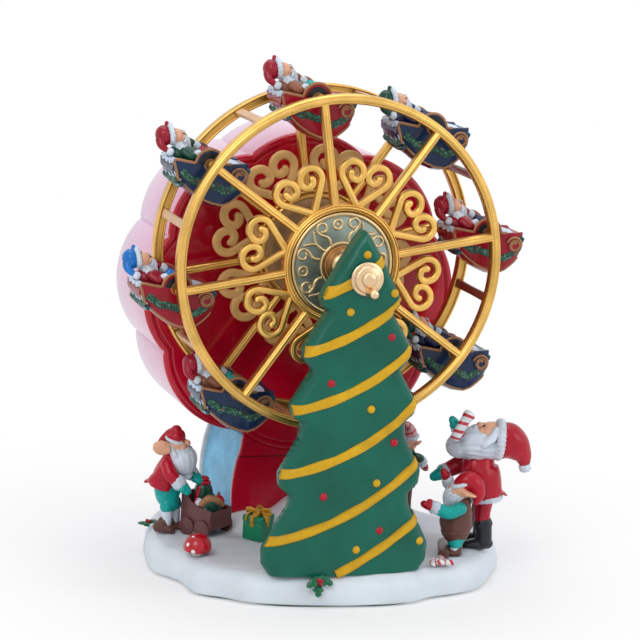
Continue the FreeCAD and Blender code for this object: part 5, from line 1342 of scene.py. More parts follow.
def both_sides(path_skins):
    """The same pieces on the near and the far side."""
    flip = np.diag([1.0, -1.0, 1.0])
    return path_skins + moved(path_skins, flip)


def sleigh_hull():
    """Rows from back to prow; each row runs down the near side, up the far side and round the cockpit."""
    x = np.sort(np.concatenate([np.linspace(-15.9, 17.1, 56), [-6.25, -6.0, 6.0, 6.25]]))
    share = np.concatenate([np.linspace(0.0, 0.55, 6), np.linspace(0.62, 1.0, 9)])
    outer = np.stack([side_point(x, s) for s in share], axis=1)
    outer[:, :, 1] *= np.where(share >= 1.0, 0.55, 1.0)
    far = outer[:, ::-1] * (1, -1, 1)
    top, beam = sleigh_top(x), along_x(SLEIGH_BEAM, x)
    open_part = 1 / (1 + np.exp(-(x + 13.4) / 0.25)) / (1 + np.exp((x - 9.4) / 0.25))
    floor = (top - 0.5) * (1 - open_part) + np.minimum(-6.0, top - 0.5) * open_part
    inner = []
    for across, blend in ((-0.6, 0.0), (-1.5, 0.02), (-2.1, 0.12), (-2.4, 0.9), (-3.2, 1.0)):
        z = top + 0.25 * (across > -1) + (floor - top) * blend
        inner.append(np.stack([x, beam + across, z], axis=-1))
    inner = np.stack(inner, axis=1)
    middle = np.stack([x, np.zeros_like(x), floor], axis=-1)[:, None]
    back = inner[:, ::-1] * (1, -1, 1)
    return skin(np.concatenate([outer, far, inner, middle, back], axis=1), paint=HULL)


def sleigh_skins():
    """Hull with a rolled prow, spiral lines, a dark arch, beads, a leafy swag and a frosted back."""
    made = [sleigh_hull()]
    roll = [(0.0, -11.6), (2.4, -11.6), (3.4, -11.2), (4.0, -10.2), (4.15, -8.6), (4.15, 8.6), (4.0, 10.2),
            (3.4, 11.2), (2.4, 11.6), (0.0, 11.6)]
    made.append(turned(roll, (PROW[0], 0, PROW[1]), sides=40))
    lip = [(15.2, -1.6), (16.6, -1.5), (17.9, -2.4), (17.3, -4.2), (15.9, -4.6), (15.0, -3.0)]
    made.append(board(lip, -10.4, 10.4, 0.6, paint=INSIDE, count=60))
    x = np.concatenate([np.linspace(-15.2, -6.4, 12), np.linspace(-6.0, 6.0, 30), np.linspace(6.4, 9.0, 6)])
    rim = side_point(x, np.zeros_like(x), 0.0) + (0, 0.3, 0.1)
    lines = [sweep(rim, round_section(0.62, 0.62, 10), FRONT, paint=TRIM)]
    keel_x = np.linspace(-13.2, 15.6, 40)
    lines.append(sweep(side_point(keel_x, np.full(40, 0.93), 0.12), round_section(0.5, 0.4, 8), FRONT, paint=TRIM))
    heel = np.linspace((-15.4, 0.9), (-13.2, -6.6), 12)
    lines.append(sweep(np.column_stack([heel[:, 0], np.full(12, -10.3), heel[:, 1]]), round_section(0.6, 0.5, 8),
                       FRONT, paint=TRIM))
    for start, first, last, thick in ((160, 3.9, 0.9, 0.55), (20, 2.6, 1.9, 0.4)):
        turn = np.radians(np.linspace(start, start - 470, 48))
        reach = np.linspace(first, last, 48)
        curl = np.column_stack([PROW[0] + reach * np.cos(turn), np.full(48, -11.65), PROW[1] + reach * np.sin(turn)])
        lines.append(sweep(curl, round_section(thick, 0.45, 10), FRONT, paint=TRIM))
    arc = np.radians(np.linspace(4, 176, 26))
    hollow = np.vstack([4.9 * np.column_stack([np.cos(arc), np.sin(arc)]),
                        2.3 * np.column_stack([np.cos(arc), np.sin(arc)])[::-1]])
    lines.append(board(hollow, -11.35, -10.7, 0.15, paint=ARCH, count=70))
    swag_x = np.linspace(-12.4, 15.6, 60)
    dip = 0.47 + 0.15 * np.sin(np.linspace(0.2, pi, 60) ** 0.9)
    lumps = 1 + 0.05 * np.sin(swag_x * 3.1) + 0.04 * np.sin(swag_x * 7.3 + 1)
    section = round_section(1.5, 0.6, 14)[None] * lumps[:, None, None]
    lines.append(sweep(side_point(swag_x, dip, 0.1), section, FRONT, paint=LEAFY))
    berries = [ball(side_point(np.array(v), np.array(0.56), 0.8), 0.36, paint=BERRY, rings=5, sides=8)
               for v in (-6.0, 3.5, 12.5)]
    made += both_sides(lines + berries)
    back = spline([(-14.9, 0, 1.9), (-14.2, 0, -1.6), (-13.4, 0, -4.4), (-12.0, 0, -7.2)], 16)
    edge = np.stack([np.column_stack([back[:, 0] - 1.1, np.full(16, y), back[:, 2]])
                     for y in np.linspace(-9.4, 9.8, 14)], axis=1)
    under = edge[:, ::-1] + (1.4, 0, 0.6)
    edge = edge + np.stack([-0.35 * np.sin(edge[..., 1] * 1.1), 0 * edge[..., 0], 0.3 * np.sin(edge[..., 1] * 1.7)],
                           axis=-1)
    made.append(skin(np.concatenate([edge, under], axis=1), paint=FROST))
    made += sculpt(
        (LEAFY, 30, 16, [(-13.8, -9.2, -6.4, 1.1, 1.3), (-12.6, 0, -7.6, 1.5), (-13.8, 9.2, -6.4, 1.1, 1.3)],
         waves(5, 0.12, up=RISE)),
        (INSIDE, 24, 16, [(-11.9, -9.4, -8.4, 1.0, 1.1), (-10.6, 0, -9.8, 1.4, 1.2), (-11.9, 9.4, -8.4, 1.0, 1.1)],
         dict(up=RISE)),
        (FROST, 12, 26, (10.6, 0, -0.9, 4.4, 9.6, 1.5), dict(lumps=4, depth=0.05)))
    return made + pair((TRIM, 30, 8, (0, 10.9, 0, 0, 1, 0, 2.35, 0.5)))


def rider_skins(style):
    """A bearded rider who lies back with the head to the left, knees up and mittens on the rim."""
    hat, mitten, coat = {"red": (RED, BROWN, TAN), "blue": (BLUE, BLUE, RED), "green": (RED, RED, GREEN),
                         "navy": (RED, NAVY, RED), "dark": (GREEN, NAVY, NAVY)}[style]
    made = sculpt(
        (coat, 20, 28, [(-11.6, 0, 2.6, 4.8, 3.8), (-8.5, 0, 2.2, 6.4, 4.4), (-4.5, 0, -0.4, 7.0, 4.6),
                        (-1.2, 0, -1.9, 7.0, 3.6)], dict(square=0.85)),
        (WHITE, 8, 22, [(-11.4, 0, 7.2, 2.8, 2.4), (-10.6, 0, 5.6, 4.2, 3.2)], waves(9, 0.08)),
        (SKIN, 14, 24, (-12.0, 0, 10.3, 3.0, 3.3, 3.3)),
        (SKIN, 8, 12, (-8.7, 0, 10.9, 1.1, 1.0, 0.95)),
        (SKIN, 8, 12, (-9.7, -1.6, 10.0, 0.8, 1.1, 0.9)),
        (SKIN, 8, 12, (-9.7, 1.6, 10.0, 0.8, 1.1, 0.9)),
        (WHITE, 18, 30, [(-10.2, 0, 9.0, 3.0, 1.5), (-8.6, 0, 7.0, 2.9, 1.4), (-7.2, 0, 5.0, 1.9, 1.0),
                         (-6.4, 0, 3.6, 0.8, 0.5)], waves(9, 0.10, up=LEFT)),
        (WHITE, 16, 10, [(-8.9, -2.4, 8.5, 0.5), (-8.3, 0, 9.6, 0.7, 0.65), (-8.9, 2.4, 8.5, 0.5)], dict(up=AHEAD)))
    made += pair(
        (BLACK, 5, 8, (-9.2, 1.1, 11.8, 0.32, 0.32, 0.38)),
        (WHITE, 6, 8, [(-9.2, 2.0, 12.5, 0.32, 0.28), (-9.0, 0.9, 12.7, 0.42, 0.32)]),
        (TAN, 26, 18, [(-3.0, 3.4, -1.6, 2.8), (0.4, 3.7, 1.0, 2.6), (3.4, 3.9, 3.0, 2.3), (5.8, 3.9, 1.8, 2.1),
                       (7.4, 3.8, -1.0, 1.8, 1.9)], dict(up=LEFT)),
        (WHITE, 6, 16, [(7.2, 3.8, -0.8, 2.1), (7.6, 3.8, -2.4, 1.8, 2.0)], waves(7, 0.07, up=LEFT)))
    made += sculpt(
        (hat, 18, 28, (-17.3, 0.2, 10.6, 3.7, 4.1, 4.3), dict(turn=spin_y(18), lumps=3, depth=0.015)),
        (hat, 14, 18, [(-15.4, 0, 12.9, 2.6), (-16.0, 0, 14.6, 1.7, 1.6), (-16.5, 0.2, 15.8, 0.9, 0.8)],
         dict(up=LEFT)),
        (hat, 18, 18, [(-19.0, -0.8, 8.8, 2.2, 2.3), (-19.0, -2.2, 7.0, 1.8), (-17.8, -3.4, 5.6, 1.4),
                       (-16.8, -4.0, 5.0, 1.0)], dict(up=LEFT)),
        (WHITE, 60, 14, (-14.7, 0, 11.3, 0.985, 0, 0.17, 3.75, 1.15), waves(15, 0.09)),
        (WHITE, 10, 16, (-15.7, -4.4, 4.4, 1.7), dict(lumps=5, depth=0.06)),
        (coat, 14, 16, [(-9.8, -5.0, 4.4, 2.1), (-7.4, -6.9, 2.6, 2.0), (-4.6, -7.0, 3.4, 1.7)]),
        (WHITE, 5, 18, [(-4.9, -6.9, 3.3, 2.0), (-3.8, -6.8, 3.7, 2.0)], waves(7, 0.07)),
        (mitten, 12, 18, [(-3.6, -6.6, 3.8, 1.7, 1.8), (-1.6, -6.1, 4.4, 2.1, 2.3), (0.6, -5.6, 4.2, 1.8, 2.0)]),
        (mitten, 7, 10, (-1.8, -5.1, 6.0, 1.2, 0.9, 1.0)),
        (coat, 16, 16, [(-9.6, 4.8, 5.2, 2.1), (-5.8, 6.4, 7.2, 1.9), (-2.0, 6.2, 5.6, 1.7)]),
        (WHITE, 5, 18, [(-2.2, 6.2, 5.7, 2.0), (-1.2, 6.1, 5.0, 2.0)], waves(7, 0.07)),
        (mitten, 10, 16, [(-1.0, 6.0, 4.8, 1.7), (1.2, 5.6, 3.4, 2.0, 2.1)]),
        (COPPER, 14, 16, [(-7.6, -6.6, 0.2, 1.8, 1.2), (-3.0, -7.0, -0.4, 2.4, 1.3), (2.2, -6.9, -0.2, 2.1, 1.3)],
         waves(8, 0.09)),
        (coat, 14, 26, [(-4.0, 0, -3.2, 7.6, 1.6), (2.0, 0, -3.6, 7.6, 1.4), (7.4, 0, -4.0, 7.2, 1.2)],
         dict(up=RISE, square=0.7)))
    return made


# Standing figures: +X is ahead, +Y to their left, +Z up, feet at nought

def face_skins(x, z, r, nose, brow=True):
    """A round face with a bulb nose, cheeks, small dark eyes and brows, looking along +X."""
    halves = [(SKIN, 8, 14, (x + r * 0.72, r * 0.50, z - r * 0.22, r * 0.32, r * 0.34, r * 0.28)),
              (BLACK, 6, 10, (x + r * 0.86, r * 0.36, z + r * 0.20, r * 0.09, r * 0.09, r * 0.12))]
    if brow:
        halves.append((WHITE, 6, 8, [(x + r * 0.80, r * 0.58, z + r * 0.40, 0.32, 0.28),
                                     (x + r * 0.96, r * 0.26, z + r * 0.47, 0.46, 0.36)]))
    return sculpt((SKIN, 16, 26, (x, 0, z, r * 0.95, r, r * 1.04)),
                  (SKIN, 10, 14, (x + r, 0, z - 0.05 * r, nose, nose * 0.92, nose * 0.9))) + pair(*halves)


def cuffed_arm(points, sleeve, mitten, palm, r):
    """Sleeve along points, a furry cuff and a mitten with a thumb towards the palm side."""
    made = [limb(points, sleeve, 18, 18)]
    end, before = (np.array(p[:3], float) for p in (points[-1], points[-2]))
    ahead = unit(end - before)
    made.append(limb([(*(end - ahead * 0.5), r + 0.3), (*(end + ahead * 0.9), r + 0.35)],
                     WHITE, 6, 22, **waves(9, 0.06)))
    hand = end + ahead * 1.2
    made.append(limb([(*hand, r * 0.80, r * 0.72), (*(hand + ahead * 2.2), r * 1.08, r * 0.80),
                      (*(hand + ahead * 4.0), r * 0.85, r * 0.66)], mitten, 12, 18))
    thumb = hand + ahead * 1.2 + np.asarray(palm, float) * r * 0.9
    made.append(limb([(*(hand + ahead * 0.6), r * 0.45), (*thumb, r * 0.42), (*(thumb + ahead * 1.1), r * 0.33)],
                     mitten, 8, 10))
    return made


def cart_elf_skins():
    """Old elf who leans over the cart: flared red coat, full grey beard, big flat ears and a red cap."""
    made = sculpt(
        (RED, 26, 34, [(-0.6, 0, 20.4, 7.4, 6.2), (0.4, 0, 25.0, 6.6, 5.8), (2.2, 0, 30.0, 5.6, 5.0),
                       (3.4, 0, 34.2, 4.2, 4.0)], waves(5, 0.03, up=AHEAD, blunt=(0.12, 0.7))),
        (RED, 14, 24, [(-2.6, 0, 24.4, 3.2, 6.2), (-5.4, 0, 22.8, 2.2, 5.0), (-7.6, 0, 21.9, 0.9, 2.2)],
         dict(up=LEFT)),
        (TEAL, 16, 28, [(1.2, 0, 19.4, 6.0, 5.6), (1.6, 0, 16.0, 5.8, 5.4), (2.6, 0, 12.9, 4.6, 4.0)],
         waves(4, 0.03, up=AHEAD)))
    for side, x in ((-1, 1.6), (1, 3.4)):
        made += sculpt(
            (TEAL, 8, 18, [(x + 0.4, 2.8, 13.4, 3.0), (x + 0.6, 2.9, 11.8, 3.1)]),
            (WHITE, 14, 18, [(x + 0.6, 2.9, 12.2, 2.4), (x + 0.8, 3.0, 8.0, 2.3), (x + 0.4, 3.1, 4.0, 2.5)],
             waves(5, 0.04)),
            (BROWN, 6, 18, [(x - 0.2, 3.1, 5.2, 2.8), (x - 0.2, 3.1, 3.6, 3.0, 2.9)], waves(5, 0.05)),
            (BROWN, 16, 20, [(x - 3.0, 3.1, 2.5, 2.5, 2.4), (x, 3.2, 2.7, 3.0, 2.6), (x + 2.8, 3.4, 2.0, 2.4, 1.9)],
             waves(5, 0.03)), side=side)
    made += moved(face_skins(0.0, 0.0, 4.8, 1.7, brow=False), spin_y(20), (4.7, 0.0, 39.2))
    made += pair(
        (SKIN, 20, 24, [(2.8, 4.2, 38.8, 2.2, 1.3), (0.6, 5.0, 38.6, 3.2, 1.2), (-1.6, 5.5, 38.8, 3.2, 1.0),
                        (-3.2, 5.8, 39.2, 2.2, 0.7)], dict(up=LEFT, blunt=(0.2, 0.5))),
        (WHITE, 12, 14, [(9.4, 0.6, 38.2, 1.2, 1.1), (9.8, 2.2, 37.8, 1.5, 1.3), (9.0, 3.8, 37.6, 1.0, 0.9)],
         waves(5, 0.06)),
        (WHITE, 12, 14, [(3.6, 3.9, 40.2, 0.9, 0.6), (4.4, 4.1, 38.2, 1.5, 0.9), (5.8, 4.2, 36.0, 2.2, 1.4)],
         waves(5, 0.06)))
    made += sculpt(
        (PINK, 7, 12, (10.6, 0, 37.4, 1.0, 1.3, 0.8)),
        (WHITE, 26, 52, [(5.4, 0, 36.8, 4.6, 4.8), (7.4, 0, 34.0, 6.2, 6.0), (8.6, 0, 30.8, 5.6),
                         (9.6, 0, 28.2, 4.0, 4.2), (10.2, 0, 26.6, 2.2, 2.4)], beard(0.03)),
        (WHITE, 48, 12, (4.2, 0, 41.6, 0.26, 0, 1.0, 4.1, 0.8), waves(15, 0.06)),
        (RED, 20, 26, [(4.0, 0, 42.0, 4.3), (4.4, 0, 44.2, 3.9), (4.2, 0, 46.0, 2.4)], dict(up=LEFT)),
        (RED, 22, 20, [(3.4, 0.2, 44.8, 2.4, 2.6), (1.0, 0.6, 43.8, 2.0, 2.2), (-1.8, 1.0, 41.2, 1.5, 1.6),
                       (-3.8, 1.0, 38.4, 1.0)], dict(up=LEFT)),
        (PINK, 10, 16, (-4.4, 1.0, 37.0, 1.8)))
    near = [(2.2, -5.4, 31.6, 2.9), (4.6, -7.2, 27.6, 3.1), (8.0, -6.8, 24.6, 2.8)]
    far = [(2.4, 5.2, 31.6, 2.9), (6.4, 6.6, 28.4, 3.0), (9.8, 5.8, 26.2, 2.7)]
    made += cuffed_arm(near, RED, TEAL, (0, 0.8, 0.5), 2.9)
    made += cuffed_arm(far, RED, TEAL, (0, -0.8, 0.5), 2.9)
    return made


def tall_figure_skins():
    """Stout bearded figure in red who throws the head back and lifts a striped stick."""
    made = sculpt(
        (RED, 28, 38, [(-1.6, 0, 22.4, 8.4, 7.8), (-1.2, 0, 27.2, 8.6, 8.2), (0.2, 0, 32.4, 8.6),
                       (1.0, 0, 36.8, 7.4, 7.8), (0.0, 0, 41.6, 5.0, 5.6)],
         waves(5, 0.025, up=AHEAD, blunt=(0.08, 0.6))),
        (RED, 12, 22, [(-6.0, 0, 27.6, 3.2, 6.4), (-8.0, 0, 26.0, 2.1, 5.4), (-9.8, 0, 24.8, 0.7, 3.4)],
         dict(up=LEFT)),
        (WHITE, 70, 14, (-1.7, 0, 22.3, 0.06, 0, 1, 7.2, 1.5), waves(21, 0.08)))
    made += pair(
        (RED, 16, 22, [(-1.6, 3.7, 22.0, 4.2), (-1.2, 4.0, 16.0, 3.6), (-1.6, 4.2, 11.2, 3.5)], waves(4, 0.03)),
        (BLACK, 5, 20, [(-1.8, 4.2, 11.6, 4.1), (-1.9, 4.2, 10.4, 4.1)], waves(7, 0.05)),
        (BLACK, 14, 20, [(-2.0, 4.2, 10.6, 3.8), (-2.4, 4.3, 6.4, 3.8, 3.7), (-2.4, 4.4, 3.4, 4.1, 3.8)]),
        (BLACK, 14, 20, [(-4.0, 4.4, 2.5, 3.1, 2.5), (0.2, 4.6, 2.4, 3.5, 2.4), (4.6, 5.0, 1.9, 2.8, 1.9)]))
    made += moved(face_skins(0.0, 0.0, 5.9, 1.9, brow=False), spin_y(44), (-2.8, 0.0, 50.2))
    made += sculpt(
        (RED, 40, 32, [(-8.0, 0, 48.2, 8.2, 7.6), (-11.2, 0, 47.4, 8.6, 7.8), (-14.6, 0, 45.2, 7.0, 6.6),
                       (-17.6, 0, 41.6, 4.4), (-19.0, 0, 38.2, 2.6)], waves(3, 0.03, up=LEFT, blunt=(0.2, 0.5))),
        (WHITE, 90, 18, (-7.2, 0, 48.3, 0.995, 0, 0.06, 7.3, 1.95), waves(25, 0.08)),
        (WHITE, 6, 22, [(-19.0, 0, 37.2, 2.6), (-19.5, 0, 35.2, 2.5)], waves(7, 0.06, up=LEFT, blunt=(0.3, 0.5))),
        (WHITE, 34, 60, [(-5.0, 0, 46.2, 6.8, 6.2), (-0.6, 0, 46.0, 7.4), (4.2, 0.6, 46.4, 7.2, 9.0),
                         (7.6, 1.0, 45.9, 6.8, 8.4), (10.4, 1.2, 45.2, 5.4, 6.6)], beard(0.03)),
        (PINK, 8, 12, (4.4, 0, 53.0, 1.1, 1.5, 0.8)))
    made += pair(
        (WHITE, 14, 16, [(3.6, 0.8, 53.4, 1.3, 1.1), (4.6, 3.0, 51.6, 1.9, 1.4), (5.4, 5.4, 49.2, 1.1, 0.9)],
         waves(5, 0.08)),
        (WHITE, 16, 18, [(-5.0, 5.0, 53.4, 1.9, 1.6), (-3.2, 5.4, 50.0, 3.2, 2.2), (0.4, 5.8, 47.2, 3.6, 2.4)],
         waves(5, 0.08)))
    near = [(2.0, 1.0, 41.0, 2.4), (7.0, 2.4, 46.4, 2.2), (11.8, 5.4, 53.6, 1.9)]
    made += cuffed_arm(near, RED, TEAL, (0.6, 0.2, -0.2), 2.7)
    far = [(3.0, -4.6, 38.4, 3.9), (8.6, -7.4, 34.6, 4.0), (14.8, -6.2, 31.6, 3.3)]
    made += cuffed_arm(far, RED, TEAL, (0, 0.5, 0.9), 3.2)
    return made


def stick_skins():
    """Striped stick with rounded ends that the tall figure lifts."""
    path = spline([(14.2, 11.4, 50.0), (12.4, 11.3, 53.6), (9.8, 10.6, 58.4), (7.0, 9.8, 62.6)], 44)
    section = round_section(2.2, 2.2, 24)
    ends = np.sqrt(np.clip(1 - np.linspace(-1, 1, 44) ** 14, 0.05, 1))
    taper = ends * np.interp(np.linspace(0, 1, 44), [0, 0.7, 0.88, 1], [1, 1, 1.25, 1.2])
    return [sweep(path, section[None] * taper[:, None, None], LEFT)]


def apron_elf_skins():
    """Small elf on a log: red hat, big ears, teal sleeves, a brown vest and raised red mittens."""
    made = sculpt(
        (BROWN, 24, 32, [(1.2, 0, 10.8, 5.6, 6.2), (0.8, 0, 14.8, 6.2, 7.2), (-0.4, 0, 19.4, 5.6, 5.9),
                         (-1.4, 0, 23.6, 3.8)], waves(4, 0.035, up=AHEAD)),
        (BROWN, 50, 10, (1.2, 0, 10.8, 0.06, 0, 1, 5.6, 0.7), waves(9, 0.08)),
        (TEAL, 12, 26, [(0.4, 0, 10.0, 4.8, 4.6), (0.6, 0, 7.4, 4.4, 4.2), (0.8, 0, 5.4, 3.4)], dict(up=AHEAD)))
    made += pair(
        (TEAL, 6, 16, [(0.8, 2.1, 6.6, 2.5), (1.0, 2.3, 5.2, 2.4)]),
        (WHITE, 8, 16, [(1.0, 2.3, 5.4, 1.8), (1.2, 2.4, 3.2, 1.8)], waves(5, 0.05)),
        (BROWN, 12, 16, [(-0.6, 2.5, 1.7, 1.9, 1.6), (2.4, 2.8, 1.6, 2.2, 1.6), (5.4, 3.2, 1.5, 1.7, 1.3)]))
    made += face_skins(-0.4, 29.6, 4.3, 1.55, brow=False)
    made += sculpt((WHITE, 26, 44, [(0.8, 0, 27.6, 4.5, 3.5), (2.4, 0, 25.6, 4.9, 3.7), (3.0, 0, 23.2, 4.1, 3.1),
                                    (2.6, 0, 21.2, 2.3, 1.9)], beard(0.06)))
    made += pair(
        (WHITE, 10, 14, [(3.5, 0.4, 28.0, 0.8), (3.9, 2.0, 27.5, 1.1, 1.0), (3.1, 3.4, 27.2, 0.7)], waves(5, 0.08)),
        (SKIN, 14, 16, [(-1.4, 3.7, 29.2, 1.5, 0.9), (-3.4, 5.2, 28.6, 2.2, 1.0), (-5.8, 6.4, 28.2, 1.1, 0.6)],
         dict(up=RISE)))
    made += sculpt(
        (RED, 34, 26, [(-1.0, 0, 31.4, 4.3, 4.2), (-3.0, 0, 33.0, 4.6, 4.4), (-5.8, 0.2, 32.0, 4.3, 4.2),
                       (-7.4, 0.8, 29.0, 3.4, 3.3), (-7.6, 1.4, 26.2, 2.3), (-7.0, 1.8, 24.2, 1.3)],
         waves(3, 0.03, up=LEFT)),
        (WHITE, 56, 12, (-0.3, 0, 31.9, 0.32, 0, 1.0, 3.9, 0.95), waves(15, 0.08)))
    near = [(-0.6, 4.6, 22.0, 2.8), (4.4, 6.8, 20.4, 2.9), (10.2, 7.2, 22.2, 2.6)]
    far = [(-1.0, -4.6, 22.4, 2.7), (2.0, -7.0, 24.4, 2.7), (5.0, -6.8, 30.2, 2.4)]
    made += cuffed_arm(near, TEAL, RED, (0, -0.5, 0.8), 2.5)
    made += cuffed_arm(far, TEAL, RED, (0, 0.8, 0.4), 2.4)
    made += sculpt((BROWN, 24, 24, [(5.8, -9.4, 2.3, 2.3), (5.6, 0, 2.4, 2.5, 2.4), (5.8, 9.2, 2.3, 2.3)],
                    waves(9, 0.05, up=RISE, blunt=(0.15, 0.15))))
    return made


def peeking_elf_skins():
    """Elf with a striped hat and a dark green coat who looks out from behind the tree."""
    made = sculpt(
        (GREEN, 22, 30, [(1.8, 0, 18.4, 4.4, 4.0), (1.4, 0, 24.4, 4.4, 4.2), (0.8, 0, 30.4, 3.8), (0.6, 0, 34.4, 2.8)],
         waves(5, 0.03, up=AHEAD, blunt=(0.15, 0.6))),
        (WHITE, 50, 10, (1.8, 0, 18.6, 0, 0, 1, 3.9, 0.8), waves(15, 0.07)))
    made += pair(
        (BROWN, 16, 18, [(2.2, 2.2, 19.0, 2.3), (2.4, 2.3, 12.0, 2.1), (2.4, 2.5, 6.6, 2.1)]),
        (BLACK, 10, 18, [(2.2, 2.5, 7.4, 2.5), (2.0, 2.6, 3.2, 2.5)]),
        (BLACK, 12, 16, [(0.4, 2.6, 1.8, 2.2, 1.8), (2.8, 2.8, 1.7, 2.4, 1.7), (5.4, 3.0, 1.4, 1.8, 1.3)]))
    made += face_skins(1.0, 38.6, 4.1, 1.45)
    made += sculpt((WHITE, 18, 36, [(2.2, 0, 36.8, 3.6, 2.6), (3.4, 0, 34.8, 3.3, 2.4), (3.4, 0, 32.8, 2.0, 1.5)],
                    beard(0.06)))
    made += pair(
        (WHITE, 10, 12, [(4.8, 0.4, 37.0, 0.7), (5.1, 1.9, 36.8, 0.9, 0.8), (4.3, 3.0, 36.6, 0.5)]),
        (SKIN, 12, 14, [(0.8, 3.6, 38.4, 1.3, 0.8), (-0.4, 4.4, 38.8, 1.5, 0.8), (-1.4, 4.9, 39.4, 0.8, 0.5)],
         dict(up=RISE)))
    made += sculpt((WHITE, 50, 12, (0.8, 0, 41.0, 0.2, 0, 1.0, 3.75, 0.9), waves(15, 0.07)))
    near = [(0.2, 3.4, 32.2, 2.2), (-2.2, 4.2, 31.4, 2.1), (-3.8, 3.8, 29.8, 1.9)]
    far = [(0.4, -4.2, 31.6, 2.4), (2.4, -6.2, 27.2, 2.4), (5.8, -5.6, 24.4, 2.2)]
    made += cuffed_arm(near, GREEN, RED, (0, -0.7, 0.6), 2.3)
    made += cuffed_arm(far, GREEN, RED, (0, 0.7, 0.6), 2.3)
    return made


def striped_hat_skins():
    """Stocking hat of the elf behind the tree."""
    line = [(0.8, 0, 41.2, 3.8), (1.2, 0, 43.4, 3.5), (2.0, 0, 45.4, 2.6), (3.4, 0, 46.8, 1.7), (5.2, 0, 46.6, 1.1),
            (6.4, 0, 45.0, 0.8)]
    return [limb(line, rings=34, sides=28, up=LEFT)]


# Cart, gifts and trimmings

def board(outline, low, high, edge=0.45, paint=0, count=90):
    """A board with rounded edges from its outline in x and z, between two places across."""
    return cushion(resample(outline, count), low, high, edge, 1, paint=paint)


def cart_skins():
    """Boards of the cart: sides that rise in a curve to the back, ends, floor, rails and wheels."""
    length, half, wall = 8.25, 7.75, 1.6
    side = [(-length, 3.7), (length, 3.7), (length, 11.4), (5.0, 11.6), (1.0, 12.3), (-3.0, 14.0), (-5.6, 16.4),
            (-6.9, 18.4), (-length, 18.4)]
    made = [board(side, -half, wall - half), board(side, half - wall, half)]
    for low, high, top in ((-length + 0.2, wall - length, 18.2), (length - wall, length - 0.2, 11.2)):
        panel = [(-half + 0.3, 3.8), (half - 0.3, 3.8), (half - 0.3, top), (0.0, top + 0.5), (-half + 0.3, top)]
        made.append(cushion(resample(panel, 90), low, high, 0.4, 0))
    made.append(board([(-length + 0.4, 3.7), (length - 0.4, 3.7), (length - 0.4, 5.2), (-length + 0.4, 5.2)],
                      wall - half, half - wall, 0.3))
    rail = spline([(x, 0, z) for x, z in side[2:8]], 30)
    for y in (-half + 0.8, half - 0.8):
        made.append(sweep(rail + (0, y, 0.1), round_section(1.05, 0.55, 12), LEFT))
    wheel = [(0.0, -0.75), (1.0, -0.75), (1.2, -0.45), (1.3, -0.15), (2.7, -0.1), (2.9, -0.55), (3.4, -0.7),
             (3.9, -0.5), (4.0, 0.0), (3.9, 0.5), (3.4, 0.7), (0.0, 0.7)]
    for x in (-4.1, 4.1):
        for sign in SIDES:
            made.append(turned([(r, sign * h) for r, h in wheel], (x, sign * 8.45, 4.0), sides=40))
            for k in range(6):
                a = radians(60 * k + 20)
                spoke = np.array([(x + r * cos(a), sign * 8.75, 4.0 + r * sin(a)) for r in np.linspace(0.7, 3.1, 5)])
                made.append(sweep(spoke, round_section(0.4, 0.35, 8), LEFT))
    return made


def cart_gift_skins():
    """Heap in the cart: a sack tied with red ribbon, parcels, a loaf-shaped bun and a sweet."""
    made = sculpt(
        (GREEN, 12, 30, [(0, 0, 5.4, 6.2, 5.8), (0, 0, 9.0, 6.3, 5.9), (0, 0, 11.6, 5.4, 5.0)],
         dict(up=AHEAD, square=0.6, blunt=(0.2, 0.4))),
        (GREEN, 24, 30, [(-3.4, 1.4, 9.0, 3.6), (-3.2, 1.4, 13.4, 4.2, 4.0), (-2.9, 1.2, 17.4, 3.4, 3.2),
                         (-2.8, 1.2, 19.6, 1.7, 1.6)], waves(7, 0.05, up=AHEAD)),
        (RED, 40, 10, (-2.8, 1.2, 19.2, 0, 0.1, 1, 2.2, 0.75), waves(9, 0.12)),
        (RED, 8, 16, (-2.8, 1.2, 20.6, 2.3, 1.9, 1.1), dict(lumps=4, depth=0.10)),
        (GREEN, 16, 24, [(3.0, -1.6, 9.4, 3.0), (3.2, -1.6, 12.6, 3.3, 3.1), (3.1, -1.6, 14.8, 2.0)],
         waves(6, 0.05, up=AHEAD)),
        (COPPER, 24, 16, [(1.4, -5.0, 12.4, 1.1, 1.3), (3.6, -3.6, 14.6, 1.4, 1.5), (5.6, -0.6, 13.8, 1.4, 1.5),
                          (6.2, 2.2, 12.0, 1.1, 1.2)], waves(6, 0.05)),
        (WHITE, 10, 18, (-0.4, -4.6, 12.6, 1.9, 1.5, 1.9)),
        (RED, 30, 8, (-0.4, -5.4, 12.6, 0.2, -1, 0.1, 1.2, 0.42)),
        (RED, 12, 20, (3.2, 3.6, 12.4, 2.5, 2.3, 2.5)),
        (TAN, 5, 10, [(3.2, 3.6, 14.6, 0.7), (3.2, 3.6, 15.6, 0.6)]))
    ribbon = spline([(-6.9, 0.4, 11.0), (-6.8, 0.9, 14.6), (-5.2, 1.1, 18.0)], 16)
    made.append(sweep(ribbon, round_section(0.9, 0.35, 10), (-1, 0, 0.2), paint=0))
    near = spline([(-3.2, -2.6, 9.0), (-3.1, -2.9, 13.2), (-2.9, -2.0, 17.2), (-2.8, -0.4, 19.0)], 20)
    made.append(sweep(near, round_section(0.9, 0.35, 10), (0, -1, 0.2), paint=0))
    return made


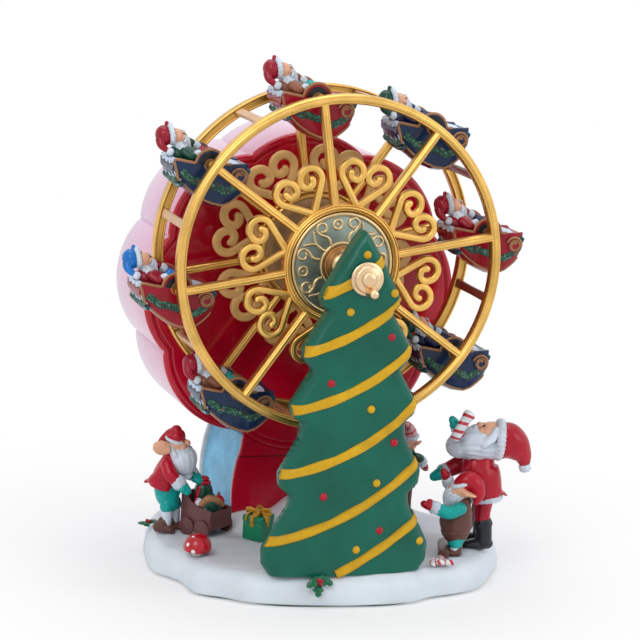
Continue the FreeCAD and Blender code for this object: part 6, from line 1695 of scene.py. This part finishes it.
def gift_box_skins():
    """Green parcel with a lid, crossed gold ribbons, two loops of a bow and ribbon tails."""
    side = 4.75
    square = [(-side, -side), (side, -side), (side, side), (-side, side)]
    lid = [(a * 1.05, b * 1.05) for a, b in square]
    made = [cushion(resample(square, 88), 0.0, 8.4, 0.6, 2), cushion(resample(lid, 88), 8.0, 11.0, 0.7, 2)]
    for flat in ((1, 0), (0, 1)):
        for sign in SIDES:
            strip = [(sign * (side + 0.30), 6.2), (sign * (side + 0.32), 8.0), (sign * (side + 0.55), 8.6),
                     (sign * (side + 0.5), 10.7), (sign * (side - 0.2), 11.2), (sign * 1.5, 11.25), (0.0, 11.3)]
            path = np.array([(a * flat[0], a * flat[1], z) for a, z in spline(strip, 40)])
            made.append(sweep(path, round_section(1.0, 0.3, 10), (flat[0] * sign, flat[1] * sign, 1.0), paint=1))
    for turn in (20, 95, 200, 275):
        loop = [(0, 0, 11.4), (2.2, 1.1, 12.7), (4.6, 1.3, 12.8), (5.9, 0, 11.9), (4.6, -1.3, 11.5), (2.0, -1.0, 11.6),
                (0.2, 0, 11.5)]
        path = spline(loop, 40) @ yaw(turn).T
        made.append(sweep(path, round_section(0.35, 1.0, 12), RISE, paint=1))
        tail = spline([(0.6, 0, 12.0), (3.4, 0.6, 12.3), (5.4, 1.2, 10.9), (6.0, 1.6, 8.6)], 24) @ yaw(turn + 38).T
        made.append(sweep(tail, round_section(0.95, 0.3, 10), yaw(turn + 38) @ (0.6, 0, 1.0), paint=1))
    made.append(ball((0, 0, 12.3), (1.7, 1.5, 1.1), paint=1, rings=10, sides=16, lumps=3, depth=0.08))
    return made


def mushroom_skins():
    """Toadstool: a domed cap with a rolled lip, gills underneath and a swollen stem."""
    cap = [(0.0, 9.5), (1.8, 9.3), (3.6, 8.5), (5.0, 7.0), (5.9, 5.0), (6.1, 3.3), (5.8, 2.2), (5.2, 1.9), (4.6, 2.3),
           (2.2, 3.4)]
    stem = [(0.0, 4.6), (2.0, 4.4), (2.0, 3.0), (2.4, 1.4), (2.8, 0.3), (2.4, 0.0), (0.0, 0.0)]
    made = [turned(cap + [(0.0, 4.4)], (0, 0, 0), axis="z", paint=0, sides=56),
            turned(stem, (0, 0, 0), axis="z", paint=1, sides=36)]
    for k in range(24):
        a = radians(15 * k)
        gill = np.array([(r * cos(a), r * sin(a), 3.3 - 0.30 * (r - 2.0)) for r in np.linspace(2.0, 4.8, 6)])
        made.append(sweep(gill, round_section(0.16, 0.3, 6), RISE, paint=1))
    return made


def leaf_skin(place, turn, length, width, lift=0.0, paint=0):
    """Holly leaf: a lens with three waves along its edge, arched along its length."""
    u = np.linspace(0, 1, 30)[:, None]
    v = np.linspace(-1, 1, 9)[None]
    half = width * np.sin(pi * np.clip(u, 0.01, 0.99)) ** 0.7 * (1 + 0.28 * np.sin(u * 2 * pi * 3.0 - 0.6))
    x, y = (u - 0.5) * length + 0 * v, half * v
    z = 0.5 + 1.1 * np.sin(pi * u) - 0.5 * np.abs(v) * np.sin(pi * u) + lift
    top = np.stack([x, y, z], axis=-1)
    under = np.stack([x, y, z - 0.75], axis=-1)[:, ::-1]
    grid = np.concatenate([top, under], axis=1)
    return moved([skin(grid, paint=paint)], yaw(turn), place)[0]


def sprig_skins():
    """Two leaves that lie on the snow behind the cart, with a pair of berries."""
    made = [leaf_skin((-61.5, 36.0, 13.0), 30, 7.0, 1.8), leaf_skin((-66.0, 33.5, 13.0), -60, 7.0, 1.8)]
    for x, y in ((-63.4, 34.2), (-64.0, 35.6)):
        made.append(ball((x, y, 14.2), 0.85, paint=1, rings=8, sides=12))
    return made


def front_holly_skins():
    """Three leaves and berries that hang over the slab's front edge."""
    made = []
    for x, z, turn, length in ((-16.4, 11.4, 28, 7.6), (-11.4, 11.8, 150, 7.2), (-14.6, 8.2, 84, 6.4)):
        one = leaf_skin((0, 0, 0), 0, length, 1.9)
        tilt = radians(58)
        lean = np.array([[1, 0, 0], [0, cos(tilt), -sin(tilt)], [0, sin(tilt), cos(tilt)]])
        flat = yaw(turn)
        made += moved([one], lean @ flat, (x, -55.8 - (12.6 - z) * 0.18, z))
    for x, z in ((-13.4, 12.2), (-14.6, 12.6), (-13.9, 11.0)):
        made.append(ball((x, -57.4, z), (0.85, 0.7, 0.85), paint=1, rings=8, sides=12))
    return made


def cane_skins():
    """Three candy sticks that lie crossed on the snow, each with a hooked end."""
    made = []
    for x, y, turn, hook in ((43.4, -43.4, 203, 1), (45.6, -45.8, 168, -1), (45.2, -45.0, 262, -1)):
        line = spline([(-4.6, 0, 1.3), (-1.5, 0, 1.3), (1.6, 0, 1.35), (3.6, hook * 0.7, 1.5), (4.3, hook * 2.2, 1.5),
                       (3.4, hook * 3.2, 1.4)], 44)
        taper = np.sqrt(np.clip(1 - np.linspace(-1, 1, 44) ** 16, 0.06, 1))
        path = line @ yaw(turn).T + (x, y, 13.0 + (0.9 if turn > 250 else 0))
        made.append(sweep(path, round_section(1.25, 1.25, 18)[None] * taper[:, None, None], RISE))
    return made


# Operators

class PieceOperator(Operator):
    """Base of the operators that build pieces."""

    bl_options = {"REGISTER", "UNDO"}

    def execute(self, context):
        """Build the pieces."""
        self.build()
        return {"FINISHED"}


class FERRIS_OT_base(PieceOperator):
    """Snowy slab, felt and base screws."""

    bl_idname = "ferris.base"
    bl_label = "Snowy base"

    def build(self):
        """Snow cover in place of the plain slab."""
        finish = snow_paint("snow", hue("snow"))
        piece("snow_cover", [snow_cover()], [finish], "root", "snow", ["snow_base"], sharp=70)
        recoat("felt_pad", felt_cloth("felt", (0.03, 0.10, 0.06)))
        recoat("base_screws", turned_metal("screw steel", (0.52, 0.52, 0.54)))


class FERRIS_OT_drum(PieceOperator):
    """Lobed drum, its back and the pedestal under it."""

    bl_idname = "ferris.drum"
    bl_label = "Drum and pedestal"

    def build(self):
        """Drum case, pedestal layers and the painted back."""
        front = drum_lacquer("drum front lacquer", hue("drum_red"), (0.60, 0.05, 0.10))
        side = drum_side("drum side lacquer", hue("drum_side"))
        piece("drum_case", drum_skins(), [front, side], "root", "red_gloss", ["drum_shell"], sharp=35)
        layers = [seamed_lacquer("pedestal lacquer", hue("drum_red"), 0.044),
                  pebbled_resin("pebbled blue", (0.17, 0.54, 0.80)), resin_paint("pale rim", (0.58, 0.66, 0.68),
                                                                                 gloss=0.4)]
        piece("pedestal_case", pedestal_skins(), layers, "root", "red_gloss",
              ["pedestal", "pedestal_front", "pedestal_back"], sharp=45)
        recoat("back_cover", drum_lacquer("back lacquer", (0.20, 0.006, 0.012), (0.24, 0.010, 0.018)))
        recoat("cover_screws", turned_metal("screw steel", (0.52, 0.52, 0.54)))
        recoat("drum_bush", turned_metal("bush brass", (0.62, 0.42, 0.16), axis="Y"))


class FERRIS_OT_movement(PieceOperator):
    """Metals of the clockwork inside the drum."""

    bl_idname = "ferris.movement"
    bl_label = "Movement"

    def build(self):
        """Brass, steel and blued finishes."""
        brass = turned_metal("movement brass", (0.66, 0.46, 0.18), 0.22, "X")
        steel = turned_metal("movement steel", (0.48, 0.48, 0.50), 0.26, "Y")
        blued = turned_metal("blued spring", (0.07, 0.09, 0.17), 0.24, "Y")
        for node in ("movement_front_plate", "bedplate", "spring_barrel", "barrel_cap", "tune_cylinder",
                     "governor_fan"):
            recoat(node, brass)
        for node in ("axle", "winding_arbor", "comb"):
            recoat(node, steel)
        recoat("mainspring", blued)


class FERRIS_OT_tree(PieceOperator):
    """Flat tree with its garlands and balls."""

    bl_idname = "ferris.tree"
    bl_label = "Tree"

    def build(self):
        """Tree casting, painted straps and domes."""
        piece("tree_casting", tree_skins(), [tree_gloss("tree enamel", hue("tree_green"))], "root", "tree_green",
              ["tree"], sharp=60)
        gold = resin_paint("garland paint", hue("garland_gold"), gloss=0.42, wash=0.6, patch=0.008)
        piece("garland_straps", garland_skins(), [gold], "root", "garland_gold", ["tree_garlands"], sharp=60)
        piece("painted_balls", tree_ball_skins(), [gold, resin_paint("ball red", hue("coat_red"), gloss=0.2)], "root",
              "gold_paint", ["tree_balls"])
        recoat("tree_bush", turned_metal("bush brass", (0.62, 0.42, 0.16), axis="Y"))


class FERRIS_OT_wheels(PieceOperator):
    """Both castings of the wheel, the bars between them and the pins."""

    bl_idname = "ferris.wheels"
    bl_label = "Wheels"

    def build(self):
        """Gold rims, spokes and heart scrolls."""
        gold = gold_plate("wheel gold", hue("wheel_gold"))
        matt = matt_band_gold("scroll gold", hue("band_gold"))
        piece("front_casting", wheel_skins(FRONT_WHEEL, True), [gold, gold], "wheel", "gold_paint", ["front_wheel"],
              sharp=50)
        piece("rear_casting", wheel_skins(REAR_WHEEL, False), [gold, matt], "wheel", "dull_gold", ["rear_wheel"],
              sharp=50)
        # The bars' paint: light tan, darkened to brownish red across the wheel by painted shade and a painted
        # reflection of the drum.
        bar = bar_with_painted_shade("bar paint", (0.74, 0.42, 0.20), (0.26, 0.06, 0.035))
        piece("rim_bars", tie_bar_skins(), [bar], "wheel", "tie_tan", ["tie_bars"])
        recoat("pivot_pins", gold)


class FERRIS_OT_hub(PieceOperator):
    """Discs, sleeve and crank on the axle."""

    bl_idname = "ferris.hub"
    bl_label = "Hub"

    def build(self):
        """Front disc with relief, rear disc, sleeve and crank."""
        gold = gold_plate("relief gold", (0.66, 0.50, 0.27), rough=0.34)
        ground = gold_plate("bronze ground", hue("bronze"), rough=0.40, dark=0.35)
        copper = gold_plate("copper boss", (0.62, 0.34, 0.16), rough=0.30)
        pale = gold_plate("champagne", (0.80, 0.58, 0.36), rough=0.30, dark=0.40)
        piece("front_disc", medallion_skins(FRONT_WHEEL), [ground, gold, copper], "wheel", "bronze",
              ["front_medallion"])
        piece("rear_disc", rear_disc_skins(REAR_WHEEL), [matt_band_gold("rear disc tan", (0.40, 0.24, 0.11))], "wheel",
              "rear_tan", ["rear_medallion"])
        piece("axle_sleeve", sleeve_skins(), [gold], "wheel", "gold_paint", ["hub_sleeve"])
        piece("crank_disc", crank_skins(), [pale], "wheel", "pale_gold", ["crank"])


class FERRIS_OT_sleighs(PieceOperator):
    """Eight sleighs, each with a rider lying back in it."""

    bl_idname = "ferris.sleighs"
    bl_label = "Sleighs and riders"

    def build(self):
        """Painted sleighs in turn red and blue, and their riders."""
        trim = resin_paint("copper trim", hue("copper"), gloss=0.30)
        leafy = garland_speckle("swag", (0.002, 0.062, 0.036))
        frost = resin_paint("pale frost", (0.60, 0.72, 0.88), gloss=0.4)
        teal = resin_paint("deep teal", (0.008, 0.09, 0.13), gloss=0.3)
        berry = resin_paint("berry red", hue("coat_red"), gloss=0.2)
        dark = resin_paint("arch black", (0.008, 0.009, 0.014), gloss=0.35)
        # The riders have teal in the place of brown
        cloth = figure_paints("crimson", "white", "skin", "teal", "teal", "black", "blue", "green", "tan", "copper",
                              "pink", "navy")
        styles = ["navy", "dark", "red", "green", "blue", "red", "navy", "dark"]
        for index in range(SPOKES):
            angle = radians(FIRST_SPOKE + SECTOR * index)
            pivot = (PIVOT_RADIUS * cos(angle), MIDDLE_Y, AXLE_HEIGHT + PIVOT_RADIUS * sin(angle))
            name = "red" if index % 2 == 0 else "blue"
            hull = resin_paint(f"sleigh {name}", hue(f"sleigh_{name}"), gloss=0.26, wash=0.4, patch=0.007)
            piece(f"sleigh_look_{index + 1}", moved(sleigh_skins(), shift=pivot),
                  [hull, trim, leafy, frost, teal, berry, dark], f"gondola_{index + 1}", f"sleigh_{name}",
                  [f"sleigh_{index + 1}"])
            piece(f"rider_look_{index + 1}", moved(rider_skins(styles[index]), shift=pivot), cloth,
                  f"gondola_{index + 1}", "elf_red", [f"rider_{index + 1}"])


def stand(skins, place):
    """Put skins on the snow at a place of x, y and heading."""
    x, y, heading = place
    return moved(skins, yaw(heading), (x, y, BASE_TOP))


class FERRIS_OT_figures(PieceOperator):
    """The four figures that stand on the snow."""

    bl_idname = "ferris.figures"
    bl_label = "Standing figures"

    def build(self):
        """Painted figures, and what they wear and hold."""
        cloth = figure_paints(*FIGURE_PAINTS)
        stripes = striped_paint("stick stripes", (0.70, 0.72, 0.76), (0.50, 0.01, 0.03), 4.2)
        piece("cart_elf_look", stand(cart_elf_skins(), CART_ELF), cloth, "root", "elf_red", ["cart_elf"])
        piece("tall_figure_look", stand(tall_figure_skins(), TALL_FIGURE), cloth, "root", "elf_red", ["tall_figure"])
        piece("striped_stick", stand(stick_skins(), TALL_FIGURE), [stripes], "root", "cane_white")
        piece("apron_elf_look", stand(apron_elf_skins(), APRON_ELF), cloth, "root", "vest_brown", ["apron_elf"])
        piece("peeking_elf_look", stand(peeking_elf_skins(), PEEKING_ELF), cloth, "root", "gift_green",
              ["peeking_elf"])
        hat = striped_paint("hat stripes", (0.60, 0.30, 0.32), (0.50, 0.01, 0.03), 5.0)
        piece("striped_hat", stand(striped_hat_skins(), PEEKING_ELF), [hat], "root", "elf_red")


class FERRIS_OT_trimmings(PieceOperator):
    """Cart, parcels and the small things on the snow."""

    bl_idname = "ferris.trimmings"
    bl_label = "Cart and trimmings"

    def build(self):
        """Cart, gifts, toadstool, holly and sweets."""
        cloth = figure_paints(*FIGURE_PAINTS)
        fuller = np.diag([1.08, 1.1, 1.16])
        wood = resin_paint("cart wood", (0.15, 0.055, 0.055), gloss=0.36, wash=0.5)
        piece("cart_boards", stand(cart_skins(), CART), [wood], "root", "cart_brown", ["cart"])
        piece("cart_heap", moved(cart_gift_skins(), yaw(CART[2]) @ fuller, (*CART[:2], BASE_TOP)), cloth, "root",
              "gift_green", ["cart_gifts"])
        wrap = [resin_paint("parcel green", (0.0, 0.20, 0.09), gloss=0.24),
                resin_paint("ribbon gold", (0.52, 0.26, 0.02), gloss=0.26)]
        piece("parcel", stand(gift_box_skins(), (-22.0, 6.0, 40)), wrap, "root", "gift_green", ["gift_box"])
        cap = [dotted_cap("toadstool cap", (0.46, 0.002, 0.014), (0.80, 0.80, 0.80)),
               resin_paint("toadstool stem", (0.66, 0.64, 0.58), gloss=0.45)]
        piece("toadstool", stand(mushroom_skins(), TOADSTOOL), cap, "root", "mushroom_red", ["mushroom"])
        leaf = [resin_paint("holly leaf", (0.004, 0.12, 0.05), gloss=0.24),
                resin_paint("berry red", hue("coat_red"), gloss=0.2)]
        piece("sprig_leaves", sprig_skins(), leaf, "root", "holly_green", ["holly_sprig"])
        piece("front_holly", front_holly_skins(), leaf, "root", "holly_green")
        canes = striped_paint("cane stripes", (0.74, 0.74, 0.76), (0.50, 0.01, 0.03), 4.0)
        piece("sweets", cane_skins(), [canes], "root", "cane_white", ["candy_canes"])


class FERRIS_OT_key(PieceOperator):
    """Winding key behind the drum."""

    bl_idname = "ferris.key"
    bl_label = "Winding key"

    def build(self):
        """Brass on the key."""
        recoat("winding_key", turned_metal("key brass", (0.66, 0.46, 0.18), 0.24))


def plain_view(tree, path):
    """One for the camera's own, mirrored and refracted rays."""
    total = path.outputs["Is Camera Ray"]
    for name in ("Is Glossy Ray", "Is Transmission Ray"):
        both = tree.nodes.new("ShaderNodeMath")
        both.operation = "MAXIMUM"
        tree.links.new(total, both.inputs[0])
        tree.links.new(path.outputs[name], both.inputs[1])
        total = both.outputs[0]
    return total


def paper_floor():
    """White paper that keeps the object's shadow and fades to the backdrop away from it."""
    recipe = Recipe("paper floor").set(Roughness=0.9)
    recipe.colour(recipe.ramp(recipe.noise(0.2), [(0.3, (0.90, 0.90, 0.905)), (0.7, (0.92, 0.92, 0.92))]))
    away = recipe.node("ShaderNodeVectorMath", operation="LENGTH")
    recipe.link(recipe.where, away.inputs[0])
    fade = recipe.span(away.outputs["Value"], 0.06, 0.26, 0.30, curve="SMOOTHSTEP")
    seen = plain_view(recipe.tree, recipe.node("ShaderNodeLightPath"))
    white = recipe.node("ShaderNodeEmission")
    both = recipe.node("ShaderNodeMixShader")
    recipe.link(recipe.math("MULTIPLY", fade, seen), both.inputs[0])
    recipe.link(recipe.shader.outputs[0], both.inputs[1])
    recipe.link(white.outputs[0], both.inputs[2])
    recipe.link(both.outputs[0], recipe.tree.nodes["Material Output"].inputs["Surface"])
    return recipe.material


def white_world():
    """White backdrop for the camera and reflections, with softer light for the scene."""
    world = bpy.data.worlds.new("backdrop")
    world.use_nodes = True
    tree = world.node_tree
    tree.nodes.clear()
    out = tree.nodes.new("ShaderNodeOutputWorld")
    mix = tree.nodes.new("ShaderNodeMixShader")
    lit = tree.nodes.new("ShaderNodeBackground")
    seen = tree.nodes.new("ShaderNodeBackground")
    path = tree.nodes.new("ShaderNodeLightPath")
    lit.inputs["Color"].default_value = (0.94, 0.96, 1.0, 1.0)
    lit.inputs["Strength"].default_value = 0.60
    seen.inputs["Color"].default_value = (1.0, 1.0, 1.0, 1.0)
    seen.inputs["Strength"].default_value = 1.0
    tree.links.new(plain_view(tree, path), mix.inputs["Fac"])
    tree.links.new(lit.outputs[0], mix.inputs[1])
    tree.links.new(seen.outputs[0], mix.inputs[2])
    tree.links.new(mix.outputs[0], out.inputs["Surface"])
    bpy.context.scene.world = world


def placed(name, data, axes, place):
    """An object at a place in metres, whose own x, y and z axes are given."""
    made = bpy.data.objects.new(name, data)
    bpy.context.scene.collection.objects.link(made)
    made.matrix_world = Matrix([(*np.stack(axes, axis=1)[i], place[i]) for i in range(3)] + [(0, 0, 0, 1)])
    return made


def soft_lamp(name, place, target, size, power, colour):
    """A square area lamp that looks at a target; metres and watts."""
    data = bpy.data.lights.new(name, "AREA")
    data.size = size
    data.energy = power
    data.color = colour
    look = unit(np.asarray(target, float) - np.asarray(place, float))
    side = unit(np.cross(look, RISE))
    return placed(name, data, (side, np.cross(side, look), -look), place)


def camera_view():
    """Camera that matches the photograph: turned, raised and slightly rolled."""
    data = bpy.data.cameras.new("view")
    data.lens, data.sensor_width = 152.5, 36.0
    data.clip_start, data.clip_end = 0.05, 20.0
    a, e, roll = radians(-18.99), radians(11.37), radians(3.03)
    right = np.array([cos(a), sin(a), 0.0])
    back = np.array([sin(a) * cos(e), -cos(a) * cos(e), sin(e)])
    up = np.cross(back, right)
    right, up = cos(roll) * right + sin(roll) * up, cos(roll) * up - sin(roll) * right
    made = placed("view", data, (right, up, back), (-0.3729, -1.0823, 0.3415))
    bpy.context.scene.camera = made
    return made


class FERRIS_OT_stage(PieceOperator):
    """Floor, lamps, backdrop and camera."""

    bl_idname = "ferris.stage"
    bl_label = "Stage"

    def build(self):
        """A seamless pale floor and three soft lamps."""
        scene = bpy.context.scene
        mesh = bpy.data.meshes.new("floor")
        reach = 4.0
        mesh.from_pydata([(-reach, -reach, -0.0002), (reach, -reach, -0.0002), (reach, reach, -0.0002),
                          (-reach, reach, -0.0002)], [], [(0, 1, 2, 3)])
        floor = bpy.data.objects.new("floor", mesh)
        scene.collection.objects.link(floor)
        mesh.materials.append(paper_floor())
        white_world()
        lamps = [
            soft_lamp("key lamp", (-0.75, -0.85, 0.95), (0.0, 0.0, 0.10), 0.7, 6.2, (1.0, 0.99, 0.97)),
            soft_lamp("fill lamp", (0.95, -0.75, 0.65), (0.0, 0.0, 0.10), 0.8, 4.1, (0.96, 0.98, 1.0)),
            soft_lamp("top lamp", (0.0, 0.25, 1.25), (0.0, 0.0, 0.05), 0.9, 4.9, (1.0, 1.0, 1.0)),
        ]
        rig.stage(floor, camera_view(), *lamps)
        scene.view_settings.view_transform = "Standard"


class FERRIS_PT_panel(Panel):
    """Sidebar panel with the settings and one button for each group."""

    bl_idname = "FERRIS_PT_panel"
    bl_label = "Ferris Wheel"
    bl_space_type = "VIEW_3D"
    bl_region_type = "UI"
    bl_category = "Ferris Wheel"

    def draw(self, context):
        """Settings first, then the groups."""
        layout = self.layout
        for holder in (context.scene.ferris_paints, context.scene.ferris_shapes):
            box = layout.box()
            for name in holder.bl_rna.properties.keys():
                if name not in ("rna_type", "name"):
                    box.prop(holder, name)
        for operator in GROUPS:
            layout.operator(operator.bl_idname)


GROUPS = (FERRIS_OT_base, FERRIS_OT_drum, FERRIS_OT_movement, FERRIS_OT_tree, FERRIS_OT_wheels, FERRIS_OT_hub,
          FERRIS_OT_sleighs, FERRIS_OT_figures, FERRIS_OT_trimmings, FERRIS_OT_key, FERRIS_OT_stage)
CLASSES = (FERRIS_PG_paints, FERRIS_PG_shapes, *GROUPS, FERRIS_PT_panel)


def register():
    """Add the classes and the scene's settings."""
    for one in CLASSES:
        bpy.utils.register_class(one)
    bpy.types.Scene.ferris_paints = PointerProperty(type=FERRIS_PG_paints)
    bpy.types.Scene.ferris_shapes = PointerProperty(type=FERRIS_PG_shapes)


def unregister():
    """Take the settings and classes away again."""
    del bpy.types.Scene.ferris_shapes
    del bpy.types.Scene.ferris_paints
    for one in reversed(CLASSES):
        bpy.utils.unregister_class(one)


def main():
    """Run every group in order and write the sizes before and after."""
    register()
    for operator in GROUPS:
        family, name = operator.bl_idname.split(".")
        getattr(getattr(bpy.ops, family), name)()
    sizes = {"cad": CAD_BOX, "visual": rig.bounds()}
    with open("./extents.json", "w") as out:
        json.dump(sizes, out, indent=1, default=lambda value: list(value))


if __name__ == "__main__":
    main()
